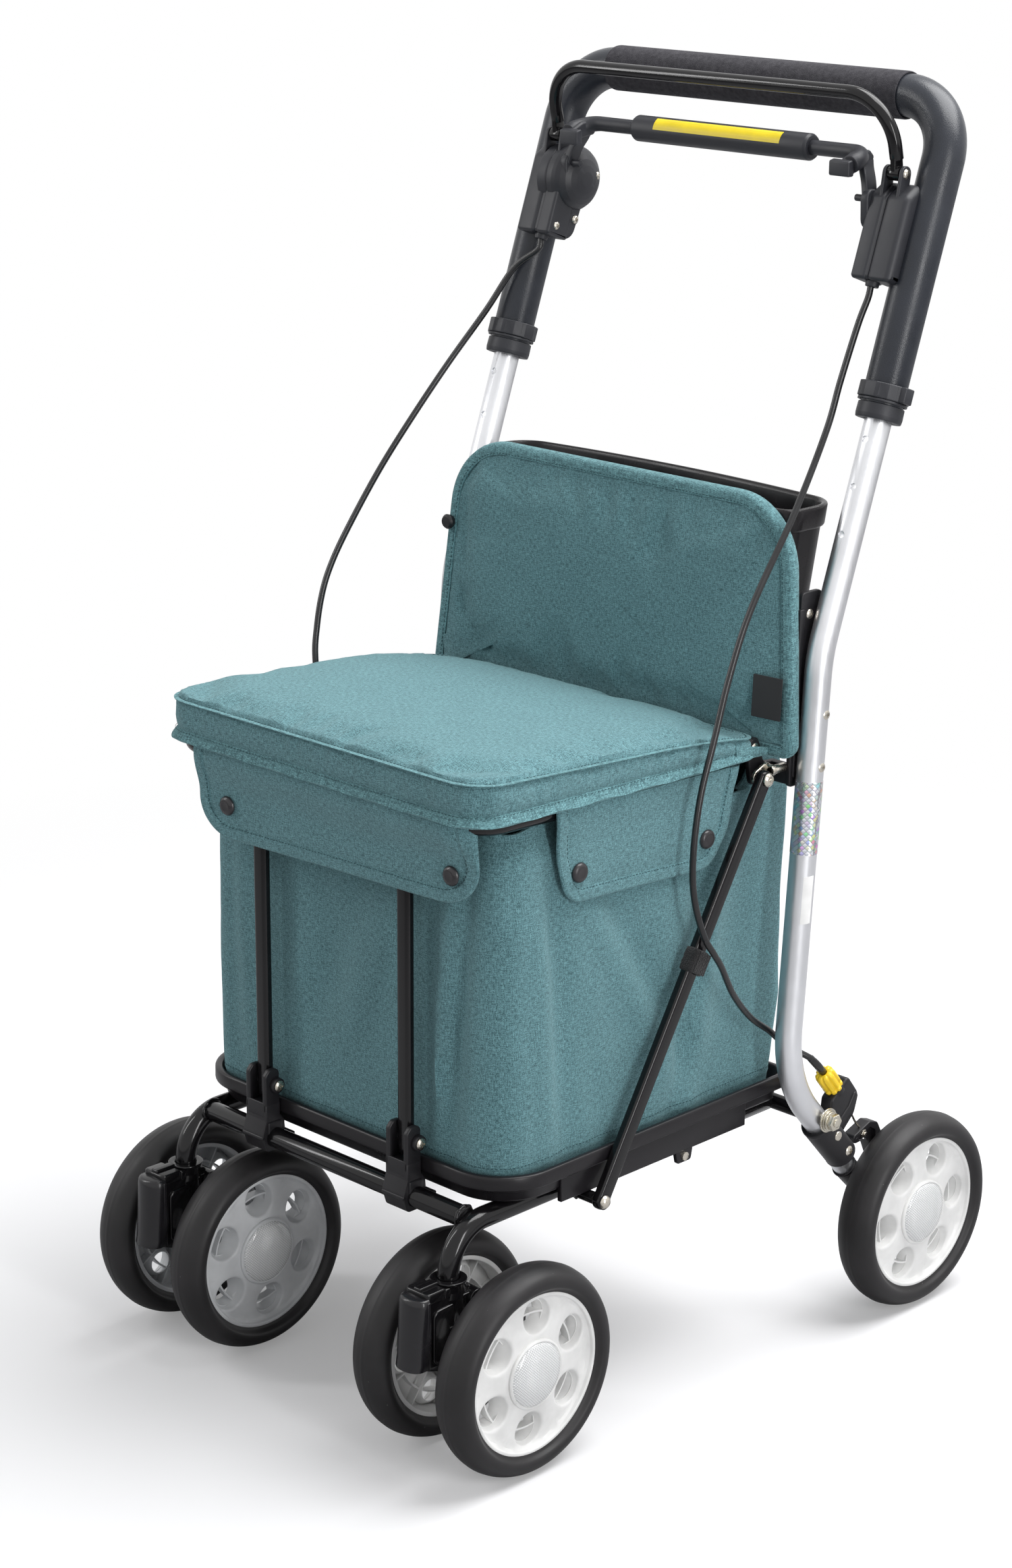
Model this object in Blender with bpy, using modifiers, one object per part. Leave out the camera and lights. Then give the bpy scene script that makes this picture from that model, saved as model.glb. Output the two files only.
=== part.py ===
# Shopping rollator: four front caster wheels, two braked rear wheels, a folding base with a bag on a tray,
# a padded seat lid, a backrest with a bin behind it and a height adjustable push handle with brakes.
# Metres, +Z up, the user walks at +Y and the front points to -Y. The object is drawn with the front axle
# at y = 0, and the root empty moves it so that the origin lies on the floor under its middle.

import math

import bmesh
import bpy
from mathutils import Matrix, Vector

ORIGIN_SHIFT_Y = -0.20925

# Wheels
WHEEL_RADIUS = 0.080
TYRE_HALF_WIDTH = 0.0173
RIM_RADIUS = 0.0618
HUB_FACE = 0.0123
HUB_HOLES = 6
WHEEL_STEPS = 18
TREAD_RADIUS = WHEEL_RADIUS / math.cos(math.pi / WHEEL_STEPS)
HUB_HOLE_CIRCLE = 0.0455
AXLE_RADIUS = 0.0047
FRONT_TRACK = 0.1453
TWIN_OFFSET = 0.0428
REAR_TRACK = 0.2116
REAR_AXLE_Y = 0.4185
STEERING_Y = -0.034

# Rear legs: centre line in the side view, as corners that are rounded
LEG_X = 0.1923
LEG_RADIUS = 0.01025
LEG_TOP_Z = 0.795
LEG_SLOPE = 0.349
LEG_KNEE = (0.3017, 0.5559)
LEG_ANKLE = (0.2777, 0.2247)
LEG_END = (0.3235, 0.1720)
HEIGHT_HOLE = (0.3431, 0.7123)
HEIGHT_PITCH = 0.0359

# Fold linkage: rear hinge of the base, seat hinge, foot and head of the uprights, ends of the struts
BASE_HINGE = (0.3165, 0.1840)
SEAT_HINGE = (0.2650, 0.4860)
UPRIGHT_FOOT = (-0.0105, 0.2290)
UPRIGHT_HEAD = (-0.0120, 0.4780)
UPRIGHT_X = 0.077
STRUT_FOOT = (0.0910, 0.1790)
STRUT_HEAD = (0.2610, 0.4655)
STRUT_X = 0.1762

# Base frame and tray
RAIL_X = 0.145
RAIL_Z = 0.185
RAIL_RADIUS = 0.008
FRONT_BAR = (-0.012, 0.187)
TRAY_HALF_WIDTH = 0.171
TRAY_FRONT = -0.0055
TRAY_REAR = 0.298
TRAY_FLOOR_Z = 0.1935

# Bag
BAG_HALF_WIDTH = 0.158
BAG_FRONT = 0.003
BAG_REAR = 0.287
BAG_WALL = 0.0025

# Seat and backrest
SEAT_HALF_WIDTH = 0.170
SEAT_FRONT = -0.031
SEAT_REAR = 0.268
SEAT_CROWN = 0.019
BACK_TOP = 0.670
BACK_BOTTOM = 0.479
BACK_SLOPE = 0.057
BACK_THICKNESS = 0.009

# Push handle: a point on the axis of its side tubes, the direction of the tubes and the way to the front
HANDLE_X = 0.1921
HANDLE_RADIUS = 0.016
HANDLE_POINT = Vector((0.0, 0.4079, 0.8600))
HANDLE_UP = Vector((0.0, 0.32952, 0.94415))
HANDLE_FORWARD = Vector((0.0, -0.94415, 0.32952))
HANDLE_TOP = (0.439, 0.950)
HANDLE_FOOT = (0.360, 0.7235)

SIDES = (("right", 1), ("left", -1))

# Blender's scene is emptied object by object, so that the file that runs this stays open.
for old in list(bpy.data.objects):
    bpy.data.objects.remove(old, do_unlink=True)

PARTS = bpy.data.collections.new("shopping_rollator")
GUIDES = bpy.data.collections.new("cutters")
bpy.context.scene.collection.children.link(PARTS)
bpy.context.scene.collection.children.link(GUIDES)
GUIDES.hide_render = True


def finish(name, colour, roughness, metallic=0.0):
    material = bpy.data.materials.get(name) or bpy.data.materials.new(name)
    material.use_nodes = True
    shader = material.node_tree.nodes["Principled BSDF"]
    shader.inputs["Base Color"].default_value = (*colour, 1.0)
    shader.inputs["Roughness"].default_value = roughness
    shader.inputs["Metallic"].default_value = metallic
    material.diffuse_color = (*colour, 1.0)
    return material


BLACK_METAL = ("black_enamel", (0.012, 0.012, 0.013), 0.25, 0.2)
BLACK_PLASTIC = ("black_plastic", (0.018, 0.018, 0.019), 0.5)
BLACK_FOAM = ("black_foam", (0.02, 0.02, 0.021), 0.9)
SILVER = ("anodised_aluminium", (0.62, 0.63, 0.64), 0.35, 1.0)
STEEL = ("zinc_steel", (0.55, 0.53, 0.50), 0.3, 1.0)
RUBBER = ("black_rubber", (0.015, 0.015, 0.016), 0.65)
WHITE_PLASTIC = ("white_plastic", (0.78, 0.79, 0.80), 0.4)
GREY_PLASTIC = ("light_grey_plastic", (0.58, 0.60, 0.61), 0.4)
LENS = ("clear_reflector", (0.72, 0.73, 0.72), 0.15)
TEAL = ("teal_fabric", (0.045, 0.16, 0.17), 0.9)
TEAL_SEAT = ("teal_seat_fabric", (0.06, 0.22, 0.22), 0.9)
YELLOW = ("yellow_plastic", (0.85, 0.62, 0.02), 0.45)
CABLE = ("black_cable", (0.02, 0.02, 0.02), 0.5)


def link(name, data, collection=None):
    thing = bpy.data.objects.new(name, data)
    (collection or PARTS).objects.link(thing)
    return thing


def settled(thing):
    # The piece as its modifiers leave it, as a plain mesh with faces that point out.
    bpy.context.view_layer.update()
    graph = bpy.context.evaluated_depsgraph_get()
    mesh = bpy.data.meshes.new_from_object(thing.evaluated_get(graph))
    mesh_edit = bmesh.new()
    mesh_edit.from_mesh(mesh)
    bmesh.ops.remove_doubles(mesh_edit, verts=mesh_edit.verts, dist=1e-6)
    bmesh.ops.recalc_face_normals(mesh_edit, faces=mesh_edit.faces)
    mesh_edit.to_mesh(mesh)
    mesh_edit.free()
    name = thing.name
    matrix = thing.matrix_world.copy()
    bpy.data.objects.remove(thing, do_unlink=True)
    mesh.name = name
    plain = link(name, mesh)
    plain.matrix_world = matrix
    return plain


def bevelled(thing, width, segments=2, angle=35):
    bevel = thing.modifiers.new("rounded_edges", "BEVEL")
    bevel.width = width
    bevel.segments = segments
    bevel.limit_method = "ANGLE"
    bevel.angle_limit = math.radians(angle)
    return settled(thing)


def boolean(piece, other, operation):
    GUIDES.objects.link(other)
    PARTS.objects.unlink(other)
    other.display_type = "WIRE"
    other.hide_render = True
    step = piece.modifiers.new(operation.lower(), "BOOLEAN")
    step.operation = operation
    step.object = other
    result = settled(piece)
    bpy.data.objects.remove(other, do_unlink=True)
    return result


def cut(piece, *cutters):
    for cutter in cutters:
        piece = boolean(piece, cutter, "DIFFERENCE")
    return piece


def fuse(piece, *others):
    for other in others:
        piece = boolean(piece, other, "UNION")
    return piece


def box(name, low, high, bevel=0.0, turn=None, segments=2):
    low = Vector(low)
    high = Vector(high)
    cube = bmesh.new()
    bmesh.ops.create_cube(cube, size=1.0)
    bmesh.ops.scale(cube, vec=high - low, verts=cube.verts)
    bmesh.ops.translate(cube, vec=(low + high) / 2, verts=cube.verts)
    if turn is not None:
        bmesh.ops.transform(cube, matrix=turn, verts=cube.verts)
    mesh = bpy.data.meshes.new(name)
    cube.to_mesh(mesh)
    cube.free()
    thing = link(name, mesh)
    if bevel:
        return bevelled(thing, bevel, segments)
    return settled(thing)


def rod(name, start, end, radius, end_radius=None, sides=16):
    start = Vector(start)
    end = Vector(end)
    along = end - start
    cone = bmesh.new()
    bmesh.ops.create_cone(
        cone,
        cap_ends=True,
        segments=sides,
        radius1=radius,
        radius2=radius if end_radius is None else end_radius,
        depth=along.length,
    )
    place = Matrix.Translation((start + end) / 2) @ along.to_track_quat("Z", "Y").to_matrix().to_4x4()
    bmesh.ops.transform(cone, matrix=place, verts=cone.verts)
    mesh = bpy.data.meshes.new(name)
    cone.to_mesh(mesh)
    cone.free()
    return settled(link(name, mesh))


def side_rod(name, x0, x1, centre, radius, sides=12):
    return rod(name, (x0, *centre), (x1, *centre), radius, sides=sides)


def bent(corners, radius, steps=5, closed=False):
    # Straight runs through the corners, with each corner rounded by an arc.
    corners = [Vector(corner) for corner in corners]
    points = []
    count = len(corners)
    for index, corner in enumerate(corners):
        if not closed and index in (0, count - 1):
            points.append(corner)
            continue
        before = (corners[index - 1] - corner).normalized()
        after = (corners[(index + 1) % count] - corner).normalized()
        half = before.angle(after) / 2
        reach = radius / math.tan(half)
        centre = corner + (before + after).normalized() * (radius / math.sin(half))
        first = corner + before * reach - centre
        last = corner + after * reach - centre
        turn = first.angle(last)
        for step in range(steps + 1):
            share = step / steps
            weight_a = math.sin((1 - share) * turn) / math.sin(turn)
            weight_b = math.sin(share * turn) / math.sin(turn)
            points.append(centre + first * weight_a + last * weight_b)
    return points


def tube(name, points, radius, resolution=3, closed=False, radii=None):
    curve = bpy.data.curves.new(name, "CURVE")
    curve.dimensions = "3D"
    curve.bevel_depth = radius
    curve.bevel_resolution = resolution
    curve.use_fill_caps = not closed
    spline = curve.splines.new("POLY")
    spline.points.add(len(points) - 1)
    for index, point in enumerate(points):
        spline.points[index].co = (*point, 1.0)
        if radii:
            spline.points[index].radius = radii[index]
    spline.use_cyclic_u = closed
    return settled(link(name, curve))


def plate(name, outline, thickness, place, holes=()):
    # A flat outline with its holes, half the thickness to each side of the plane given by place.
    curve = bpy.data.curves.new(name, "CURVE")
    curve.dimensions = "2D"
    curve.fill_mode = "BOTH"
    curve.extrude = thickness / 2
    for loop in (outline, *holes):
        spline = curve.splines.new("POLY")
        spline.points.add(len(loop) - 1)
        for point, (u, v) in zip(spline.points, loop):
            point.co = (u, v, 0.0, 1.0)
        spline.use_cyclic_u = True
    thing = link(name, curve)
    thing.matrix_world = place
    return settled(thing)


def side_plane(x):
    # Outline axes are world Y and Z, and the thickness is along X.
    return Matrix(((0, 0, 1, x), (1, 0, 0, 0), (0, 1, 0, 0), (0, 0, 0, 1)))


def circle(centre, radius, steps=12):
    return [
        (centre[0] + radius * math.cos(2 * math.pi * i / steps), centre[1] + radius * math.sin(2 * math.pi * i / steps))
        for i in range(steps)
    ]


def rounded(corners, radius, steps=2):
    # A closed flat outline with each corner rounded, as far as its edges allow.
    corners = [Vector((*corner, 0.0)) for corner in corners]
    points = []
    for index, corner in enumerate(corners):
        before = corners[index - 1] - corner
        after = corners[(index + 1) % len(corners)] - corner
        half = before.angle(after) / 2
        reach = min(radius / math.tan(half), before.length * 0.45, after.length * 0.45)
        size = reach * math.tan(half)
        middle = (before.normalized() + after.normalized()).normalized()
        centre = corner + middle * (size / math.sin(half))
        first = corner + before.normalized() * reach - centre
        last = corner + after.normalized() * reach - centre
        turn = first.angle(last)
        for step in range(steps + 1):
            share = step / steps
            weight_a = math.sin((1 - share) * turn) / math.sin(turn)
            weight_b = math.sin(share * turn) / math.sin(turn)
            point = centre + first * weight_a + last * weight_b
            points.append((point.x, point.y))
    return points


def capsule(start, end, radius, steps=4):
    # The outline of a bar with round ends.
    start = Vector(start)
    end = Vector(end)
    heading = math.atan2(end.y - start.y, end.x - start.x)
    points = []
    for centre, turn in ((end, heading - math.pi / 2), (start, heading + math.pi / 2)):
        for step in range(steps + 1):
            angle = turn + math.pi * step / steps
            points.append((centre.x + radius * math.cos(angle), centre.y + radius * math.sin(angle)))
    return points


def turned(name, profile, steps, place, closed=False):
    # A profile of (radius, height) points, turned about local Z, its outer side running top to bottom.
    mesh = bpy.data.meshes.new(name)
    edges = [(i, i + 1) for i in range(len(profile) - 1)]
    if closed:
        edges.append((len(profile) - 1, 0))
    mesh.from_pydata([(radius, 0.0, height) for radius, height in profile], edges, [])
    thing = link(name, mesh)
    screw = thing.modifiers.new("turned", "SCREW")
    screw.axis = "Z"
    screw.steps = steps
    screw.render_steps = steps
    screw.use_merge_vertices = True
    screw.merge_threshold = 0.00001
    thing.matrix_world = place
    return settled(thing)


def facing(x, centre, side=1):
    # Local Z points out to the given side along X.
    return Matrix(((0, 0, side, x), (side, 0, 0, centre[0]), (0, 1, 0, centre[1]), (0, 0, 0, 1)))


def loft(name, rings):
    # Closed skin over rings of equal point counts, with a flat cap at each end.
    skin = bmesh.new()
    loops = [[skin.verts.new(point) for point in ring] for ring in rings]
    for lower, upper in zip(loops, loops[1:]):
        for index in range(len(lower)):
            following = (index + 1) % len(lower)
            skin.faces.new((lower[index], lower[following], upper[following], upper[index]))
    skin.faces.new(loops[0])
    skin.faces.new(loops[-1])
    mesh = bpy.data.meshes.new(name)
    skin.to_mesh(mesh)
    skin.free()
    return settled(link(name, mesh))


def pan_outline(half_width, front, rear, front_radius, rear_radius, steps=4):
    # Points round a flat pan with straight sides, from the rear right corner round to the rear left.
    points = []
    for cx, cy, radius, start in (
        (half_width - rear_radius, rear - rear_radius, rear_radius, 0),
        (rear_radius - half_width, rear - rear_radius, rear_radius, 90),
        (front_radius - half_width, front + front_radius, front_radius, 180),
        (half_width - front_radius, front + front_radius, front_radius, 270),
    ):
        for step in range(steps + 1):
            angle = math.radians(start + 90 * step / steps)
            points.append((cx + radius * math.cos(angle), cy + radius * math.sin(angle)))
    return points


def empty(name, location, parent=None):
    guide = bpy.data.objects.new(name, None)
    PARTS.objects.link(guide)
    guide.empty_display_size = 0.02
    guide.parent = parent
    if parent is not None:
        guide.matrix_parent_inverse = Matrix.Translation(-Vector(parent["place"]))
    guide.location = location
    guide["place"] = tuple(location)
    return guide


def hang(piece, joint, look, smooth=True):
    # The piece keeps its place in the drawing and turns or slides with its joint's empty.
    piece.parent = joint
    piece.matrix_parent_inverse = Matrix.Translation(-Vector(joint["place"]))
    piece.data.materials.clear()
    piece.data.materials.append(finish(*look))
    if smooth:
        piece.data.shade_smooth()
        piece.data.set_sharp_from_angle(angle=math.radians(38))
    return piece


def on_handle(x, forward, up):
    return HANDLE_POINT + Vector((x, 0, 0)) + HANDLE_FORWARD * forward + HANDLE_UP * up


def leg_axis_y(z):
    return 0.3549 + LEG_SLOPE * (z - 0.7082)


def leg_tube(side, sign):
    x = sign * LEG_X
    corners = ((x, leg_axis_y(LEG_TOP_Z), LEG_TOP_Z), (x, *LEG_KNEE), (x, *LEG_ANKLE), (x, *LEG_END))
    path = bent(corners[:3], 0.12, 3)[:-1] + bent(corners[1:], 0.10, 6)[1:]
    leg = tube("rear_tube_" + side, path, LEG_RADIUS, 4)
    inward = Vector((0, HANDLE_FORWARD.y, HANDLE_FORWARD.z))
    for step in range(-1, 3):
        mouth = Vector((x, *HEIGHT_HOLE)) - HANDLE_UP * HEIGHT_PITCH * step
        leg = cut(leg, rod("height_hole", mouth + inward * 0.003, mouth - inward * 0.0028, 0.0027, sides=8))
    return cut(leg, side_rod("hinge_bore", x - 0.02, x + 0.02, BASE_HINGE, 0.0044))


def sleeve(side, sign):
    # Black socket on the end of the leg, with the stop arm that the brake cable ends on.
    x = sign * LEG_X
    start = Vector((x, 0.3182, 0.1781))
    end = Vector((x, 0.3490, 0.1427))
    heading = (end - start).normalized()
    body = rod("axle_carrier_" + side, start, end, 0.0135, 0.0128, sides=18)
    arm = rounded(
        ((0.3260, 0.1660), (0.3400, 0.1600), (0.3575, 0.1760), (0.3624, 0.1915), (0.3482, 0.2098), (0.3296, 0.1947)), 0.004
    )
    body = fuse(body, plate("stop_arm", arm, 0.0125, side_plane(x)))
    body = cut(body, rod("leg_bore", start - heading * 0.03, Vector((x, *LEG_END)) + heading * 0.0006, 0.01075, sides=18))
    body = cut(body, tube("axle_bore", axle_path(sign, 0.0), 0.0089))
    stop = Vector((0, 0.776, 0.631)).cross(Vector((1, 0, 0))).normalized()
    hole = Vector((x, 0.338, 0.201))
    return cut(body, rod("wire_hole", hole - stop * 0.03, hole + stop * 0.04, 0.0017, sides=8))


def axle_path(sign, margin):
    points = (
        (0.1890, 0.3405 + margin, 0.1525 - margin),
        (0.1870, 0.3500, 0.1415),
        (0.1825, 0.3620, 0.1285),
        (0.1815, 0.3850, 0.1060),
        (0.1815, 0.4050, 0.0880),
    )
    return [(sign * x, y, z) for x, y, z in points]


def axle_tube(side, sign):
    # Silver tube from the sleeve down to the brake plate, with the axle that carries the rear wheel.
    wheel = (REAR_AXLE_Y, 0.080)
    body = tube("axle_tube_" + side, axle_path(sign, 0.0005), 0.0085)
    body = fuse(body, turned(
        "brake_plate",
        ((0, 0.0060), (0.0210, 0.0060), (0.0265, 0.0040), (0.0265, -0.0060), (0, -0.0060)),
        20,
        facing(sign * 0.1860, wheel, sign),
    ))
    lug = capsule((0.408, 0.118), (0.4120, 0.098), 0.0075)
    body = fuse(body, plate("arm_lug", lug, 0.0030, side_plane(sign * 0.1925)))
    body = fuse(body, side_rod("arm_pin", sign * 0.1930, sign * 0.1765, (0.408, 0.118), 0.0024, sides=10))
    return fuse(body, side_rod("axle", sign * 0.1765, sign * (REAR_TRACK + 0.0095), wheel, AXLE_RADIUS, sides=12))


def brake_arm(side, sign):
    outline = rounded(
        ((0.4150, 0.1130), (0.4010, 0.1110), (0.3860, 0.1440), (0.3685, 0.1435), (0.3672, 0.1500),
         (0.3880, 0.1575), (0.3975, 0.1545), (0.4155, 0.1210)), 0.003
    )
    arm = plate("brake_arm_" + side, outline, 0.0110, side_plane(sign * 0.1850), [circle((0.408, 0.118), 0.0029, 10)])
    channel = rounded(((0.3980, 0.1190), (0.3885, 0.1405), (0.3715, 0.1455), (0.3875, 0.1530), (0.3945, 0.1490)), 0.002, 1)
    return cut(arm, plate("channel", channel, 0.0080, side_plane(sign * 0.1790)))


def cable_adjuster(side, sign):
    outline = []
    ribs = 8
    for index in range(ribs * 2):
        radius = 0.0080 if index % 2 else 0.0070
        angle = 2 * math.pi * index / (ribs * 2)
        outline.append((radius * math.cos(angle), radius * math.sin(angle)))
    axis = Vector((0, -0.631, 0.776))
    centre = Vector((sign * LEG_X, 0.3380, 0.2010)) + axis * 0.0114
    place = Matrix.Translation(centre) @ axis.to_track_quat("Z", "Y").to_matrix().to_4x4()
    knob = plate("cable_adjuster_" + side, outline, 0.0210, place, [circle((0, 0), 0.0030, 8)])
    return knob


def backrest_front(z):
    return 0.2825 + BACK_SLOPE * (z - 0.6)


def back_outline(inset, depth):
    # The panel's outline, wider at the seat than at the top; depth is behind its front plane.
    points = []
    bottom = BACK_BOTTOM + inset
    top = BACK_TOP - inset
    low_width = 0.190 - inset
    high_width = 0.173 - inset
    radius = 0.058 - inset * 0.8
    foot = 0.008
    corners = (
        (high_width - radius, top - radius, radius, 0, 6),
        (radius - high_width, top - radius, radius, 90, 6),
        (foot - low_width, bottom + foot, foot, 180, 2),
        (low_width - foot, bottom + foot, foot, 270, 2),
    )
    for cx, cz, size, start, steps in corners:
        for step in range(steps + 1):
            angle = math.radians(start + 90 * step / steps)
            x = cx + size * math.cos(angle)
            z = cz + size * math.sin(angle)
            points.append((x, backrest_front(z) + depth, z))
    return points


def backrest():
    # Padded panel: flat back, soft edge, stitched hem and a slightly full middle.
    levels = (
        (0.0040, BACK_THICKNESS),
        (0.0008, BACK_THICKNESS - 0.0012),
        (0.0, 0.0050),
        (0.0006, 0.0030),
        (0.0030, 0.0020),
        (0.0085, 0.0022),
        (0.0110, 0.0010),
        (0.0200, -0.0002),
        (0.0400, -0.0012),
        (0.0700, -0.0016),
    )
    return loft("backrest", [back_outline(inset, depth) for inset, depth in levels])


def backrest_plate(side, sign):
    # Black side plate on the leg, with the inner arm and the pin that the seat turns on.
    x = sign * 0.1795
    outline = rounded(
        ((0.2930, 0.602), (0.3190, 0.602), (0.3055, 0.556), (0.3010, 0.490), (0.2975, 0.4545),
         (0.2846, 0.4545), (0.2846, 0.4770), (0.2864, 0.490)), 0.004
    )
    body = plate("backrest_plate_" + side, outline, 0.0040, side_plane(x))
    bridge = box("bridge", (min(sign * 0.1580, x), 0.2850, 0.4560), (max(sign * 0.1580, x), 0.2930, 0.4710))
    arm_outline = rounded(
        ((0.2580, 0.4900), (0.2620, 0.4930), (0.2690, 0.4930), (0.2720, 0.4880), (0.2770, 0.4720), (0.2930, 0.4710),
         (0.2930, 0.4560), (0.2640, 0.4560), (0.2585, 0.4830)), 0.003
    )
    arm = plate("hinge_arm", arm_outline, 0.0050, side_plane(sign * 0.1600))
    pin = side_rod("hinge_pin", sign * 0.1590, sign * 0.1430, SEAT_HINGE, 0.0025, sides=10)
    return fuse(body, bridge, arm, pin)


def strut_hanger(side, sign):
    # Silver rod from the side plate with a tongue beside the strut's head and the bolt through it.
    x = sign * STRUT_X
    body = rod("strut_hanger_" + side, (x, 0.2842, 0.4700), (x, 0.2684, 0.4700), 0.0040, sides=10)
    inner = sign * 0.1700
    outer = sign * 0.1785
    block = box("block", (min(inner, outer), 0.2684, 0.4662), (max(inner, outer), 0.2735, 0.4738))
    tongue = plate("tongue", capsule(STRUT_HEAD, (0.2700, 0.4695), 0.0055), 0.0030, side_plane(sign * 0.1700))
    shank = side_rod("shank", sign * 0.1700, sign * 0.1812, STRUT_HEAD, 0.0024, sides=10)
    head = rod("head", (sign * 0.1806, *STRUT_HEAD), (sign * 0.1836, *STRUT_HEAD), 0.0056, 0.0040, sides=12)
    return fuse(body, block, tongue, shank, head)


def strut(side, sign):
    body = plate(
        "strut_" + side, capsule(STRUT_FOOT, STRUT_HEAD, 0.0065), 0.0080, side_plane(sign * STRUT_X)
    )
    body = cut(body, side_rod("head_bore", sign * 0.165, sign * 0.190, STRUT_HEAD, 0.0029, sides=10))
    head = rod("head", (sign * 0.1795, *STRUT_FOOT), (sign * 0.1834, *STRUT_FOOT), 0.0056, 0.0040, sides=12)
    return fuse(body, head)


def cable_strap():
    # Band round the right strut, where the brake cable lies against it.
    foot = Vector((0, *STRUT_FOOT))
    along = (Vector((0, *STRUT_HEAD)) - foot).normalized()
    across = Vector((0, along.z, -along.y))
    share = (0.3409 - STRUT_FOOT[1]) / (STRUT_HEAD[1] - STRUT_FOOT[1])
    centre = foot.lerp(Vector((0, *STRUT_HEAD)), share)
    place = Matrix((
        (1, 0, 0, 0.1762),
        (0, across.y, along.y, centre.y),
        (0, across.z, along.z, centre.z),
        (0, 0, 0, 1),
    ))
    outer = ((-0.0048, -0.0082), (0.0062, -0.0082), (0.0070, -0.0070), (0.0070, 0.0070), (0.0062, 0.0082), (-0.0048, 0.0082))
    inner = ((-0.0043, -0.0069), (0.0044, -0.0069), (0.0044, 0.0069), (-0.0043, 0.0069))
    return plate("cable_strap", outer, 0.0180, place, [inner])


def base_frame():
    # Two rails that drop to the caster stems, a front cross bar and the rear cross tube on the hinge bolts.
    frame = rod("base_frame", (-0.141, *FRONT_BAR), (0.141, *FRONT_BAR), RAIL_RADIUS, sides=12)
    rear = rod("rear_tube", (-0.1762, *BASE_HINGE), (0.1762, *BASE_HINGE), 0.0062, sides=12)
    pieces = [rear]
    for side, sign in SIDES:
        x = sign * RAIL_X
        corners = (
            (x, BASE_HINGE[0] - 0.003, RAIL_Z),
            (x, STEERING_Y, RAIL_Z),
            (x, STEERING_Y, 0.124),
        )
        pieces.append(tube("rail", bent(corners, 0.035, 5), RAIL_RADIUS))
        pieces.append(side_rod("spacer", sign * 0.150, sign * 0.1717, STRUT_FOOT, 0.0046, sides=10))
        pieces.append(side_rod("shank", sign * 0.174, sign * 0.212, BASE_HINGE, 0.0040, sides=10))
        pieces.append(side_rod("washer", sign * 0.2062, sign * 0.2092, BASE_HINGE, 0.0088, sides=14))
        pieces.append(side_rod("bolt_head", sign * 0.2090, sign * 0.2142, BASE_HINGE, 0.0068, sides=6))
    return fuse(frame, *pieces)


def tray():
    # Moulded tray under the bag: floor, wall, outward lip, side skirts and a fixing tab on each side.
    def ring(inset, z):
        outline = pan_outline(
            TRAY_HALF_WIDTH - inset, TRAY_FRONT + inset, TRAY_REAR - inset, 0.046 - inset * 0.6, 0.030 - inset * 0.6
        )
        return [(x, y, z) for x, y in outline]

    levels = (
        (0.0085, TRAY_FLOOR_Z),
        (0.0062, TRAY_FLOOR_Z + 0.0020),
        (0.0056, 0.2045),
        (0.0, 0.2050),
        (0.0002, 0.2150),
        (0.0012, 0.2165),
        (0.0040, 0.2165),
        (0.0085, TRAY_FLOOR_Z + 0.0045),
        (0.0105, TRAY_FLOOR_Z + 0.0025),
    )
    body = loft("tray", [ring(*level) for level in levels])
    for side, sign in SIDES:
        skirt = box("skirt", (min(sign * 0.1615, sign * 0.1655), 0.062, 0.1840),
                    (max(sign * 0.1615, sign * 0.1655), 0.262, 0.1960))
        tab = rounded(((0.1850, 0.1845), (0.2040, 0.1845), (0.2010, 0.1760), (0.1880, 0.1760)), 0.003)
        body = fuse(body, skirt, plate("tab", tab, 0.0034, side_plane(sign * 0.1636)))
    return body


def upright_bracket(side, sign):
    # Plastic clamp on the front bar, with a slot and a pin for the upright.
    x = sign * UPRIGHT_X
    tower = rounded(
        ((-0.0205, 0.2020), (-0.0245, 0.1900), (-0.0200, 0.1760), (-0.0050, 0.1760), (-0.0008, 0.1850),
         (-0.0020, 0.1990), (-0.0064, 0.2040), (-0.0064, 0.2390), (-0.0100, 0.2420), (-0.0165, 0.2420),
         (-0.0205, 0.2370)), 0.003
    )
    body = plate("upright_bracket_" + side, tower, 0.0230, side_plane(x))
    boss = side_rod("boss", x + 0.0110, x + 0.0152, UPRIGHT_FOOT, 0.0042)
    body = fuse(body, boss)
    body = cut(body, side_rod("bar_bore", x - 0.02, x + 0.02, FRONT_BAR, 0.0084, sides=16))
    body = cut(body, box("slot", (x - 0.0069, -0.040, 0.2130), (x + 0.0069, 0.020, 0.260)))
    pin = side_rod("pin", x - 0.0105, x + 0.0112, UPRIGHT_FOOT, 0.0024, sides=10)
    return fuse(body, pin)


def upright(side, sign):
    # Flat oval tube that holds up the front of the seat frame.
    x = sign * UPRIGHT_X
    y = UPRIGHT_FOOT[0]
    outline = rounded(((-0.0065, -0.0040), (0.0065, -0.0040), (0.0065, 0.0040), (-0.0065, 0.0040)), 0.0039)
    top = 0.4720
    bottom = 0.2172
    place = Matrix.Translation((x, y, (top + bottom) / 2))
    body = plate("upright_" + side, outline, top - bottom, place)
    return cut(body, side_rod("foot_bore", x - 0.02, x + 0.02, UPRIGHT_FOOT, 0.0028, sides=10))


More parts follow.
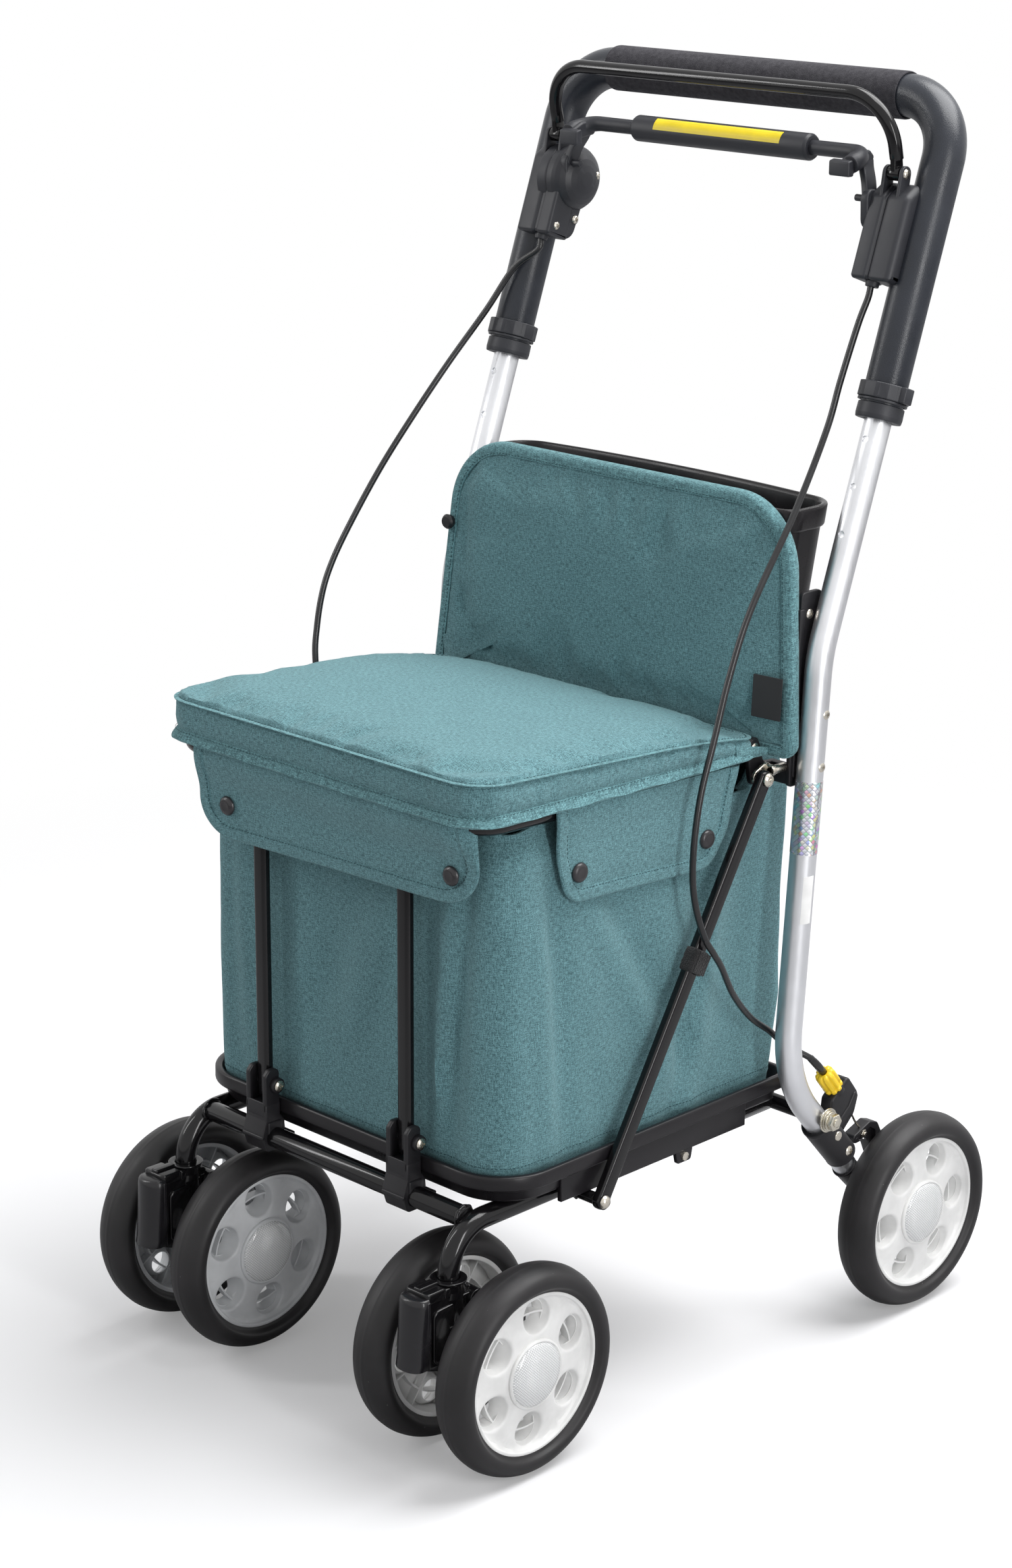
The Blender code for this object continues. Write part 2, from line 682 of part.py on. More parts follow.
def bag():
    # Open topped fabric bag that stands in the tray, with a front flap and two side flaps.
    def ring(inset, z, rear=BAG_REAR):
        outline = pan_outline(BAG_HALF_WIDTH - inset, BAG_FRONT + inset, rear - inset, 0.035 - inset, 0.025 - inset)
        return [(x, y, z) for x, y in outline]

    def top(y):
        return 0.4756 - 0.032 * y if y < 0.240 else 0.4500

    def open_ring(inset):
        return [(x, y, top(y)) for x, y, z in ring(inset, 0.0, BAG_REAR + 0.014)]

    rings = [
        ring(0.0030, 0.1986),
        ring(0.0010, 0.2010),
        ring(0.0, 0.2180),
        ring(0.0, 0.2900, BAG_REAR + 0.012),
        open_ring(0.0),
        open_ring(BAG_WALL),
        ring(BAG_WALL, 0.2900, BAG_REAR + 0.012),
        ring(BAG_WALL, 0.2040),
        ring(BAG_WALL + 0.0020, 0.2020),
    ]
    body = loft("bag", rings)
    for side, sign in SIDES:
        outline = rounded(
            ((0.0480, 0.4738), (0.0535, 0.4500), (0.0640, 0.4250), (0.1350, 0.4120), (0.2170, 0.4035),
             (0.2400, 0.4200), (0.2460, 0.4672)), 0.012
        )
        inner = [(sign * 0.1565, y, z) for y, z in outline]
        outer = [(sign * (0.1602 + 0.075 * (z - 0.4035)), y, z) for y, z in outline]
        body = fuse(body, loft("side_flap", [inner, outer]))

    def flap_face(x):
        # The front flap stands off the bag where it passes over the uprights.
        reach = min(1.0, max(0.0, (0.122 - abs(x)) / 0.030))
        ease = reach * reach * (3 - 2 * reach)
        return -0.0022 - 0.0162 * ease

    columns = [-0.150, -0.140, -0.122, -0.112, -0.102, -0.092, 0.0, 0.092, 0.102, 0.112, 0.120, 0.126, 0.129]
    strips = []
    for x in columns:
        edge = min(1.0, (x + 0.150) / 0.030, (0.129 - x) / 0.030)
        low = 0.4020 + 0.026 * (1 - max(0.0, edge)) ** 2
        face = flap_face(x)
        strips.append([(x, 0.0045, 0.4740), (x, 0.0045, low), (x, face, low), (x, face, 0.4740)])
    flap = loft("front_flap", strips)
    hollow = box("hollow", (-0.0935, -0.0160, 0.380), (0.0935, 0.0026, 0.4610))
    flap = cut(flap, hollow)
    for side, sign in SIDES:
        flap = cut(flap, box("channel", (sign * UPRIGHT_X - 0.0135, -0.0160, 0.380), (sign * UPRIGHT_X + 0.0135, 0.0026, 0.490)))
    flap_top = box("flap_top", (-0.16, -0.0300, 0.4690), (0.16, -0.0118, 0.4800))
    flap = cut(flap, flap_top)
    return fuse(body, flap)


def seat_plane(y):
    return 0.4825 - 0.032 * y


def seat_frame():
    # Oval ring under the seat with clevis ears for the uprights and ears on the seat hinge.
    corners = [
        (0.158, -0.0215, seat_plane(-0.0215)),
        (-0.158, -0.0215, seat_plane(-0.0215)),
        (-0.158, 0.248, seat_plane(0.248)),
        (0.158, 0.248, seat_plane(0.248)),
    ]
    frame = tube("seat_frame", bent(corners, 0.030, 4, closed=True), 0.0060, closed=True)
    for side, sign in SIDES:
        x = sign * UPRIGHT_X
        for offset in (-0.0097, 0.0097):
            lug = ((-0.0220, 0.4790), (-0.0140, 0.4705), (-0.0080, 0.4712), (-0.0058, 0.4770), (-0.0150, 0.4870))
            frame = fuse(frame, plate("clevis_ear", lug, 0.0026, side_plane(x + offset)))
        inner = sign * 0.1527
        ear = rounded(
            ((0.2300, 0.4700), (0.2560, 0.4700), (0.2705, 0.4820), (0.2705, 0.4900), (0.2660, 0.4920),
             (0.2590, 0.4900), (0.2440, 0.4780)), 0.003
        )
        hole = [circle(SEAT_HINGE, 0.0030, 10)]
        frame = fuse(frame, plate("hinge_ear", ear, 0.0046, side_plane(inner), hole))
    return frame


def seat():
    # Padded lid: hem, upright side, piped seam and a crowned top that is drawn in at the seam.
    def ring(inset, height):
        front = SEAT_FRONT + inset
        rear = SEAT_REAR - inset * 0.55
        radius = max(0.006, 0.040 - inset * 0.35)
        rear_radius = max(0.004, 0.010 - inset * 0.1)
        outline = pan_outline(SEAT_HALF_WIDTH - inset, front, rear, radius, rear_radius)
        return [(x, y, eased(y, height(y, x))) for x, y in outline]

    def eased(y, z):
        # The rear edge is thinner, so that the open lid stands clear of the backrest.
        foot = hem(y, 0.0) + 0.0072
        stations = ((0.180, 1.0), (0.200, 0.95), (0.220, 0.86), (0.235, 0.80), (0.250, 0.76), (0.262, 0.56), (0.269, 0.42))
        if z <= foot or y <= stations[0][0]:
            return z
        for (y0, share0), (y1, share1) in zip(stations, stations[1:]):
            if y <= y1:
                share = share0 + (share1 - share0) * (y - y0) / (y1 - y0)
                break
        return foot + (z - foot) * share

    def hem(y, x):
        return 0.4857 - 0.032 * y

    def seam(y, x):
        return 0.5147 - 0.057 * y

    def crown(lift):
        def height(y, x):
            near_back = min(1.0, max(0.0, (SEAT_REAR - y) / 0.060))
            return 0.5147 - 0.057 * y + lift * math.sqrt(near_back)
        return height

    levels = (
        (0.0300, lambda y, x: seat_plane(y) + 0.0071),
        (0.0040, lambda y, x: seat_plane(y) + 0.0070),
        (0.0030, lambda y, x: hem(y, x) + 0.0004),
        (0.0006, hem),
        (0.0, lambda y, x: hem(y, x) + 0.0012),
        (0.0012, lambda y, x: hem(y, x) + 0.0065),
        (0.0030, lambda y, x: hem(y, x) + 0.0072),
        (0.0034, lambda y, x: seam(y, x) - 0.0045),
        (0.0024, lambda y, x: seam(y, x) - 0.0010),
        (0.0030, lambda y, x: seam(y, x) + 0.0018),
        (0.0060, crown(0.0022)),
        (0.0120, crown(0.0060)),
        (0.0220, crown(0.0105)),
        (0.0400, crown(0.0150)),
        (0.0700, crown(0.0180)),
        (0.1100, crown(SEAT_CROWN)),
    )
    lid = loft("seat", [ring(*level) for level in levels])
    for side, sign in SIDES:
        inner = sign * 0.1478
        outer = sign * 0.1652
        lid = cut(lid, box("pocket", (min(inner, outer), 0.2200, 0.4600), (max(inner, outer), 0.3000, 0.4945)))
        lid = cut(lid, side_rod("pin_bore", sign * 0.1422, sign * 0.1500, SEAT_HINGE, 0.0030, sides=10))
    return lid


def bin_shell():
    # Tapered plastic bin behind the backrest, with a banded rim, a bowed back and a pad on each side.
    def ring(half_width, front, rear, z, radius):
        points = []
        for x, y in pan_outline(half_width, front, rear, radius, radius * 1.6, 4):
            if y > (front + rear) / 2:
                y += 0.012 * (1 - (x / half_width) ** 2)
            points.append((x, y, z))
        return points

    def outer(z, grow=0.0, wall=0.0):
        share = (z - 0.487) / (0.660 - 0.487)
        half_width = 0.150 + 0.014 * share + grow - wall
        front = backrest_front(z) + BACK_THICKNESS + 0.0030 - grow + wall
        rear = 0.330 + 0.020 * share + grow - wall
        return ring(half_width, front, rear, z, 0.014)

    levels = [
        outer(0.4870, wall=0.0020),
        outer(0.4890),
        outer(0.6410),
        outer(0.6425, grow=0.0020),
        outer(0.6590, grow=0.0020),
        outer(0.6600, grow=0.0012),
        outer(0.6600, wall=0.0012),
        outer(0.6400, wall=0.0024),
        outer(0.4905, wall=0.0024),
    ]
    body = loft("bin", levels)
    for side, sign in SIDES:
        inner = sign * 0.1535
        outer_x = sign * 0.1772
        body = fuse(body, box("pad", (min(inner, outer_x), 0.3010, 0.5650), (max(inner, outer_x), 0.3110, 0.5900)))
    return body


def handle_tube():
    # Black U tube over the legs, with a collar at each foot.
    corners = [
        (HANDLE_X, *HANDLE_FOOT),
        (HANDLE_X, *HANDLE_TOP),
        (-HANDLE_X, *HANDLE_TOP),
        (-HANDLE_X, *HANDLE_FOOT),
    ]
    body = tube("handle_tube", bent(corners, 0.045, 5), HANDLE_RADIUS, 5)
    for side, sign in SIDES:
        foot = Vector((sign * HANDLE_X, *HANDLE_FOOT))
        body = fuse(body, rod("collar", foot - HANDLE_UP * 0.0004, foot + HANDLE_UP * 0.0110, 0.0175, sides=18))
        bore_end = foot + HANDLE_UP * 0.190
        body = cut(body, rod("bore", foot - HANDLE_UP * 0.01, bore_end, 0.0109, sides=16))
    return body


def grip():
    ring = (
        (0.0163, 0.1470), (0.0170, 0.1470), (0.0178, 0.1455), (0.0178, -0.1455), (0.0170, -0.1470), (0.0163, -0.1470)
    )
    return turned("grip", ring, 20, facing(0.0, HANDLE_TOP), closed=True)


def lock_ring(side, sign):
    # Faceted clamp ring with an outer tab, just above the collar.
    outline = []
    for index in range(12):
        angle = math.radians(30 * index + 15)
        radius = 0.0196 if index % 2 else 0.0192
        outline.append((radius * math.cos(angle), radius * math.sin(angle)))
    foot = Vector((sign * HANDLE_X, *HANDLE_FOOT)) + HANDLE_UP * 0.0195
    place = Matrix((
        (1, 0, 0, foot.x),
        (0, -HANDLE_FORWARD.y, HANDLE_UP.y, foot.y),
        (0, -HANDLE_FORWARD.z, HANDLE_UP.z, foot.z),
        (0, 0, 0, 1),
    ))
    body = plate("lock_ring_" + side, outline, 0.0140, place, [circle((0, 0), 0.0166, 18)])
    tab = rounded(((sign * 0.0175, -0.0065), (sign * 0.0230, -0.0050), (sign * 0.0230, 0.0050), (sign * 0.0175, 0.0065)), 0.002, 1)
    return fuse(body, plate("tab", tab, 0.0140, place))


def handle_turn(x):
    return Matrix((
        (1, 0, 0, x),
        (0, -HANDLE_FORWARD.y, HANDLE_UP.y, HANDLE_POINT.y),
        (0, -HANDLE_FORWARD.z, HANDLE_UP.z, HANDLE_POINT.z),
        (0, 0, 0, 1),
    ))


LEVER_PIVOT = on_handle(0.0, 0.0235, 0.0326)
BAR_PIVOT = on_handle(0.0, 0.0235, 0.0115)


def brake_housing(side, sign):
    # Moulded case on the inner front of the handle tube, with ears for the lever. Local Y points to the back.
    centre = sign * 0.1695
    turn = handle_turn(centre)
    body = box("brake_housing_" + side, (-0.0125, -0.0265, -0.0475), (0.0125, -0.0020, 0.0230), 0.0035, turn)
    for offset in (-0.0035, 0.0119):
        x = sign * (0.1675 + offset)
        ear = capsule((LEVER_PIVOT.y, LEVER_PIVOT.z), on_handle(0, 0.0200, 0.0150).yz, 0.0058, 3)
        body = fuse(body, plate("ear", ear, 0.0028, side_plane(x)))
    gland = rod("gland", on_handle(centre, 0.0170, -0.0470), on_handle(centre, 0.0175, -0.0500), 0.0048, sides=12)
    body = fuse(body, gland)
    pivot = (LEVER_PIVOT.y, LEVER_PIVOT.z)
    body = fuse(body, side_rod("lever_pin", sign * 0.1645, sign * 0.1790, pivot, 0.0020, sides=8))
    if sign < 0:
        dome = turned(
            "ratchet_case",
            ((0, 0.0150), (0.0110, 0.0136), (0.0200, 0.0092), (0.0262, 0.0), (0.0262, -0.0170), (0, -0.0170)),
            20,
            facing(-0.1590, (0.4020, 0.8645)),
        )
        body = fuse(body, dome)
    tube_space = rod("tube_space", on_handle(sign * HANDLE_X, 0, -0.09), on_handle(sign * HANDLE_X, 0, 0.05), 0.0165, sides=20)
    body = cut(body, tube_space)
    bar_bore = side_rod("bar_bore", sign * 0.1400, sign * 0.1612, (BAR_PIVOT.y, BAR_PIVOT.z), 0.0031, sides=10)
    return cut(body, bar_bore)


def brake_lever():
    # Loop in front of the grip that is squeezed towards it.
    pivot = (LEVER_PIVOT.y, LEVER_PIVOT.z)
    corners = [
        (0.1717, pivot[0] - 0.0010, pivot[1] + 0.0050),
        (0.1717, 0.3844, 0.9548),
        (-0.1717, 0.3844, 0.9548),
        (-0.1717, pivot[0] - 0.0010, pivot[1] + 0.0050),
    ]
    body = tube("brake_lever", bent(corners, 0.038, 4), 0.0052)
    for side, sign in SIDES:
        body = fuse(body, side_rod("eye", sign * 0.1664, sign * 0.1770, pivot, 0.0058, sides=14))
        body = cut(body, side_rod("eye_bore", sign * 0.1600, sign * 0.1850, pivot, 0.0025, sides=10))
    return body


def parking_bar():
    # Bar below the grip that is pushed down to park: thick sleeve, rod, side arms with paddles and pivots.
    centre = (0.3996, 0.9100)
    pivot = (BAR_PIVOT.y, BAR_PIVOT.z)
    body = turned(
        "parking_bar",
        ((0.0050, 0.0890), (0.0092, 0.0888), (0.0102, 0.0876), (0.0102, -0.0876), (0.0092, -0.0888), (0.0050, -0.0890)),
        16,
        facing(0.0, centre),
        closed=True,
    )
    body = fuse(body, side_rod("rod", -0.1400, 0.1400, centre, 0.0056, sides=12))
    for side, sign in SIDES:
        arm = rounded(
            ((0.3860, 0.9150), (0.4060, 0.9160), (0.4060, 0.9030), (0.3950, 0.8780), (0.3880, 0.8720),
             (0.3820, 0.8780), (0.3870, 0.8960), (0.3720, 0.8960), (0.3720, 0.9060)), 0.004
        )
        body = fuse(body, plate("arm", arm, 0.0056, side_plane(sign * 0.1402)))
        body = fuse(body, side_rod("pivot", sign * 0.1410, sign * 0.1605, pivot, 0.0026, sides=10))
    return body


def caster_body(side, sign):
    # Plastic leg between the twin wheels: socket on the stem, front block, arm and the axle.
    x = sign * FRONT_TRACK
    outline = rounded(
        ((-0.0655, 0.1450), (-0.0460, 0.1490), (-0.0220, 0.1490), (-0.0215, 0.1150), (0.0080, 0.0960), (0.0140, 0.0800),
         (0.0060, 0.0665), (-0.0080, 0.0665), (-0.0400, 0.0800), (-0.0660, 0.0880)), 0.006
    )
    body = plate("caster_body_" + side, outline, 0.0250, side_plane(x))
    stem = (x, STEERING_Y)
    body = fuse(body, rod("socket", (*stem, 0.1080), (*stem, 0.1495), 0.0142, 0.0122, sides=18))
    body = cut(body, rod("stem_bore", (*stem, 0.1225), (*stem, 0.1600), 0.0085, sides=16))
    reach = TWIN_OFFSET + 0.0095
    return fuse(body, side_rod("axle", x - reach, x + reach, (0.0, 0.080), AXLE_RADIUS))


def caster_cover(side, sign):
    # Convex cap over the front of the caster leg.
    x = sign * FRONT_TRACK
    rings = []
    for depth, inset in ((0.0, 0.0), (0.0030, 0.0004), (0.0060, 0.0020), (0.0078, 0.0050)):
        outline = rounded(
            ((-0.0130 + inset, 0.0930 + inset), (0.0130 - inset, 0.0930 + inset), (0.0130 - inset, 0.1460 - inset),
             (-0.0130 + inset, 0.1460 - inset)), 0.005
        )
        rings.append([(x + u, -0.0664 - depth - 0.006 * (0.1460 - v) * 20 * 0.05, v) for u, v in outline])
    return loft("caster_cover_" + side, rings)


def tyre(name, x):
    profile = [
        (0.0622, 0.0120),
        (0.0680, TYRE_HALF_WIDTH),
        (TREAD_RADIUS - 0.0040, TYRE_HALF_WIDTH - 0.0018),
        (TREAD_RADIUS, TYRE_HALF_WIDTH - 0.0075),
    ]
    lower = [(radius, -height) for radius, height in reversed(profile)]
    return turned(name, profile + lower, WHEEL_STEPS, facing(x, (0.0, 0.0)), closed=True)


def hub(name, x, outward):
    # Moulded wheel centre: boss, dished web with six conical holes, and the rim that holds the tyre.
    profile = (
        (0.0052, 0.0105), (0.0265, 0.0105), (0.0560, 0.0085), (0.0590, HUB_FACE), (RIM_RADIUS, HUB_FACE),
        (RIM_RADIUS, -HUB_FACE), (0.0580, -HUB_FACE), (0.0565, 0.0030), (0.0130, 0.0030), (0.0125, -0.0130), (0.0052, -0.0130),
    )
    body = turned(name, profile, WHEEL_STEPS, facing(x, (0.0, 0.0), outward), closed=True)
    for index in range(HUB_HOLES):
        angle = 2 * math.pi * index / HUB_HOLES + math.radians(11)
        y = HUB_HOLE_CIRCLE * math.cos(angle)
        z = HUB_HOLE_CIRCLE * math.sin(angle)
        outer_end = (x + outward * 0.0130, y, z)
        inner_end = (x - outward * 0.0050, y, z)
        body = cut(body, rod("hub_hole", inner_end, outer_end, 0.0055, 0.0095, sides=8))
    return body


def reflector(name, x, outward):
    profile = ((0, 0.0200), (0.0160, 0.0184), (0.0250, 0.0145), (0.0250, 0.0109), (0, 0.0109))
    return turned(name, profile, 12, facing(x, (0.0, 0.0), outward))


def wheel(label, x, outward, y, joint, hub_look):
    # The three pieces of one wheel, moved from the drawing's axle to its place.
    pieces = (
        (tyre("tyre_" + label, x), RUBBER),
        (hub("hub_" + label, x, outward), hub_look),
        (reflector("reflector_" + label, x, outward), LENS),
    )
    for piece, look in pieces:
        piece.matrix_world = Matrix.Translation((0, y, WHEEL_RADIUS)) @ piece.matrix_world
        hang(piece, joint, look)


def smooth_route(points, count):
    # Evenly shared samples of a smooth curve through the points.
    points = [Vector(point) for point in points]
    padded = [points[0] * 2 - points[1]] + points + [points[-1] * 2 - points[-2]]
    fine = []
    for index in range(1, len(padded) - 2):
        p0, p1, p2, p3 = padded[index - 1:index + 3]
        for step in range(12):
            t = step / 12
            fine.append(0.5 * (2 * p1 + (p2 - p0) * t + (2 * p0 - 5 * p1 + 4 * p2 - p3) * t ** 2
                               + (3 * p1 - p0 - 3 * p2 + p3) * t ** 3))
    fine.append(points[-1])
    lengths = [0.0]
    for before, after in zip(fine, fine[1:]):
        lengths.append(lengths[-1] + (after - before).length)
    samples = []
    position = 0
    for index in range(count):
        target = lengths[-1] * index / (count - 1)
        while position < len(fine) - 2 and lengths[position + 1] < target:
            position += 1
        span = lengths[position + 1] - lengths[position]
        samples.append(fine[position].lerp(fine[position + 1], (target - lengths[position]) / span))
    return samples


RIGHT_UPPER_ROUTE = (
    (0.1690, 0.3744, 0.8174), (0.1692, 0.3716, 0.8094), (0.1675, 0.3632, 0.7907), (0.1670, 0.3457, 0.7508), (0.1680, 0.3302, 0.7162),
    (0.1725, 0.2920, 0.6620), (0.1780, 0.2403, 0.6007), (0.1805, 0.2151, 0.5552), (0.1820, 0.1973, 0.5083),
    (0.1830, 0.1828, 0.4691), (0.1838, 0.1757, 0.4281), (0.1848, 0.1765, 0.3950),
)
LEFT_UPPER_ROUTE = (
    (0.1690, 0.3744, 0.8174), (0.1692, 0.3716, 0.8094), (0.1870, 0.3621, 0.7934), (0.2010, 0.3450, 0.7600), (0.2170, 0.3165, 0.7168),
    (0.2245, 0.2798, 0.6724), (0.2275, 0.2478, 0.6348), (0.2285, 0.2141, 0.5916), (0.2285, 0.1968, 0.5655),
    (0.2280, 0.1876, 0.5446), (0.2260, 0.1804, 0.5204), (0.2220, 0.1748, 0.4976), (0.2120, 0.1710, 0.4550),
    (0.2000, 0.1735, 0.4150),
)
LOWER_ROUTE = (
    (0.1872, 0.1853, 0.3640), (0.1876, 0.1967, 0.3468), (0.1866, 0.2073, 0.3328), (0.1820, 0.2266, 0.3053),
    (0.1768, 0.2532, 0.2786), (0.1758, 0.2776, 0.2605), (0.1772, 0.2900, 0.2490), (0.1840, 0.3010, 0.2400),
    (0.1905, 0.3098, 0.2335), (0.1923, 0.3174, 0.2263), (0.1923, 0.3236, 0.2187),
)
WIRE_ROUTE = ((0.1923, 0.3245, 0.2176), (0.1923, 0.3575, 0.1770), (0.1860, 0.3785, 0.1557))


def brake_cable(side, sign):
    # Black sheath from the housing to the adjuster, and the bare wire from there to the brake arm.
    upper = RIGHT_UPPER_ROUTE if sign > 0 else LEFT_UPPER_ROUTE
    sheath = smooth_route(upper + LOWER_ROUTE, 46)
    points = sheath + [Vector(point) for point in WIRE_ROUTE]
    radii = [1.0] * len(sheath) + [0.36] * len(WIRE_ROUTE)
    points = [(sign * point.x, point.y, point.z) for point in points]
    return tube("brake_cable_" + side, points, 0.0025, 2, radii=radii)


def build():
    root = empty("rollator_origin", (0.0, 0.0, 0.0))
    base = empty("base_fold", (0.0, *BASE_HINGE), root)
    seat_ring = empty("seat_frame_fold", (0.0, *SEAT_HINGE), root)
    seat_lid = empty("seat_lid", (0.0, *SEAT_HINGE), seat_ring)
    uprights = empty("upright_fold", (0.0, *UPRIGHT_FOOT), base)
    handle = empty("handle_slide", tuple(HANDLE_POINT), root)
    lever = empty("lever_squeeze", tuple(LEVER_PIVOT), handle)
    bar = empty("parking_push", tuple(BAR_PIVOT), handle)

    hang(backrest(), root, TEAL)
    hang(bin_shell(), root, BLACK_PLASTIC)
    hang(base_frame(), base, BLACK_METAL)
    hang(tray(), base, BLACK_PLASTIC)
    hang(bag(), base, TEAL)
    hang(seat_frame(), seat_ring, BLACK_METAL)
    hang(seat(), seat_lid, TEAL_SEAT)
    hang(handle_tube(), handle, BLACK_METAL)
    hang(grip(), handle, BLACK_FOAM)
    hang(brake_lever(), lever, BLACK_METAL)
    hang(parking_bar(), bar, BLACK_PLASTIC)

    for side, sign in SIDES:
        hang(leg_tube(side, sign), root, SILVER)
        hang(sleeve(side, sign), root, BLACK_PLASTIC)
        hang(axle_tube(side, sign), root, SILVER)
        hang(backrest_plate(side, sign), root, BLACK_PLASTIC)
        hang(strut_hanger(side, sign), root, STEEL)
        hang(brake_cable(side, sign), root, CABLE)
        arm = empty("brake_arm_turn_" + side, (sign * 0.185, 0.408, 0.118), root)
        hang(brake_arm(side, sign), arm, BLACK_METAL)
        knob = empty("adjuster_turn_" + side, (sign * LEG_X, 0.3380, 0.2010), root)
        hang(cable_adjuster(side, sign), knob, YELLOW)
        swing = empty("strut_fold_" + side, (sign * STRUT_X, *STRUT_HEAD), root)
        hang(strut(side, sign), swing, BLACK_METAL)
        if sign > 0:
            hang(cable_strap(), swing, BLACK_FOAM)
        hang(upright_bracket(side, sign), base, BLACK_PLASTIC)
        hang(upright(side, sign), uprights, BLACK_METAL)
        ring_place = Vector((sign * HANDLE_X, *HANDLE_FOOT)) + HANDLE_UP * 0.0195
        hang(lock_ring(side, sign), empty("lock_ring_turn_" + side, tuple(ring_place), handle), BLACK_PLASTIC)
        hang(brake_housing(side, sign), handle, BLACK_PLASTIC)

        steering = empty("caster_swivel_" + side, (sign * FRONT_TRACK, STEERING_Y, 0.1), base)
        hang(caster_body(side, sign), steering, BLACK_PLASTIC)
        hang(caster_cover(side, sign), steering, BLACK_PLASTIC)
        look = WHITE_PLASTIC if sign > 0 else GREY_PLASTIC
        for place, offset in (("outer", 1), ("inner", -1)):
            label = "front_" + side + "_" + place
            x = sign * (FRONT_TRACK + offset * TWIN_OFFSET)
            spin = empty("spin_" + label, (x, 0.0, WHEEL_RADIUS), steering)
            wheel(label, x, sign * offset, 0.0, spin, look)
        x = sign * REAR_TRACK
        spin = empty("spin_rear_" + side, (x, REAR_AXLE_Y, WHEEL_RADIUS), root)
        wheel("rear_" + side, x, sign, REAR_AXLE_Y, spin, WHITE_PLASTIC)

    root.location = (0.0, ORIGIN_SHIFT_Y, 0.0)


build()
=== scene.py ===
# Shopping rollator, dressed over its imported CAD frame: casters, folding base with a bag, padded seat and back,
# bin, legs, brakes and push handle. Everything is drawn with the front axle at y = 0 and moved by rowShift.
import math

import bmesh
import bpy
import numpy as np
from mathutils import Matrix, Vector, noise
from mathutils.geometry import tessellate_polygon
from mathutils.kdtree import KDTree


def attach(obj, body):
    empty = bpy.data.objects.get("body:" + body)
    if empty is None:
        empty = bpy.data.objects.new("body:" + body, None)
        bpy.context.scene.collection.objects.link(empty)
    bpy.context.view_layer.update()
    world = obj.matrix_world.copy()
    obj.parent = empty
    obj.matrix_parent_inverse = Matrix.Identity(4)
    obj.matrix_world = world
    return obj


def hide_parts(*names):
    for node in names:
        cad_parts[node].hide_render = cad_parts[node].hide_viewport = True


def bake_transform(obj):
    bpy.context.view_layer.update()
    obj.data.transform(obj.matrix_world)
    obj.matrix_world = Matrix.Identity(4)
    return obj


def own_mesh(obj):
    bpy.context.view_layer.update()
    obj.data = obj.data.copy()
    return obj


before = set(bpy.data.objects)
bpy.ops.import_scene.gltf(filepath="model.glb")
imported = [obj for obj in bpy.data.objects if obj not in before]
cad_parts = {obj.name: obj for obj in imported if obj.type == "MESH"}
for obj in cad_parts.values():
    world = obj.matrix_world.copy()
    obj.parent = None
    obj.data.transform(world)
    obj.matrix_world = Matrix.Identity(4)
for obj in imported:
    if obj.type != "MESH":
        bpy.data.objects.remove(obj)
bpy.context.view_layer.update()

rowShift = Vector((0.0, -0.20925, 0.0))
bothSides = (("right", 1), ("left", -1))
bothSigns = (1, -1)
rearAxle = (0.4185, 0.08)    # along Y and Z
seatHinge = (0.265, 0.486)


# ---- shapes: each one is a shell, a tuple of points, faces and the number of the finish on each face

def spread(paint, count):
    return list(paint) if isinstance(paint, (list, tuple)) else [paint] * count


def circleOutline(radius, steps=24, centre=(0.0, 0.0), start=0.0):
    return [(centre[0] + radius * math.cos(start + 2 * math.pi * i / steps),
             centre[1] + radius * math.sin(start + 2 * math.pi * i / steps)) for i in range(steps)]


def filletPath(corners, radius, steps=10, closed=False):
    # straight runs through the corners, each corner rounded by an arc
    corners = [Vector(c) for c in corners]
    radii = radius if isinstance(radius, (list, tuple)) else [radius] * len(corners)
    path = []
    for i, corner in enumerate(corners):
        if not closed and i in (0, len(corners) - 1):
            path.append(corner)
            continue
        before = (corners[i - 1] - corner).normalized()
        after = (corners[(i + 1) % len(corners)] - corner).normalized()
        half = before.angle(after) / 2
        middle = corner + (before + after).normalized() * (radii[i] / math.sin(half))
        first = corner + before * radii[i] / math.tan(half) - middle
        last = corner + after * radii[i] / math.tan(half) - middle
        turn = first.angle(last)
        for k in range(steps + 1):
            s = k / steps
            path.append(middle + (first * math.sin((1 - s) * turn) + last * math.sin(s * turn)) / math.sin(turn))
    return path


def roundedOutline(corners, radius, steps=6):
    # flat closed outline with rounded corners; radius may be one number or one for each corner
    corners = [Vector((c[0], c[1], 0.0)) for c in corners]
    radii = radius if isinstance(radius, (list, tuple)) else [radius] * len(corners)
    outline = []
    for i, corner in enumerate(corners):
        before = corners[i - 1] - corner
        after = corners[(i + 1) % len(corners)] - corner
        half = before.angle(after) / 2
        if half > 1.55 or radii[i] <= 0:
            outline.append((corner.x, corner.y))
            continue
        reach = min(radii[i] / math.tan(half), before.length * 0.48, after.length * 0.48)
        size = reach * math.tan(half)
        middle = corner + (before.normalized() + after.normalized()).normalized() * (size / math.sin(half))
        first = corner + before.normalized() * reach - middle
        last = corner + after.normalized() * reach - middle
        turn = first.angle(last)
        for k in range(steps + 1):
            s = k / steps
            p = middle + (first * math.sin((1 - s) * turn) + last * math.sin(s * turn)) / math.sin(turn)
            outline.append((p.x, p.y))
    return outline


def barOutline(start, end, radius, steps=10):
    # a bar with round ends
    heading = math.atan2(end[1] - start[1], end[0] - start[0])
    outline = []
    for centre, turn in ((end, heading - math.pi / 2), (start, heading + math.pi / 2)):
        for k in range(steps + 1):
            a = turn + math.pi * k / steps
            outline.append((centre[0] + radius * math.cos(a), centre[1] + radius * math.sin(a)))
    return outline


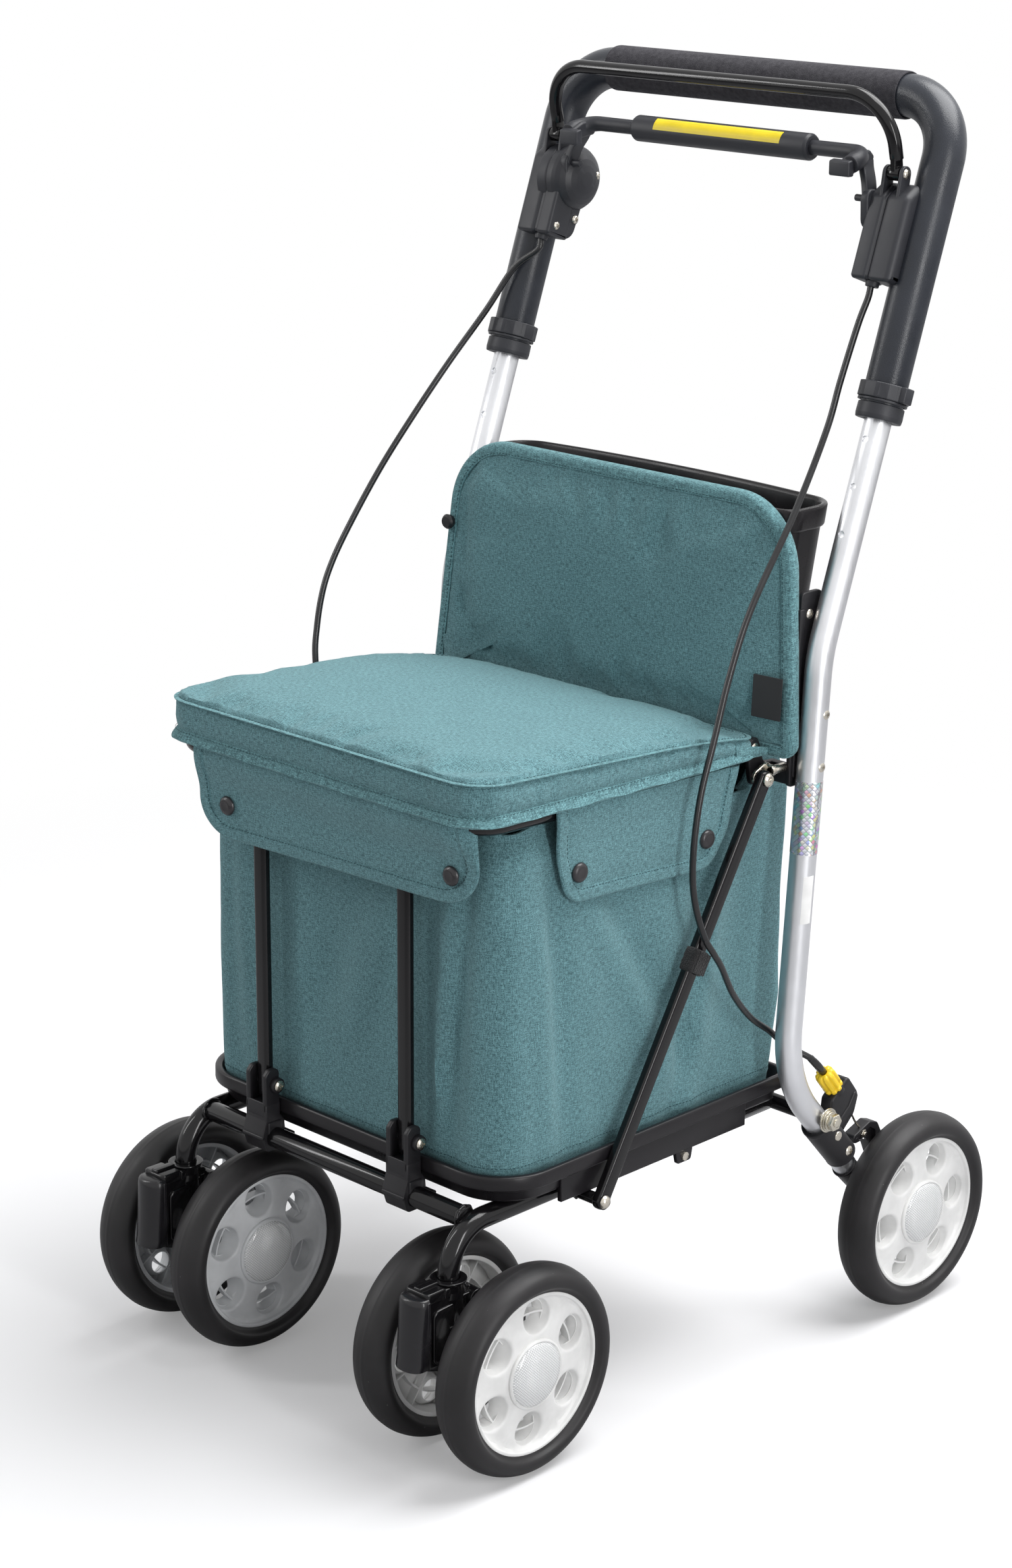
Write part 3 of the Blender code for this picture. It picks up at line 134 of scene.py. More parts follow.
def panOutline(halfWidth, front, rear, frontRadius, rearRadius, steps=10, sideSteps=0):
    # round a rectangle, from the rear right corner; sideSteps adds points along the straight sides
    outline = []
    for cx, cy, r, start in ((halfWidth - rearRadius, rear - rearRadius, rearRadius, 0),
                             (rearRadius - halfWidth, rear - rearRadius, rearRadius, 90),
                             (frontRadius - halfWidth, front + frontRadius, frontRadius, 180),
                             (halfWidth - frontRadius, front + frontRadius, frontRadius, 270)):
        arc = [(cx + r * math.cos(math.radians(start + 90 * k / steps)),
                cy + r * math.sin(math.radians(start + 90 * k / steps))) for k in range(steps + 1)]
        if outline and sideSteps:
            outline += between(outline[-1], arc[0], sideSteps)
        outline += arc
    if sideSteps:
        outline += between(outline[-1], outline[0], sideSteps)
    return outline


def between(a, b, count):
    return [(a[0] + (b[0] - a[0]) * k / (count + 1), a[1] + (b[1] - a[1]) * k / (count + 1))
            for k in range(1, count + 1)]


def smoothRoute(points, count):
    # evenly spaced points on a smooth curve through the given ones
    points = [Vector(p) for p in points]
    padded = [points[0] * 2 - points[1]] + points + [points[-1] * 2 - points[-2]]
    fine = []
    for i in range(1, len(padded) - 2):
        p0, p1, p2, p3 = padded[i - 1:i + 3]
        for k in range(16):
            t = k / 16
            fine.append(0.5 * (2 * p1 + (p2 - p0) * t + (2 * p0 - 5 * p1 + 4 * p2 - p3) * t ** 2
                               + (3 * p1 - p0 - 3 * p2 + p3) * t ** 3))
    fine.append(points[-1])
    fine = np.array([tuple(p) for p in fine])
    length = np.concatenate(([0.0], np.cumsum(np.linalg.norm(np.diff(fine, axis=0), axis=1))))
    at = np.linspace(0, length[-1], count)
    return np.stack([np.interp(at, length, fine[:, k]) for k in range(3)], axis=1)


def sweep(points, radius, sides=24, closed=False, radii=None, outline=None, up=None, soft=0.0, paint=0):
    # a round tube, or any flat outline, carried along the points
    route = np.array([tuple(p) for p in points], float)
    scale = np.ones(len(route)) if radii is None else np.array(radii, float)
    if soft and not closed:
        headings = [route[0] - route[1], route[-1] - route[-2]]
        headings = [h / np.linalg.norm(h) for h in headings]
        ease = 1 - soft / radius
        route = np.vstack([route[0], route[0] - headings[0] * soft * 0.3, route[0] - headings[0] * soft, route[1:-1],
                           route[-1] - headings[1] * soft, route[-1] - headings[1] * soft * 0.3, route[-1]])
        scale = np.concatenate(([scale[0] * ease, scale[0] * (1 - 0.3 * soft / radius), scale[0]], scale[1:-1],
                                [scale[-1], scale[-1] * (1 - 0.3 * soft / radius), scale[-1] * ease]))
    count = len(route)
    if closed:
        ahead = np.roll(route, -1, 0) - np.roll(route, 1, 0)
    else:
        ahead = np.gradient(route, axis=0)
    ahead /= np.linalg.norm(ahead, axis=1)[:, None]
    normals = np.zeros_like(route)
    if up is not None:
        normals[:] = np.array(up, float)
    else:
        normals[0] = (0, 0, 1) if abs(ahead[0][2]) < 0.9 else (1, 0, 0)
    for i in range(count):
        if up is None and i:
            normals[i] = normals[i - 1]
        normals[i] -= ahead[i] * np.dot(normals[i], ahead[i])
        normals[i] /= np.linalg.norm(normals[i])
    sideways = np.cross(ahead, normals)
    shape = np.array(outline or circleOutline(radius, sides), float)
    verts = []
    for i in range(count):
        verts.extend(route[i] + scale[i] * (shape[:, :1] * sideways[i] + shape[:, 1:] * normals[i]))
    sides = len(shape)
    faces = []
    for i in range(count if closed else count - 1):
        a, b = i * sides, ((i + 1) % count) * sides
        faces += [(a + k, a + (k + 1) % sides, b + (k + 1) % sides, b + k) for k in range(sides)]
    if not closed:
        faces += [tuple(range(sides)), tuple(range((count - 1) * sides, count * sides))]
    return verts, faces, spread(paint, len(faces))


def rod(start, end, radius, endRadius=None, sides=32, soft=0.0004, paint=0):
    ends = [Vector(start), Vector(end)]
    scale = [1.0, (endRadius or radius) / radius]
    return sweep(ends, radius, sides, radii=scale, soft=soft, paint=paint)


def sideRod(x0, x1, centre, radius, sides=32, soft=0.0004, paint=0):
    return rod((x0, *centre), (x1, *centre), radius, sides=sides, soft=soft, paint=paint)


def lathe(profile, place=None, steps=64, closed=False, paint=0):
    # (radius, height) points turned about local Z; a radius of 0 makes a pole
    verts, rings = [], []
    for r, h in profile:
        if r < 1e-7:
            rings.append([len(verts)] * steps)
            verts.append(Vector((0, 0, h)))
            continue
        rings.append(list(range(len(verts), len(verts) + steps)))
        verts += [Vector((r * math.cos(2 * math.pi * k / steps), r * math.sin(2 * math.pi * k / steps), h))
                  for k in range(steps)]
    faces = []
    count = len(rings)
    for i in range(count if closed else count - 1):
        a, b = rings[i], rings[(i + 1) % count]
        for k in range(steps):
            quad = (a[k], a[(k + 1) % steps], b[(k + 1) % steps], b[k])
            kept = tuple(dict.fromkeys(quad))
            if len(kept) > 2:
                faces.append(kept)
    if not closed:
        faces += [tuple(r) for r in (rings[0], rings[-1]) if len(set(r)) > 1]
    return moved((verts, faces, spread(paint, len(faces))), place)


def roundProfile(points, radius, steps=5, closed=False):
    # a lathe profile with its inner corners rounded
    if closed:
        return roundedOutline(points, radius, steps)
    path = [Vector((*p, 0)) for p in points]
    return [(p.x, p.y) for p in roundedPath(path, radius, steps)]


def roundedPath(path, radius, steps):
    # as filletPath, but each radius gives way where its runs are short
    made = [path[0]]
    for i in range(1, len(path) - 1):
        before, after = path[i - 1] - path[i], path[i + 1] - path[i]
        half = before.angle(after) / 2
        if half > 1.55:
            made.append(path[i])
            continue
        reach = min(radius / math.tan(half), before.length * 0.48, after.length * 0.48)
        size = reach * math.tan(half)
        middle = path[i] + (before.normalized() + after.normalized()).normalized() * (size / math.sin(half))
        first = path[i] + before.normalized() * reach - middle
        last = path[i] + after.normalized() * reach - middle
        turn = first.angle(last)
        made += [middle + (first * math.sin((1 - k / steps) * turn)
                           + last * math.sin(k / steps * turn)) / math.sin(turn)
                 for k in range(steps + 1)]
    made.append(path[-1])
    return made


def insetOutline(outline, distance):
    shape = np.array(outline, float)
    before = shape - np.roll(shape, 1, 0)
    after = np.roll(shape, -1, 0) - shape
    before /= np.maximum(np.linalg.norm(before, axis=1), 1e-12)[:, None]
    after /= np.maximum(np.linalg.norm(after, axis=1), 1e-12)[:, None]
    area = np.sum(shape[:, 0] * np.roll(shape[:, 1], -1) - shape[:, 1] * np.roll(shape[:, 0], -1))
    inwardA = np.stack([-before[:, 1], before[:, 0]], 1)
    inwardB = np.stack([-after[:, 1], after[:, 0]], 1)
    way = inwardA + inwardB
    way /= np.maximum((np.linalg.norm(way, axis=1) ** 2 / 2), 0.4)[:, None]
    return shape + way * distance * (1 if area > 0 else -1)


def slab(outline, thickness, place=None, soft=0.0006, holes=(), paint=0, edgeSteps=3):
    # a flat outline with holes and soft edges, half the thickness to each side of its plane
    soft = min(soft, thickness * 0.45)
    levels = []
    for k in range(edgeSteps + 1):
        a = math.pi / 2 * k / edgeSteps
        levels.append((-thickness / 2 + soft * (1 - math.cos(a)), soft * (1 - math.sin(a))))
    levels += [(-h, inset) for h, inset in reversed(levels)]
    verts, faces = [], []
    loops = [outline, *holes]
    grids = []
    for n, loop in enumerate(loops):
        grid = []
        for h, inset in levels:
            ring = insetOutline(loop, inset if n == 0 else -inset)
            grid.append(list(range(len(verts), len(verts) + len(ring))))
            verts += [Vector((u, v, h)) for u, v in ring]
        for a, b in zip(grid, grid[1:]):
            faces += [(a[k], a[(k + 1) % len(a)], b[(k + 1) % len(a)], b[k]) for k in range(len(a))]
        grids.append(grid)
    for level in (0, -1):
        index = [i for grid in grids for i in grid[level]]
        caps = tessellate_polygon([[verts[i] for i in grid[level]] for grid in grids])
        faces += [tuple(index[k] for k in tri) for tri in caps]
    return moved((verts, faces, spread(paint, len(faces))), place)


def block(low, high, soft=0.001, turn=None, corner=None, paint=0, steps=5):
    low, high = Vector(low), Vector(high)
    size = high - low
    outline = roundedOutline(((-size.x / 2, -size.y / 2), (size.x / 2, -size.y / 2), (size.x / 2, size.y / 2),
                              (-size.x / 2, size.y / 2)), corner or soft, steps)
    place = Matrix.Translation((low + high) / 2)
    return slab(outline, size.z, turn @ place if turn is not None else place, soft, paint=paint)


def sideBlock(sign, low, high, soft=0.001):
    # a block given for the right side, put on the side that the sign names
    near, far = sorted((sign * low[0], sign * high[0]))
    return block((near, *low[1:]), (far, *high[1:]), soft)


def loft(rings, capped=True, closed=False, paint=0):
    # skin over rings of equal point counts
    verts = [Vector(p) for ring in rings for p in ring]
    n = len(rings[0])
    faces = []
    for i in range(len(rings) if closed else len(rings) - 1):
        a, b = i * n, ((i + 1) % len(rings)) * n
        faces += [(a + k, a + (k + 1) % n, b + (k + 1) % n, b + k) for k in range(n)]
    if capped and not closed:
        faces += [tuple(range(n)), tuple(range(len(verts) - n, len(verts)))]
    return verts, faces, spread(paint, len(faces))


def gridSkin(rows, paint=0, loop=False):
    # skin over rows of points, open at its edges, or joined round when loop is set
    verts = [Vector(p) for row in rows for p in row]
    n = len(rows[0])
    faces = []
    for i in range(len(rows) - 1):
        for k in range(n if loop else n - 1):
            faces.append((i * n + k, i * n + (k + 1) % n, (i + 1) * n + (k + 1) % n, (i + 1) * n + k))
    return verts, faces, spread(paint, len(faces))


def taken(thing):
    # a helper object as a shell, with its modifiers worked in
    bpy.context.view_layer.update()
    mesh = bpy.data.meshes.new_from_object(thing.evaluated_get(bpy.context.evaluated_depsgraph_get()))
    verts = [thing.matrix_world @ v.co for v in mesh.vertices]
    faces = [tuple(p.vertices) for p in mesh.polygons]
    mark = mesh.attributes.get("paintMark")
    paint = [d.value for d in mark.data] if mark else [p.material_index for p in mesh.polygons]
    old = thing.data
    bpy.data.objects.remove(thing, do_unlink=True)
    bpy.data.meshes.remove(old)
    bpy.data.meshes.remove(mesh)
    return verts, faces, paint


def helper(shell, name="helper"):
    mesh = bpy.data.meshes.new(name)
    mesh.from_pydata([tuple(v) for v in shell[0]], [], shell[1])
    edit = bmesh.new()
    edit.from_mesh(mesh)
    for face, paint in zip(edit.faces, shell[2]):
        face.material_index = paint
    bmesh.ops.remove_doubles(edit, verts=edit.verts, dist=1e-6)
    bmesh.ops.recalc_face_normals(edit, faces=edit.faces)
    edit.to_mesh(mesh)
    edit.free()
    thing = bpy.data.objects.new(name, mesh)
    bpy.context.collection.objects.link(thing)
    for k in range(max(shell[2]) + 1):
        mesh.materials.append(bpy.data.materials.get("spare%d" % k) or bpy.data.materials.new("spare%d" % k))
    return thing


def carved(shell, *cutters, bevel=0.0, operation="DIFFERENCE"):
    # the shell with the cutters taken out; the cutters' paint stays on the faces that they leave
    body, tool = helper(shell, "body"), helper(joined(cutters), "tool")
    step = body.modifiers.new("cut", "BOOLEAN")
    step.operation = operation
    step.solver = "EXACT"
    step.material_mode = "TRANSFER"
    step.object = tool
    bpy.context.view_layer.update()
    tried = body.evaluated_get(bpy.context.evaluated_depsgraph_get()).to_mesh()
    if len(tried.polygons) < 4:
        step.solver = "FAST"
    if bevel:
        edge = body.modifiers.new("edge", "BEVEL")
        edge.width = bevel
        edge.segments = 2
        edge.limit_method = "ANGLE"
        edge.angle_limit = math.radians(40)
    made = taken(body)
    old = tool.data
    bpy.data.objects.remove(tool, do_unlink=True)
    bpy.data.meshes.remove(old)
    return made


def moved(shell, place):
    if place is None:
        return shell
    return [place @ Vector(v) for v in shell[0]], shell[1], shell[2]


def mirrored(shell):
    return [Vector((-v[0], v[1], v[2])) for v in shell[0]], [tuple(reversed(f)) for f in shell[1]], shell[2]


def forSide(shells, sign):
    return shells if sign > 0 else [mirrored(s) for s in shells]


def joined(shells):
    verts, faces, paint = [], [], []
    for shell in shells:
        start = len(verts)
        verts += [tuple(v) for v in shell[0]]
        faces += [tuple(i + start for i in f) for f in shell[1]]
        paint += list(shell[2])
    return verts, faces, paint


def painted(shell, paint):
    return shell[0], shell[1], [paint] * len(shell[1])


def sidePlane(x):
    # outline axes are Y and Z, the thickness is along X
    return Matrix(((0, 0, 1, x), (1, 0, 0, 0), (0, 1, 0, 0), (0, 0, 0, 1)))


def facing(x, centre=(0.0, 0.0), side=1):
    # local Z points out to the given side along X
    return Matrix(((0, 0, side, x), (side, 0, 0, centre[0]), (0, 1, 0, centre[1]), (0, 0, 0, 1)))


def aimed(point, heading):
    return Matrix.Translation(Vector(point)) @ Vector(heading).to_track_quat("Z", "Y").to_matrix().to_4x4()


def finishPiece(name, shells, body, looks, replaces=(), sharp=35, shift=True, loose=False):
    # shells joined into one mesh at the origin, riding on its CAD body
    verts, faces, paint = joined(shells)
    offset = rowShift if shift else Vector()
    mesh = bpy.data.meshes.new(name)
    mesh.from_pydata([tuple(Vector(v) + offset) for v in verts], [], faces)
    edit = bmesh.new()
    edit.from_mesh(mesh)
    for face, number in zip(edit.faces, paint):
        face.material_index = number
    bmesh.ops.remove_doubles(edit, verts=edit.verts, dist=2e-7)
    bmesh.ops.dissolve_degenerate(edit, edges=edit.edges, dist=1e-8)
    if not loose:
        bmesh.ops.recalc_face_normals(edit, faces=edit.faces)
    edit.to_mesh(mesh)
    edit.free()
    return rigged(mesh, name, body, looks, replaces, sharp)


def rigged(mesh, name, body, looks, replaces=(), sharp=35):
    mesh.materials.clear()
    for look in (looks if isinstance(looks, (list, tuple)) else [looks]):
        mesh.materials.append(look)
    mesh.shade_smooth()
    mesh.set_sharp_from_angle(angle=math.radians(sharp))
    piece = bpy.data.objects.new(name, mesh)
    bpy.context.scene.collection.objects.link(piece)
    if body:
        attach(piece, body)
    if replaces:
        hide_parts(*replaces)
    return piece


def weaveMap(mesh, skew=0.0):
    # the cloth's own map in metres: each face is laid flat along its nearest axis
    normals = np.zeros(len(mesh.polygons) * 3)
    mesh.polygons.foreach_get("normal", normals)
    axis = np.argmax(np.abs(normals.reshape(-1, 3)) + np.array((0.0, 0.001, 0.002)), axis=1)
    points = np.zeros(len(mesh.vertices) * 3)
    mesh.vertices.foreach_get("co", points)
    points = points.reshape(-1, 3)
    corners = np.zeros(len(mesh.loops), int)
    mesh.loops.foreach_get("vertex_index", corners)
    totals = np.zeros(len(mesh.polygons), int)
    mesh.polygons.foreach_get("loop_total", totals)
    ofFace = np.repeat(axis, totals)
    p = points[corners]
    u = np.where(ofFace == 0, p[:, 1], p[:, 0])
    v = np.where(ofFace == 2, p[:, 1], p[:, 2])
    layer = mesh.uv_layers.get("weave") or mesh.uv_layers.new(name="weave")
    layer.data.foreach_set("uv", np.stack([u + skew * v, v - skew * u], 1).ravel())
    mesh.uv_layers.active = layer


# ---- finishes

def tone(r, g, b):
    # a screen colour, 0 to 255, as Blender's linear numbers
    return tuple(c / 12.92 if c <= 0.04045 else ((c + 0.055) / 1.055) ** 2.4
                 for c in (r / 255, g / 255, b / 255)) + (1.0,)


def newLook(name, colour, rough, metal=0.0, **sockets):
    look = bpy.data.materials.new(name)
    look.use_nodes = True
    shader = look.node_tree.nodes["Principled BSDF"]
    shader.inputs["Base Color"].default_value = colour
    shader.inputs["Roughness"].default_value = rough
    shader.inputs["Metallic"].default_value = metal
    for key, value in sockets.items():
        shader.inputs[key.replace("_", " ")].default_value = value
    look.diffuse_color = colour
    return look, look.node_tree, shader


def node(tree, kind, settings=None, **inputs):
    made = tree.nodes.new(kind)
    for key, value in (settings or {}).items():
        setattr(made, key, value)
    for key, value in inputs.items():
        byNumber = key[0] == "i" and key[1:].isdigit()
        socket = made.inputs[int(key[1:]) if byNumber else key.replace("_", " ")]
        if isinstance(value, bpy.types.NodeSocket):
            tree.links.new(value, socket)
        else:
            socket.default_value = value
    return made


def sums(tree, operation, a, b=0.0, c=0.0):
    return node(tree, "ShaderNodeMath", {"operation": operation}, i0=a, i1=b, i2=c).outputs[0]


def objectSpot(tree, scale=(1, 1, 1)):
    spot = node(tree, "ShaderNodeTexCoord").outputs["Object"]
    if scale == (1, 1, 1):
        return spot
    return node(tree, "ShaderNodeMapping", Vector=spot, Scale=scale).outputs[0]


def noiseOn(tree, spot, scale, detail=3.0, rough=0.55):
    return node(tree, "ShaderNodeTexNoise", Vector=spot, Scale=scale, Detail=detail, Roughness=rough).outputs["Fac"]


def ranged(tree, value, low, high, fromLow=0.0, fromHigh=1.0):
    return node(tree, "ShaderNodeMapRange", Value=value, From_Min=fromLow, From_Max=fromHigh, To_Min=low,
                To_Max=high).outputs[0]


def mixedColour(tree, share, a, b, blend="MIX"):
    mix = node(tree, "ShaderNodeMix", {"data_type": "RGBA", "blend_type": blend})
    for socket, value in ((mix.inputs[0], share), (mix.inputs[6], a), (mix.inputs[7], b)):
        if isinstance(value, bpy.types.NodeSocket):
            tree.links.new(value, socket)
        else:
            socket.default_value = value
    return mix.outputs[2]


def bumped(tree, shader, height, strength, distance, socket="Normal"):
    bump = node(tree, "ShaderNodeBump", Height=height, Strength=strength, Distance=distance)
    tree.links.new(bump.outputs[0], shader.inputs[socket])


def grainedLook(name, colour, rough, metal=0.0, grain=900.0, depth=0.00006, patch=0.06, worn=0.0, **sockets):
    # a moulded or painted finish: fine grain, uneven gloss and, where worn is set, paler rubbed edges
    look, tree, shader = newLook(name, colour, rough, metal, **sockets)
    spot = objectSpot(tree)
    patches = noiseOn(tree, spot, 38.0)
    tree.links.new(ranged(tree, patches, rough - patch, rough + patch, 0.3, 0.7), shader.inputs["Roughness"])
    bumped(tree, shader, noiseOn(tree, spot, grain, 2.0), 0.6, depth)
    darker = tuple(c * 0.86 for c in colour[:3]) + (1.0,)
    shade = mixedColour(tree, ranged(tree, patches, 0.0, 1.0, 0.35, 0.65), darker, colour)
    if worn:
        edge = node(tree, "ShaderNodeNewGeometry").outputs["Pointiness"]
        rubbed = sums(tree, "MULTIPLY", ranged(tree, edge, 0.0, worn, 0.52, 0.6), noiseOn(tree, spot, 240.0))
        paler = tuple(min(1.0, c * 2.2 + 0.02) for c in colour[:3]) + (1.0,)
        shade = mixedColour(tree, rubbed, shade, paler)
    tree.links.new(shade, shader.inputs["Base Color"])
    return look


def brushedLook(name, colour, rough, stretch=(1, 1, 0.04), scale=1400.0, **sockets):
    # drawn metal: fine streaks along the piece
    look, tree, shader = newLook(name, colour, rough, 1.0, **sockets)
    streaks = noiseOn(tree, objectSpot(tree, stretch), scale, 2.0)
    tree.links.new(ranged(tree, streaks, rough - 0.05, rough + 0.09, 0.3, 0.7), shader.inputs["Roughness"])
    bumped(tree, shader, streaks, 0.25, 0.00002)
    cloudy = noiseOn(tree, objectSpot(tree), 14.0)
    dull = tuple(c * 0.88 for c in colour[:3]) + (1.0,)
    tree.links.new(mixedColour(tree, ranged(tree, cloudy, 0.0, 1.0, 0.35, 0.65), dull, colour),
                   shader.inputs["Base Color"])
    return look


clothSettings = {
    "thread": 0.00072,      # width of one thread with its gap
    "depth": 0.0002,
    "pale": tone(120, 166, 173),
    "deep": tone(58, 90, 96),
    "hemPale": tone(118, 165, 171),
    "hemDeep": tone(64, 98, 104),
}


def clothLook(name, pale, deep, thread=None, twill=False):
    # plain weave of mixed yarn on the piece's own map: warp and weft each vary along their threads
    look, tree, shader = newLook(name, pale, 0.86, Sheen_Weight=0.25, Sheen_Roughness=0.6, Specular_IOR_Level=0.25)
    shader.inputs["Sheen Tint"].default_value = tone(190, 215, 216)
    thread = thread or clothSettings["thread"]
    place = node(tree, "ShaderNodeUVMap", {"uv_map": "weave"}).outputs[0]
    wander = node(tree, "ShaderNodeTexNoise", Vector=place, Scale=46.0, Detail=1.0)
    drift = node(tree, "ShaderNodeVectorMath", {"operation": "SCALE"}, i0=wander.outputs["Color"], Scale=thread * 1.6)
    place = node(tree, "ShaderNodeVectorMath", {"operation": "ADD"}, i0=place, i1=drift.outputs[0]).outputs[0]
    threads = node(tree, "ShaderNodeMapping", Vector=place, Scale=(1 / thread, 1 / thread, 1)).outputs[0]
    if twill:
        threads = node(tree, "ShaderNodeMapping", Vector=threads, Rotation=(0, 0, math.radians(38)),
                       Scale=(0.45, 1.2, 1)).outputs[0]
    part = node(tree, "ShaderNodeSeparateXYZ", Vector=threads)
    across, along = part.outputs[0], part.outputs[1]
    board = node(tree, "ShaderNodeTexChecker", Vector=threads, Scale=1.0).outputs["Fac"]
    roundA = sums(tree, "ABSOLUTE", sums(tree, "SINE", sums(tree, "MULTIPLY", across, math.pi)))
    roundB = sums(tree, "ABSOLUTE", sums(tree, "SINE", sums(tree, "MULTIPLY", along, math.pi)))
    over = sums(tree, "MULTIPLY", sums(tree, "POWER", roundA, 0.7), ranged(tree, roundB, 0.55, 1.0))
    under = sums(tree, "MULTIPLY", sums(tree, "POWER", roundB, 0.7), ranged(tree, roundA, 0.55, 1.0))
    height = node(tree, "ShaderNodeMix", {"data_type": "FLOAT"}, i0=board, i2=over, i3=under).outputs[0]
    warp = noiseOn(tree,
                   node(tree, "ShaderNodeMapping", Vector=place, Scale=(1 / thread, 0.22 / thread, 1)).outputs[0],
                   0.83, 2.0, 0.7)
    weft = noiseOn(tree, node(tree, "ShaderNodeMapping", Vector=place, Location=(3.1, 1.7, 0),
                              Scale=(0.22 / thread, 1 / thread, 1)).outputs[0], 0.83, 2.0, 0.7)
    yarn = node(tree, "ShaderNodeMix", {"data_type": "FLOAT"}, i0=board, i2=warp, i3=weft).outputs[0]
    patches = noiseOn(tree, place, 30.0, 4.0, 0.6)
    share = sums(tree, "ADD", ranged(tree, yarn, -0.15, 1.15, 0.34, 0.66),
                 ranged(tree, patches, -0.05, 0.05, 0.3, 0.7))
    # painted shade and light in the weave: the colour share drops where a thread dips under its neighbour and rises
    # on its crown
    threadShadeShare = sums(tree, "MULTIPLY", share, ranged(tree, height, 0.45, 1.12))
    clamp = node(tree, "ShaderNodeClamp", Value=threadShadeShare).outputs[0]
    tree.links.new(mixedColour(tree, clamp, deep, pale), shader.inputs["Base Color"])
    bumped(tree, shader, height, 0.55, clothSettings["depth"])
    return look


looks = {}


def makeLooks():
    looks["enamel"] = grainedLook("blackEnamel", tone(18, 17, 19), 0.14, 0.0, 420.0, 0.00002, 0.03,
                                  Specular_IOR_Level=0.36)
    looks["satinPaint"] = grainedLook("satinCharcoalPaint", tone(43, 46, 53), 0.31, 0.0, 1100.0, 0.0002, 0.05,
                                      Specular_IOR_Level=0.4)
    looks["moulded"] = grainedLook("mouldedBlack", tone(28, 27, 30), 0.42, 0.0, 1300.0, 0.00007, 0.06, worn=0.4,
                                   Specular_IOR_Level=0.35)
    looks["caseBlack"] = grainedLook("casePlastic", tone(42, 43, 48), 0.46, 0.0, 1600.0, 0.0001, 0.05, worn=0.4,
                                     Specular_IOR_Level=0.4)
    looks["trayBlack"] = grainedLook("trayPlastic", tone(28, 26, 29), 0.33, 0.0, 700.0, 0.00005, 0.06,
                                     Specular_IOR_Level=0.3)
    looks["binBlack"] = grainedLook("binPlastic", tone(30, 28, 30), 0.26, 0.0, 500.0, 0.00003, 0.05,
                                    Specular_IOR_Level=0.25)
    looks["capBlack"] = grainedLook("capPlastic", tone(28, 27, 30), 0.24, 0.0, 1200.0, 0.00005, 0.05,
                                    Specular_IOR_Level=0.42)
    # painted shade: near-black walls for holes and bores stand in for the shade inside the hollow tubes; the warning
    # strip's two thin lines use it too
    looks["inside"] = grainedLook("darkInside", tone(14, 14, 15), 0.8, 0.0, 500.0, 0.00005, 0.05)
    looks["silver"] = brushedLook("anodisedTube", tone(230, 231, 234), 0.36)
    looks["zinc"] = brushedLook("zincPlated", tone(206, 200, 188), 0.24, (1, 1, 1), 700.0)
    looks["brass"] = brushedLook("yellowZinc", tone(204, 199, 186), 0.26, (1, 1, 1), 700.0)
    looks["hubWhite"] = grainedLook("hubWhite", tone(234, 234, 233), 0.36, 0.0, 500.0, 0.00002, 0.03,
                                    Specular_IOR_Level=0.35)
    # painted shade: a greyer copy of the white hub for the front left pair, whose faces lie in shade
    looks["hubGrey"] = grainedLook("hubGrey", tone(214, 216, 218), 0.34, 0.0, 500.0, 0.00002, 0.03)
    looks["yellow"] = grainedLook("yellowPlastic", tone(246, 208, 40), 0.38, 0.0, 700.0, 0.00004, 0.05)
    looks["yellowStrip"] = grainedLook("yellowFilm", tone(242, 216, 36), 0.42, 0.0, 600.0, 0.00003, 0.06)
    looks["sheath"] = grainedLook("cableSheath", tone(28, 28, 30), 0.26, 0.0, 900.0, 0.00003, 0.05)
    looks["snap"] = grainedLook("snapCap", tone(40, 38, 41), 0.3, 0.0, 800.0, 0.00004, 0.06, worn=0.4)
    # real thread, darkened below the cloth as painted shade: its dark line stands in for the shade in the seam
    # grooves
    looks["thread"] = grainedLook("sewingThread", tone(30, 66, 72), 0.8, 0.0, 4000.0, 0.0001, 0.05)
    looks["label"] = grainedLook("wovenTag", tone(24, 24, 27), 0.7, 0.0, 2600.0, 0.0001, 0.05)
    looks["paper"] = grainedLook("paperLabel", tone(250, 250, 249), 0.55, 0.0, 900.0, 0.00002, 0.04)
    looks["cloth"] = clothLook("tealWeave", clothSettings["pale"], clothSettings["deep"])
    looks["hem"] = clothLook("tealBinding", clothSettings["hemPale"], clothSettings["hemDeep"], 0.0012, twill=True)
    looks["rubber"] = rubberLook()
    looks["foam"] = foamLook()
    looks["lens"] = lensLook()
    looks["fuzz"] = fuzzLook()
    looks["prism"] = prismLook()


def rubberLook():
    look, tree, shader = newLook("tyreRubber", tone(38, 36, 37), 0.36, Specular_IOR_Level=0.34)
    spot = objectSpot(tree)
    dust = noiseOn(tree, spot, 22.0, 5.0, 0.65)
    specks = node(tree, "ShaderNodeTexVoronoi", Vector=spot, Scale=85.0, Randomness=1.0).outputs["Distance"]
    speck = sums(tree, "MULTIPLY", sums(tree, "LESS_THAN", specks, 0.045), 0.35)
    shade = mixedColour(tree, ranged(tree, dust, 0.0, 1.0, 0.4, 0.75), tone(32, 31, 32), tone(42, 40, 42))
    tree.links.new(mixedColour(tree, speck, shade, tone(120, 118, 116)), shader.inputs["Base Color"])
    tree.links.new(ranged(tree, dust, 0.4, 0.56, 0.3, 0.7), shader.inputs["Roughness"])
    bumped(tree, shader, noiseOn(tree, spot, 900.0, 2.0), 0.4, 0.00005)
    return look


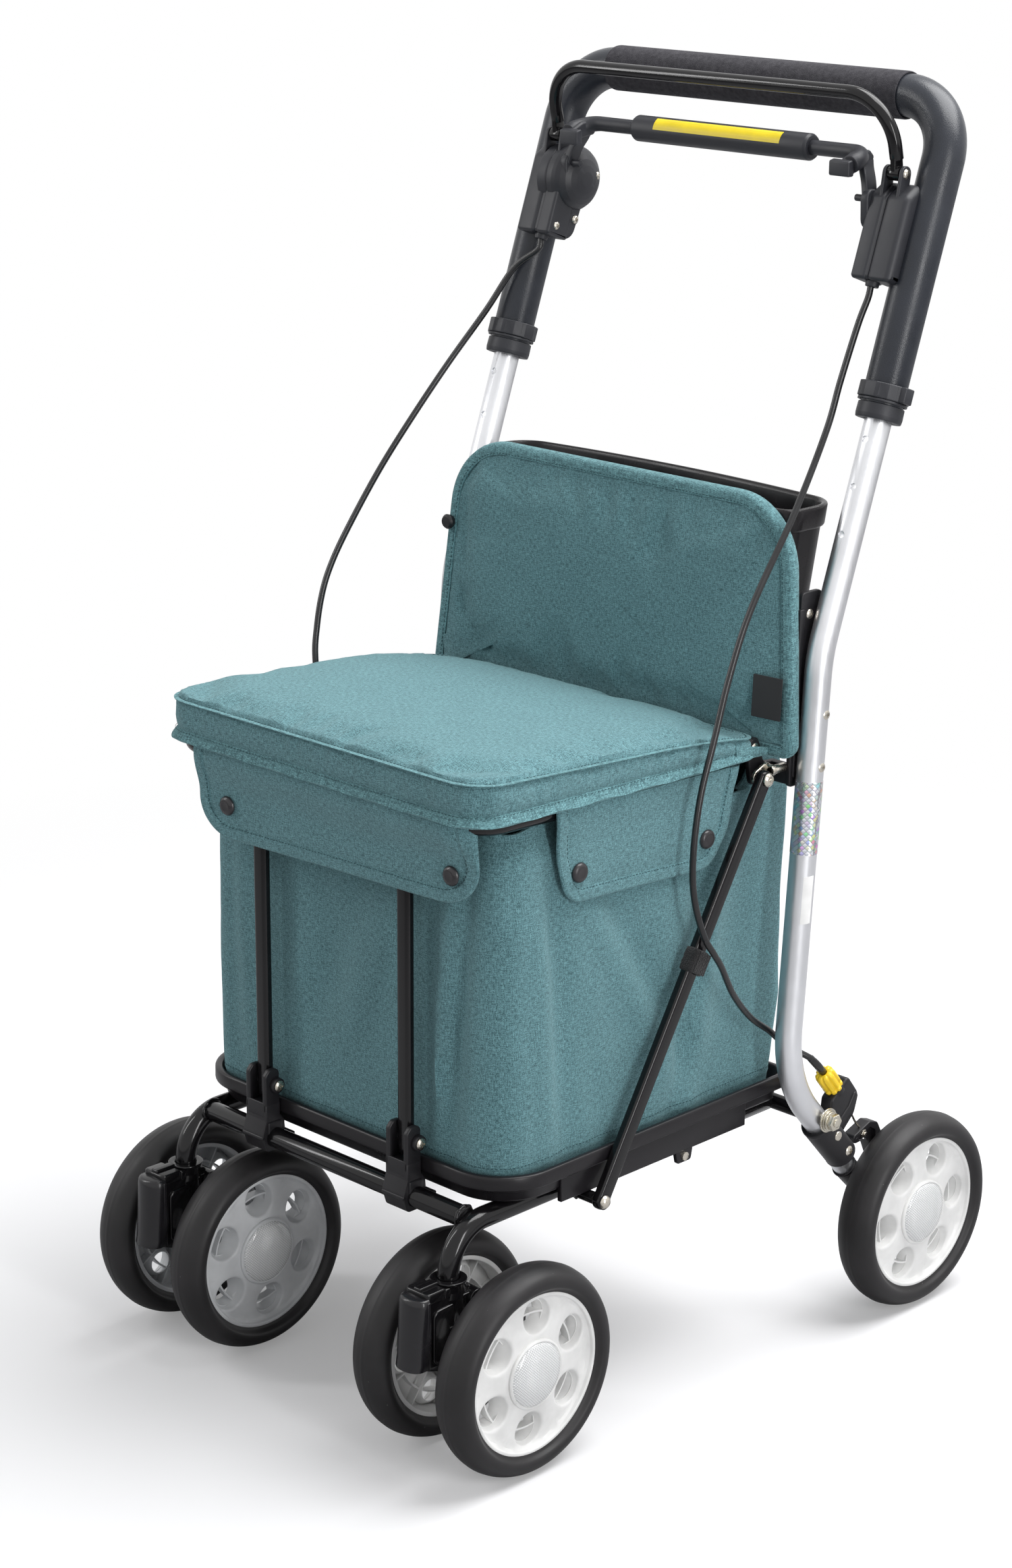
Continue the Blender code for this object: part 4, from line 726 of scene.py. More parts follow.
def foamLook():
    look, tree, shader = newLook("gripFoam", tone(62, 61, 65), 0.92, Specular_IOR_Level=0.2)
    spot = objectSpot(tree)
    cells = node(tree, "ShaderNodeTexVoronoi", Vector=spot, Scale=1300.0).outputs["Distance"]
    soft = noiseOn(tree, spot, 260.0, 3.0)
    tree.links.new(mixedColour(tree, ranged(tree, soft, 0.0, 1.0, 0.3, 0.7), tone(50, 49, 53), tone(68, 67, 71)),
                   shader.inputs["Base Color"])
    bumped(tree, shader, sums(tree, "ADD", cells, sums(tree, "MULTIPLY", soft, 0.8)), 0.8, 0.00025)
    return look


def lensLook():
    # clear reflector: fine diagonal prism grid under a smooth skin
    look, tree, shader = newLook("reflectorLens", tone(222, 224, 226), 0.1, Coat_Weight=1.0, Coat_Roughness=0.04)
    part = node(tree, "ShaderNodeSeparateXYZ", Vector=objectSpot(tree))
    pitch = math.pi / 0.0022
    rise = sums(tree, "SINE", sums(tree, "MULTIPLY", sums(tree, "ADD", part.outputs[1], part.outputs[2]), pitch))
    fall = sums(tree, "SINE", sums(tree, "MULTIPLY", sums(tree, "SUBTRACT", part.outputs[1], part.outputs[2]), pitch))
    grid = sums(tree, "MINIMUM", sums(tree, "ABSOLUTE", rise), sums(tree, "ABSOLUTE", fall))
    patch = noiseOn(tree, objectSpot(tree), 120.0, 2.0)
    tree.links.new(mixedColour(tree, ranged(tree, grid, 0.55, 0.0, 0.0, 0.7), tone(236, 237, 238),
                               tone(126, 128, 130)),
                   shader.inputs["Base Color"])
    bumped(tree, shader, sums(tree, "ADD", grid, sums(tree, "MULTIPLY", patch, 0.5)), 0.8, 0.0004)
    return look


def fuzzLook():
    look, tree, shader = newLook("hookAndLoop", tone(22, 21, 23), 0.95, Sheen_Weight=0.15, Sheen_Roughness=0.5)
    spot = objectSpot(tree)
    loops = node(tree, "ShaderNodeTexVoronoi", Vector=spot, Scale=900.0).outputs["Distance"]
    tufts = noiseOn(tree, spot, 700.0, 5.0, 0.75)
    tree.links.new(mixedColour(tree, tufts, tone(8, 8, 9), tone(36, 35, 37)), shader.inputs["Base Color"])
    bumped(tree, shader, sums(tree, "ADD", loops, tufts), 1.0, 0.0008)
    return look


def prismLook():
    # reflective tape: small pyramids, each with its own pale colour
    look, tree, shader = newLook("prismTape", tone(214, 218, 224), 0.22, 0.75)
    place = node(tree, "ShaderNodeUVMap", {"uv_map": "weave"}).outputs[0]
    cells = node(tree, "ShaderNodeMapping", Vector=place, Rotation=(0, 0, math.radians(45)),
                 Scale=(330, 330, 1)).outputs[0]
    chosen = node(tree, "ShaderNodeTexWhiteNoise", {"noise_dimensions": "2D"},
                  Vector=node(tree, "ShaderNodeVectorMath", {"operation": "FLOOR"}, i0=cells).outputs[0])
    hue = node(tree, "ShaderNodeHueSaturation", Saturation=1.0, Value=1.0,
               Hue=chosen.outputs["Value"], Color=tone(120, 200, 235)).outputs[0]
    local = node(tree, "ShaderNodeSeparateXYZ",
                 Vector=node(tree, "ShaderNodeVectorMath", {"operation": "FRACTION"}, i0=cells).outputs[0])
    ridge = sums(tree, "MINIMUM", local.outputs[0], local.outputs[1])
    tint = ranged(tree, node(tree, "ShaderNodeSeparateXYZ", Vector=chosen.outputs["Color"]).outputs[1], 0.0, 0.75,
                  0.3, 1.0)
    shade = mixedColour(tree, tint, tone(222, 225, 230), hue)
    tree.links.new(mixedColour(tree, sums(tree, "LESS_THAN", ridge, 0.1), shade, tone(150, 156, 170)),
                   shader.inputs["Base Color"])
    bumped(tree, shader, ridge, 0.9, 0.0006)
    return look


# ---- node trees for what repeats: stitches along a line, fasteners on points, ribs round an axis

def newTree(name, inputs):
    tree = bpy.data.node_groups.new(name, "GeometryNodeTree")
    tree.interface.new_socket("Geometry", in_out="INPUT", socket_type="NodeSocketGeometry")
    for title, kind, value in inputs:
        socket = tree.interface.new_socket(title, in_out="INPUT", socket_type="NodeSocket" + kind)
        if value is not None:
            socket.default_value = value
    tree.interface.new_socket("Geometry", in_out="OUTPUT", socket_type="NodeSocketGeometry")
    start = tree.nodes.new("NodeGroupInput")
    end = tree.nodes.new("NodeGroupOutput")
    return tree, start.outputs, end


def endTree(tree, instances, start, end):
    real = node(tree, "GeometryNodeRealizeInstances", Geometry=instances)
    paint = node(tree, "GeometryNodeSetMaterial", Geometry=real.outputs[0], Material=start["Finish"])
    tree.links.new(paint.outputs[0], end.inputs[0])
    return tree


def stitchTree():
    tree, start, end = newTree("stitchRow",
                               (("Pitch", "Float", 0.003), ("Length", "Float", 0.0021),
                                ("Thickness", "Float", 0.0005), ("Finish", "Material", None)))
    line = node(tree, "GeometryNodeMeshToCurve", Mesh=start["Geometry"])
    spots = node(tree, "GeometryNodeCurveToPoints", {"mode": "LENGTH"}, Curve=line.outputs[0], Length=start["Pitch"])
    bead = node(tree, "GeometryNodeMeshUVSphere", Segments=6, Rings=4, Radius=1.0)
    half = node(tree, "ShaderNodeCombineXYZ", X=sums(tree, "MULTIPLY", start["Thickness"], 0.5),
                Y=sums(tree, "MULTIPLY", start["Thickness"], 0.5), Z=sums(tree, "MULTIPLY", start["Length"], 0.5))
    row = node(tree, "GeometryNodeInstanceOnPoints", Points=spots.outputs[0], Instance=bead.outputs[0],
               Rotation=spots.outputs["Rotation"], Scale=half.outputs[0])
    return endTree(tree, row.outputs[0], start, end)


def fastenerTree():
    tree, start, end = newTree("fastenerSet",
                               (("Head", "Object", None), ("Size", "Float", 1.0), ("Finish", "Material", None)))
    way = node(tree, "GeometryNodeInputNamedAttribute", {"data_type": "FLOAT_VECTOR"}, Name="heading")
    turn = node(tree, "FunctionNodeAlignRotationToVector", {"axis": "Z"}, Vector=way.outputs[0])
    head = node(tree, "GeometryNodeObjectInfo", Object=start["Head"])
    row = node(tree, "GeometryNodeInstanceOnPoints", Points=start["Geometry"], Instance=head.outputs["Geometry"],
               Rotation=turn.outputs[0], Scale=start["Size"])
    return endTree(tree, row.outputs[0], start, end)


def ribTree():
    tree, start, end = newTree("ribRing",
                               (("Count", "Int", 12), ("Radius", "Float", 0.01),
                                ("Rib", "Vector", (0.01, 0.001, 0.004)), ("Height", "Float", 0.0),
                                ("Turn", "Float", 0.0), ("Finish", "Material", None)))
    ring = node(tree, "GeometryNodeMeshCircle", Vertices=start["Count"], Radius=start["Radius"])
    rib = node(tree, "GeometryNodeMeshCube", Size=start["Rib"])
    position = node(tree, "GeometryNodeInputPosition").outputs[0]
    turn = node(tree, "FunctionNodeAlignRotationToVector", {"axis": "X"}, Vector=position)
    row = node(tree, "GeometryNodeInstanceOnPoints", Points=ring.outputs[0], Instance=rib.outputs[0],
               Rotation=turn.outputs[0])
    raised = node(tree, "GeometryNodeTransform", Geometry=row.outputs[0],
                  Translation=node(tree, "ShaderNodeCombineXYZ", Z=start["Height"]).outputs[0],
                  Rotation=node(tree, "ShaderNodeCombineXYZ", Z=start["Turn"]).outputs[0])
    return endTree(tree, raised.outputs[0], start, end)


trees = {}


def grown(name, tree, mesh, values):
    # runs a node tree over a mesh and gives back the plain mesh that it makes
    thing = bpy.data.objects.new(name, mesh)
    bpy.context.scene.collection.objects.link(thing)
    step = thing.modifiers.new("nodes", "NODES")
    step.node_group = tree
    for item in tree.interface.items_tree:
        if item.in_out == "INPUT" and item.name in values:
            step[item.identifier] = values[item.name]
    bpy.context.view_layer.update()
    made = bpy.data.meshes.new_from_object(thing.evaluated_get(bpy.context.evaluated_depsgraph_get()))
    bpy.data.objects.remove(thing, do_unlink=True)
    made.name = name
    return made


def stitches(name, lines, body, look="thread", pitch=0.0032, length=0.0022, thickness=0.00055, shift=True):
    verts, edges = [], []
    offset = rowShift if shift else Vector()
    for points, closed in lines:
        first = len(verts)
        verts += [tuple(Vector(p) + offset) for p in points]
        edges += [(i, i + 1) for i in range(first, len(verts) - 1)] + ([(len(verts) - 1, first)] if closed else [])
    mesh = bpy.data.meshes.new(name)
    mesh.from_pydata(verts, edges, [])
    made = grown(name, trees["stitch"], mesh,
                 {"Pitch": pitch, "Length": length, "Thickness": thickness, "Finish": looks[look]})
    return rigged(made, name, body, looks[look], sharp=80)


def fasteners(name, head, spots, body, look, size=1.0, shift=True):
    # copies of one head on points, each with the way that it looks out
    offset = rowShift if shift else Vector()
    mesh = bpy.data.meshes.new(name)
    mesh.from_pydata([tuple(Vector(p) + offset) for p, way in spots], [], [])
    mesh.attributes.new("heading", "FLOAT_VECTOR", "POINT").data.foreach_set("vector",
                                                                             [c for p, way in spots for c in way])
    template = helper(head, "head")
    made = grown(name, trees["fastener"], mesh, {"Head": template, "Size": size, "Finish": looks[look]})
    old = template.data
    bpy.data.objects.remove(template, do_unlink=True)
    bpy.data.meshes.remove(old)
    return rigged(made, name, body, looks[look], sharp=32)


def ribs(count, radius, size, height=0.0, turn=0.0):
    # a ring of ribs as a shell about local Z
    made = grown("ribs", trees["rib"], bpy.data.meshes.new("ribs"),
                 {"Count": count, "Radius": radius, "Rib": size, "Height": height,
               "Turn": turn, "Finish": looks["moulded"]})
    shell = [v.co.copy() for v in made.vertices], [tuple(p.vertices) for p in made.polygons], [0] * len(made.polygons)
    bpy.data.meshes.remove(made)
    return shell


# heads for the fasteners, drawn on local Z with their seat at height 0

def panHead(radius=0.005, height=0.0026):
    a, b = radius * 0.55, radius * 0.11
    outline = ((b, b), (a, b), (a, -b), (b, -b), (b, -a), (-b, -a), (-b, -b), (-a, -b), (-a, b), (-b, b), (-b, a),
               (b, a))
    cross = slab(outline, height, Matrix.Translation((0, 0, height * 0.95)), 0.0)
    dome = lathe([(0, height), (radius * 0.45, height * 0.96), (radius * 0.8, height * 0.72), (radius, height * 0.3),
                  (radius, 0), (0, 0)], steps=28)
    return carved(dome, cross)


def hexNut(radius=0.0062, height=0.0034, bolt=0.003):
    body = slab(circleOutline(radius, 6), height, Matrix.Translation((0, 0, height / 2)), 0.0005)
    return joined([body,
                   lathe([(0, height + 0.0012), (bolt * 0.8, height + 0.0012), (bolt, height + 0.0008),
                          (bolt, height * 0.5), (0, height * 0.5)], steps=20)])


def domeRivet(radius=0.004, height=0.0016):
    return lathe([(0, height), (radius * 0.5, height * 0.9), (radius * 0.85, height * 0.5), (radius, 0), (0, 0)],
                 steps=20)


def snapHead(radius=0.0075, height=0.003):
    return lathe([(0, height * 0.9), (radius * 0.45, height * 0.95), (radius * 0.62, height),
                  (radius * 0.86, height * 0.74), (radius * 0.97, height * 0.36), (radius, 0.0002),
                  (radius * 0.96, -0.0004), (0, -0.0004)], steps=28)


# ---- camera, light and floor

stageSettings = {
    "place": (1.6899, -1.74661, 1.1832),
    "yaw": 0.75917,
    "pitch": 0.30458,
    "roll": 0.0124,
    "lens": 76.03,
    "shift": (-0.04367, 0.01147),
    "fill": 0.36,           # world light on the object; the camera sees plain white
    "lamps": (              # place, aim, size, watts
        ((0.55, 0.75, 2.4), (0.0, 0.0, 0.45), (1.8, 1.8), 78.0),
        ((2.3, -0.6, 1.0), (0.0, 0.0, 0.35), (0.3, 1.5), 21.0),
        ((-1.5, -1.3, 1.5), (0.0, 0.0, 0.4), (0.22, 1.4), 11.0),
    ),
    "floor": tone(244, 244, 246),
    "bounce": tone(186, 186, 188),
}


def placeCamera():
    s = stageSettings
    yaw, pitch, roll = s["yaw"], s["pitch"], s["roll"]
    back = Vector((math.sin(yaw) * math.cos(pitch), -math.cos(yaw) * math.cos(pitch), math.sin(pitch)))
    level = Vector((math.cos(yaw), math.sin(yaw), 0.0))
    upright = back.cross(level)
    right = level * math.cos(roll) + upright * math.sin(roll)
    up = upright * math.cos(roll) - level * math.sin(roll)
    camera = bpy.data.objects.new("photoView", bpy.data.cameras.new("photoView"))
    bpy.context.scene.collection.objects.link(camera)
    turn = Matrix((right, up, back)).transposed().to_4x4()
    camera.matrix_world = Matrix.Translation(s["place"]) @ turn
    camera.data.lens = s["lens"]
    camera.data.sensor_width = 36.0
    camera.data.shift_x, camera.data.shift_y = s["shift"]
    camera.data.clip_start = 0.05
    bpy.context.scene.camera = camera


def lightScene():
    s = stageSettings
    scene = bpy.context.scene
    scene.view_settings.view_transform = "Standard"
    world = scene.world or bpy.data.worlds.new("studio")
    scene.world = world
    world.use_nodes = True
    tree = world.node_tree
    tree.nodes.clear()
    seen = node(tree, "ShaderNodeLightPath")
    plain = sums(tree, "MAXIMUM", sums(tree, "MAXIMUM", seen.outputs["Is Camera Ray"], seen.outputs["Is Glossy Ray"]),
                 seen.outputs["Is Transmission Ray"])
    strength = ranged(tree, plain, s["fill"], 1.0)
    light = node(tree, "ShaderNodeBackground", Color=(1, 1, 1, 1), Strength=strength)
    node(tree, "ShaderNodeOutputWorld", Surface=light.outputs[0])
    for number, (place, aim, size, watts) in enumerate(s["lamps"]):
        lamp = bpy.data.lights.new("softbox%d" % number, "AREA")
        lamp.shape = "RECTANGLE"
        lamp.size, lamp.size_y = size
        lamp.energy = watts
        thing = bpy.data.objects.new("softbox%d" % number, lamp)
        scene.collection.objects.link(thing)
        way = Vector(aim) - Vector(place)
        thing.matrix_world = Matrix.Translation(place) @ way.to_track_quat("-Z", "Y").to_matrix().to_4x4()


def layFloor():
    # pale sheet that fades to white away from the object
    look, tree, shader = newLook("paleFloor", stageSettings["floor"], 0.75, Specular_IOR_Level=0.1)
    spot = objectSpot(tree)
    away = node(tree, "ShaderNodeVectorMath", {"operation": "LENGTH"}, i0=spot).outputs["Value"]
    seen = node(tree, "ShaderNodeLightPath").outputs["Is Camera Ray"]
    tree.links.new(mixedColour(tree, seen, stageSettings["bounce"], stageSettings["floor"]),
                   shader.inputs["Base Color"])
    share = sums(tree, "MULTIPLY", ranged(tree, away, 0.22, 1.0, 0.5, 1.5), seen)
    white = node(tree, "ShaderNodeEmission", Color=(1, 1, 1, 1), Strength=1.0)
    mix = node(tree, "ShaderNodeMixShader", Fac=share, i1=shader.outputs[0], i2=white.outputs[0])
    tree.links.new(mix.outputs[0], tree.nodes["Material Output"].inputs[0])
    mesh = bpy.data.meshes.new("floor")
    mesh.from_pydata([(-6, -6, 0), (6, -6, 0), (6, 6, 0), (-6, 6, 0)], [], [(0, 1, 2, 3)])
    mesh.materials.append(look)
    floor = bpy.data.objects.new("floor", mesh)
    bpy.context.scene.collection.objects.link(floor)


# ---- wheels and casters

wheelSettings = {
    "radius": 0.08,
    "halfWidth": 0.0171,
    "holeCircle": 0.0435,
    "holeMouth": 0.013,
    "holeFoot": 0.0082,
    "holeAngle": math.radians(11),
    "rimInner": 0.059,
    "hubInner": 0.02,
    "lensRadius": 0.0248,
    "pairHalf": 0.0428,     # front wheels, from the caster's middle
    "rearX": 0.2116,
}


def tyreShell():
    w = wheelSettings["halfWidth"]
    half = [(0.0606, 0.0112), (0.0618, 0.0124), (0.0632, 0.0131), (0.0645, 0.0146), (0.0662, w - 0.0006), (0.069, w),
            (0.072, w - 0.0006), (0.0748, w - 0.0026), (0.077, w - 0.0057), (0.0785, w - 0.009), (0.0794, 0.005),
            (0.0799, 0.0012)]
    fine = smoothRoute([(r, 0, h) for r, h in half], 40)
    outer = [(p[0], p[2]) for p in fine] + [(0.08005, 0.0006)]
    lower = [(r, -h) for r, h in reversed(outer)]
    return lathe(outer + lower + [(0.06, -0.01), (0.06, 0.01)], steps=128, closed=True)


def hubHeight(r):
    return float(np.interp(r, (0.0, 0.0268, 0.03, 0.04, 0.05, 0.056, 0.0575, 0.059),
                           (0.0106, 0.0106, 0.0104, 0.0098, 0.0088, 0.008, 0.0084, 0.0104)))


def sectorSkin(angle, holeRadius, height, lip):
    # one sixth of the disc as rings from the hole's mouth out to the sector's edge
    s = wheelSettings
    inner, outer, half = s["hubInner"], s["rimInner"], math.pi / 6
    edge = [(inner, angle - half + 2 * half * k / 12) for k in range(12)]
    edge += [(inner + (outer - inner) * k / 8, angle + half) for k in range(8)]
    edge += [(outer, angle + half - 2 * half * k / 12) for k in range(12)]
    edge += [(outer - (outer - inner) * k / 8, angle - half) for k in range(8)]
    centre = Vector((s["holeCircle"] * math.cos(angle), s["holeCircle"] * math.sin(angle)))
    rows = []
    for share in (0.0, 0.02, 0.06, 0.12, 0.22, 0.36, 0.55, 0.76, 1.0):
        row = []
        for r, a in edge:
            border = Vector((r * math.cos(a), r * math.sin(a)))
            way = border - centre
            reach = way.length
            distance = holeRadius + (reach - holeRadius) * share
            p = centre + way / reach * distance
            near = max(0.0, lip - (distance - holeRadius))
            drop = lip - math.sqrt(max(0.0, lip * lip - near * near)) if lip else 0.0
            row.append(Vector((p.x, p.y, height(p.length) - drop)))
        rows.append(row)
    return rows


def hubShells():
    s = wheelSettings
    shells = []
    for index in range(6):
        angle = s["holeAngle"] + index * math.pi / 3
        front = sectorSkin(angle, s["holeMouth"], hubHeight, 0.0024)
        back = sectorSkin(angle, s["holeFoot"] + 0.003, lambda r: 0.003, 0.0)
        centre = Vector((s["holeCircle"] * math.cos(angle), s["holeCircle"] * math.sin(angle), 0))
        cone = []
        for share, grow in ((0.08, 0.0), (0.3, 0.0), (0.6, 0.0), (0.9, 0.0), (1.0, 0.0004), (1.0, 0.0012),
                            (0.95, 0.0016), (0.5, 0.0021)):
            row = []
            for top in front[0]:
                way = Vector((top.x, top.y, 0)) - centre
                r = s["holeMouth"] + (s["holeFoot"] - s["holeMouth"]) * share + grow
                height = top.z + (-0.005 - top.z) * share
                row.append(centre + way.normalized() * r + Vector((0, 0, height)))
            cone.append(row)
        rows = list(reversed(front)) + cone + back
        shells.append(gridSkin(rows, loop=True))
    r0, r1 = s["hubInner"], s["rimInner"]
    shells.append(lathe([(r0 + 0.001, 0.0045), (r0 - 0.001, 0.0045), (r0 - 0.001, 0.003), (r0 + 0.001, 0.003)],
                        steps=72, closed=True))
    rim = roundProfile([(r1 - 0.0016, 0.003), (r1 - 0.0006, 0.0092), (0.0592, 0.0124), (0.0619, 0.0124),
                        (0.0619, -0.0124), (0.0583, -0.0124), (0.0568, 0.001)], 0.0009, 4, closed=True)
    boss = roundProfile([(0.0052, 0.0106), (0.0268, 0.0106), (0.0274, 0.0102), (0.0274, 0.0035), (0.013, 0.003),
                         (0.0124, -0.013), (0.0052, -0.013)], 0.0006, 4, closed=True)
    shells += [lathe(rim, steps=96, closed=True), lathe(boss, steps=72, closed=True)]
    shells.append(ribs(12, 0.0352, (0.044, 0.0014, 0.0075), -0.0006, math.radians(11 + 15)))
    shells.append(lathe([(0.044, 0.0032), (0.0454, 0.0032), (0.0454, -0.0042), (0.044, -0.0042)], steps=72,
                        closed=True))
    return shells


def lensShells():
    r = wheelSettings["lensRadius"]
    dome = lathe([(0, 0.0178), (0.006, 0.0177), (0.012, 0.0172), (0.018, 0.0162), (0.022, 0.0148), (0.0238, 0.0136),
                  (r, 0.0118), (r, 0.01), (0, 0.01)], steps=72)
    ring = lathe(roundProfile([(0.0243, 0.0096), (0.0243, 0.0128), (0.0252, 0.0134), (0.0266, 0.0122),
                               (0.0266, 0.0096)], 0.0005, 3, closed=True),
                 steps=72, closed=True)
    return [dome], [ring]


def makeWheels():
    tyre, hub = tyreShell(), hubShells()
    dome, ring = lensShells()
    track, apart, rear = casterSettings["track"], wheelSettings["pairHalf"], wheelSettings["rearX"]
    # the front left pair takes the greyer hub as painted shade; the other hubs are white
    for label, x, outward, y, hubLook, turned in (
            ("front_right_outer", track + apart, 1, 0.0, "hubWhite", 14),
            ("front_right_inner", track - apart, -1, 0.0, "hubWhite", 40),
            ("front_left_outer", -track - apart, -1, 0.0, "hubGrey", 5),
            ("front_left_inner", -track + apart, 1, 0.0, "hubGrey", 25),
            ("rear_right", rear, 1, rearAxle[0], "hubWhite", -6),
            ("rear_left", -rear, -1, rearAxle[0], "hubWhite", 20)):
        place = facing(x, (y, wheelSettings["radius"]), outward) @ Matrix.Rotation(math.radians(turned), 4, "Z")
        body = "wheel_" + label
        finishPiece("tyre_" + label + "_fine", [moved(tyre, place)], body, looks["rubber"], ["tyre_" + label],
                    50)
        finishPiece("hub_" + label + "_fine", [moved(s, place) for s in hub + ring], body, looks[hubLook],
                    ["hub_" + label], 38)
        finishPiece("reflector_" + label + "_fine", [moved(s, place) for s in dome], body, looks["lens"],
                    ["reflector_" + label], 50)
    print("wheels made")


casterSettings = {
    "track": 0.1453,
    "stemY": -0.034,
    "axleEnd": 0.0522,      # from the caster's middle
    "nave": 0.0265,
}


def casterShells():
    # at x = 0: leg between the wheels, socket on the stem, cap and screw boss
    y = casterSettings["stemY"]
    leg = roundedOutline(((-0.065, 0.143), (-0.05, 0.1462), (-0.02, 0.144), (-0.0195, 0.116), (0.008, 0.096),
                          (0.014, 0.08), (0.006, 0.0665), (-0.008, 0.0665), (-0.04, 0.08), (-0.0655, 0.089)),
                         [0.004, 0.004, 0.006, 0.012, 0.01, 0.01, 0.009, 0.012, 0.012, 0.004], 7)
    shells = [slab(leg, 0.0205, sidePlane(0.0), 0.0022)]
    cheek = roundedOutline(((-0.06, 0.134), (-0.026, 0.136), (-0.025, 0.118), (-0.001, 0.099), (0.0085, 0.08),
                            (0.003, 0.0715), (-0.008, 0.0715), (-0.038, 0.085), (-0.06, 0.094)), 0.006, 6)
    shells.append(slab(cheek, 0.0245, sidePlane(0.0), 0.0016))
    shells.append(lathe(roundProfile([(0.0082, 0.1085), (0.0138, 0.1085), (0.0138, 0.1375), (0.0128, 0.142),
                                      (0.0128, 0.1475), (0.0136, 0.1482), (0.0136, 0.1496), (0.0082, 0.1496)], 0.0008,
                                      3, closed=True),
                        Matrix.Translation((0, y, 0)), 48, closed=True))
    cap = roundedOutline(((-0.0118, -0.0665), (0.0118, -0.0665), (0.0118, -0.048), (-0.0118, -0.048)),
                         [0.004, 0.004, 0.002, 0.002], 5)
    shells.append(slab(cap, 0.0085, Matrix.Translation((0, 0, 0.1452)), 0.0015))
    shells.append(block((-0.0034, -0.0655, 0.148), (0.0034, -0.047, 0.1515), 0.001))
    shells.append(block((-0.011, -0.0475, 0.14), (0.011, -0.042, 0.1475), 0.0012))
    for z in (0.106, 0.111, 0.116):
        shells.append(block((0.009, -0.045, z), (0.0128, -0.025, z + 0.0018), 0.0004))
    boss = lathe(roundProfile([(0.0, 0.0175), (0.0072, 0.0175), (0.0076, 0.0), (0.0, 0.0)], 0.001, 4),
                 facing(0.0, (-0.0215, 0.1345)), 40)
    shells += [boss, block((0.0, -0.033, 0.129), (0.014, -0.016, 0.14), 0.0015)]
    return [painted(s, 0) for s in shells]


def coverShells():
    # the front cap bows out like a half barrel and flares a little at the foot
    rings = []
    for z, inset in ((0.0915, 0.0012), (0.0917, 0.0004), (0.0925, 0.0), (0.096, -0.0002), (0.1, 0.0), (0.12, 0.0),
                     (0.14, 0.0), (0.144, 0.0004), (0.1455, 0.0014), (0.1461, 0.0028)):
        lean = 0.003 * (0.146 - z) / 0.0545 + 0.0012 * max(0.0, (0.0985 - z) / 0.007) ** 2
        half, bow = 0.0131 - inset, 0.0092 - inset
        ring = [(half * math.cos(a), -0.0668 - lean - bow * math.sin(a) ** 0.9, z)
                for a in np.linspace(0.0, math.pi, 25)]
        rings.append(ring + [(-half, -0.0645, z), (half, -0.0645, z)])
    return [loft(rings), block((-0.0133, -0.0668, 0.0915), (0.0133, -0.064, 0.144), 0.0008)]


def makeCasters():
    s = casterSettings
    hub = (0.0, wheelSettings["radius"])
    body, cover = casterShells(), coverShells()
    for side, sign in bothSides:
        x = sign * s["track"]
        place = Matrix.Translation((x, 0, 0))
        rides = "caster_" + side
        axle = sideRod(x - s["axleEnd"], x + s["axleEnd"], hub, 0.0046, paint=1)
        washers = [sideRod(x + a, x + b, hub, 0.0074, paint=1) for a, b in ((-0.029, -0.027), (0.027, 0.029))]
        nave = sideRod(x - s["nave"], x + s["nave"], hub, 0.0098)
        finishPiece("caster_leg_" + side, [moved(shell, place) for shell in body] + [axle, nave] + washers, rides,
                    [looks["enamel"], looks["zinc"]], ["caster_body_" + side], 40)
        finishPiece("caster_cap_" + side, [moved(shell, place) for shell in cover], rides, looks["capBlack"],
                    ["caster_cover_" + side], 50)
        finishPiece("caster_nut_" + side,
                    [moved(hexNut(0.005, 0.0032, 0.0024), facing(x + 0.0172, (-0.0215, 0.1345)))], rides,
                    looks["zinc"], sharp=30)
    print("casters made")


# ---- base frame, tray and bag

baseSettings = {
    "hinge": (0.3165, 0.184),
    "railX": 0.145,
    "railZ": 0.185,
    "rail": 0.008,
    "frontBar": (-0.012, 0.187),
    "strutFoot": (0.091, 0.179),
    "uprightX": 0.077,
    "uprightFoot": (-0.0105, 0.229),
}


def weldBead(centre, axis, radius, size=0.0011, seed=0):
    # an uneven fillet of weld round a tube
    turn = aimed(centre, axis)
    points, radii = [], []
    for k in range(36):
        a = 2 * math.pi * k / 36
        bump = noise.noise(Vector((math.cos(a) * 2.3 + seed, math.sin(a) * 2.3, seed * 0.7)))
        points.append(turn @ Vector((math.cos(a) * radius, math.sin(a) * radius, bump * size * 0.6)))
        radii.append(1.0 + 0.45 * bump + 0.18 * math.sin(9 * a))
    return sweep(points, size, 8, closed=True, radii=radii)


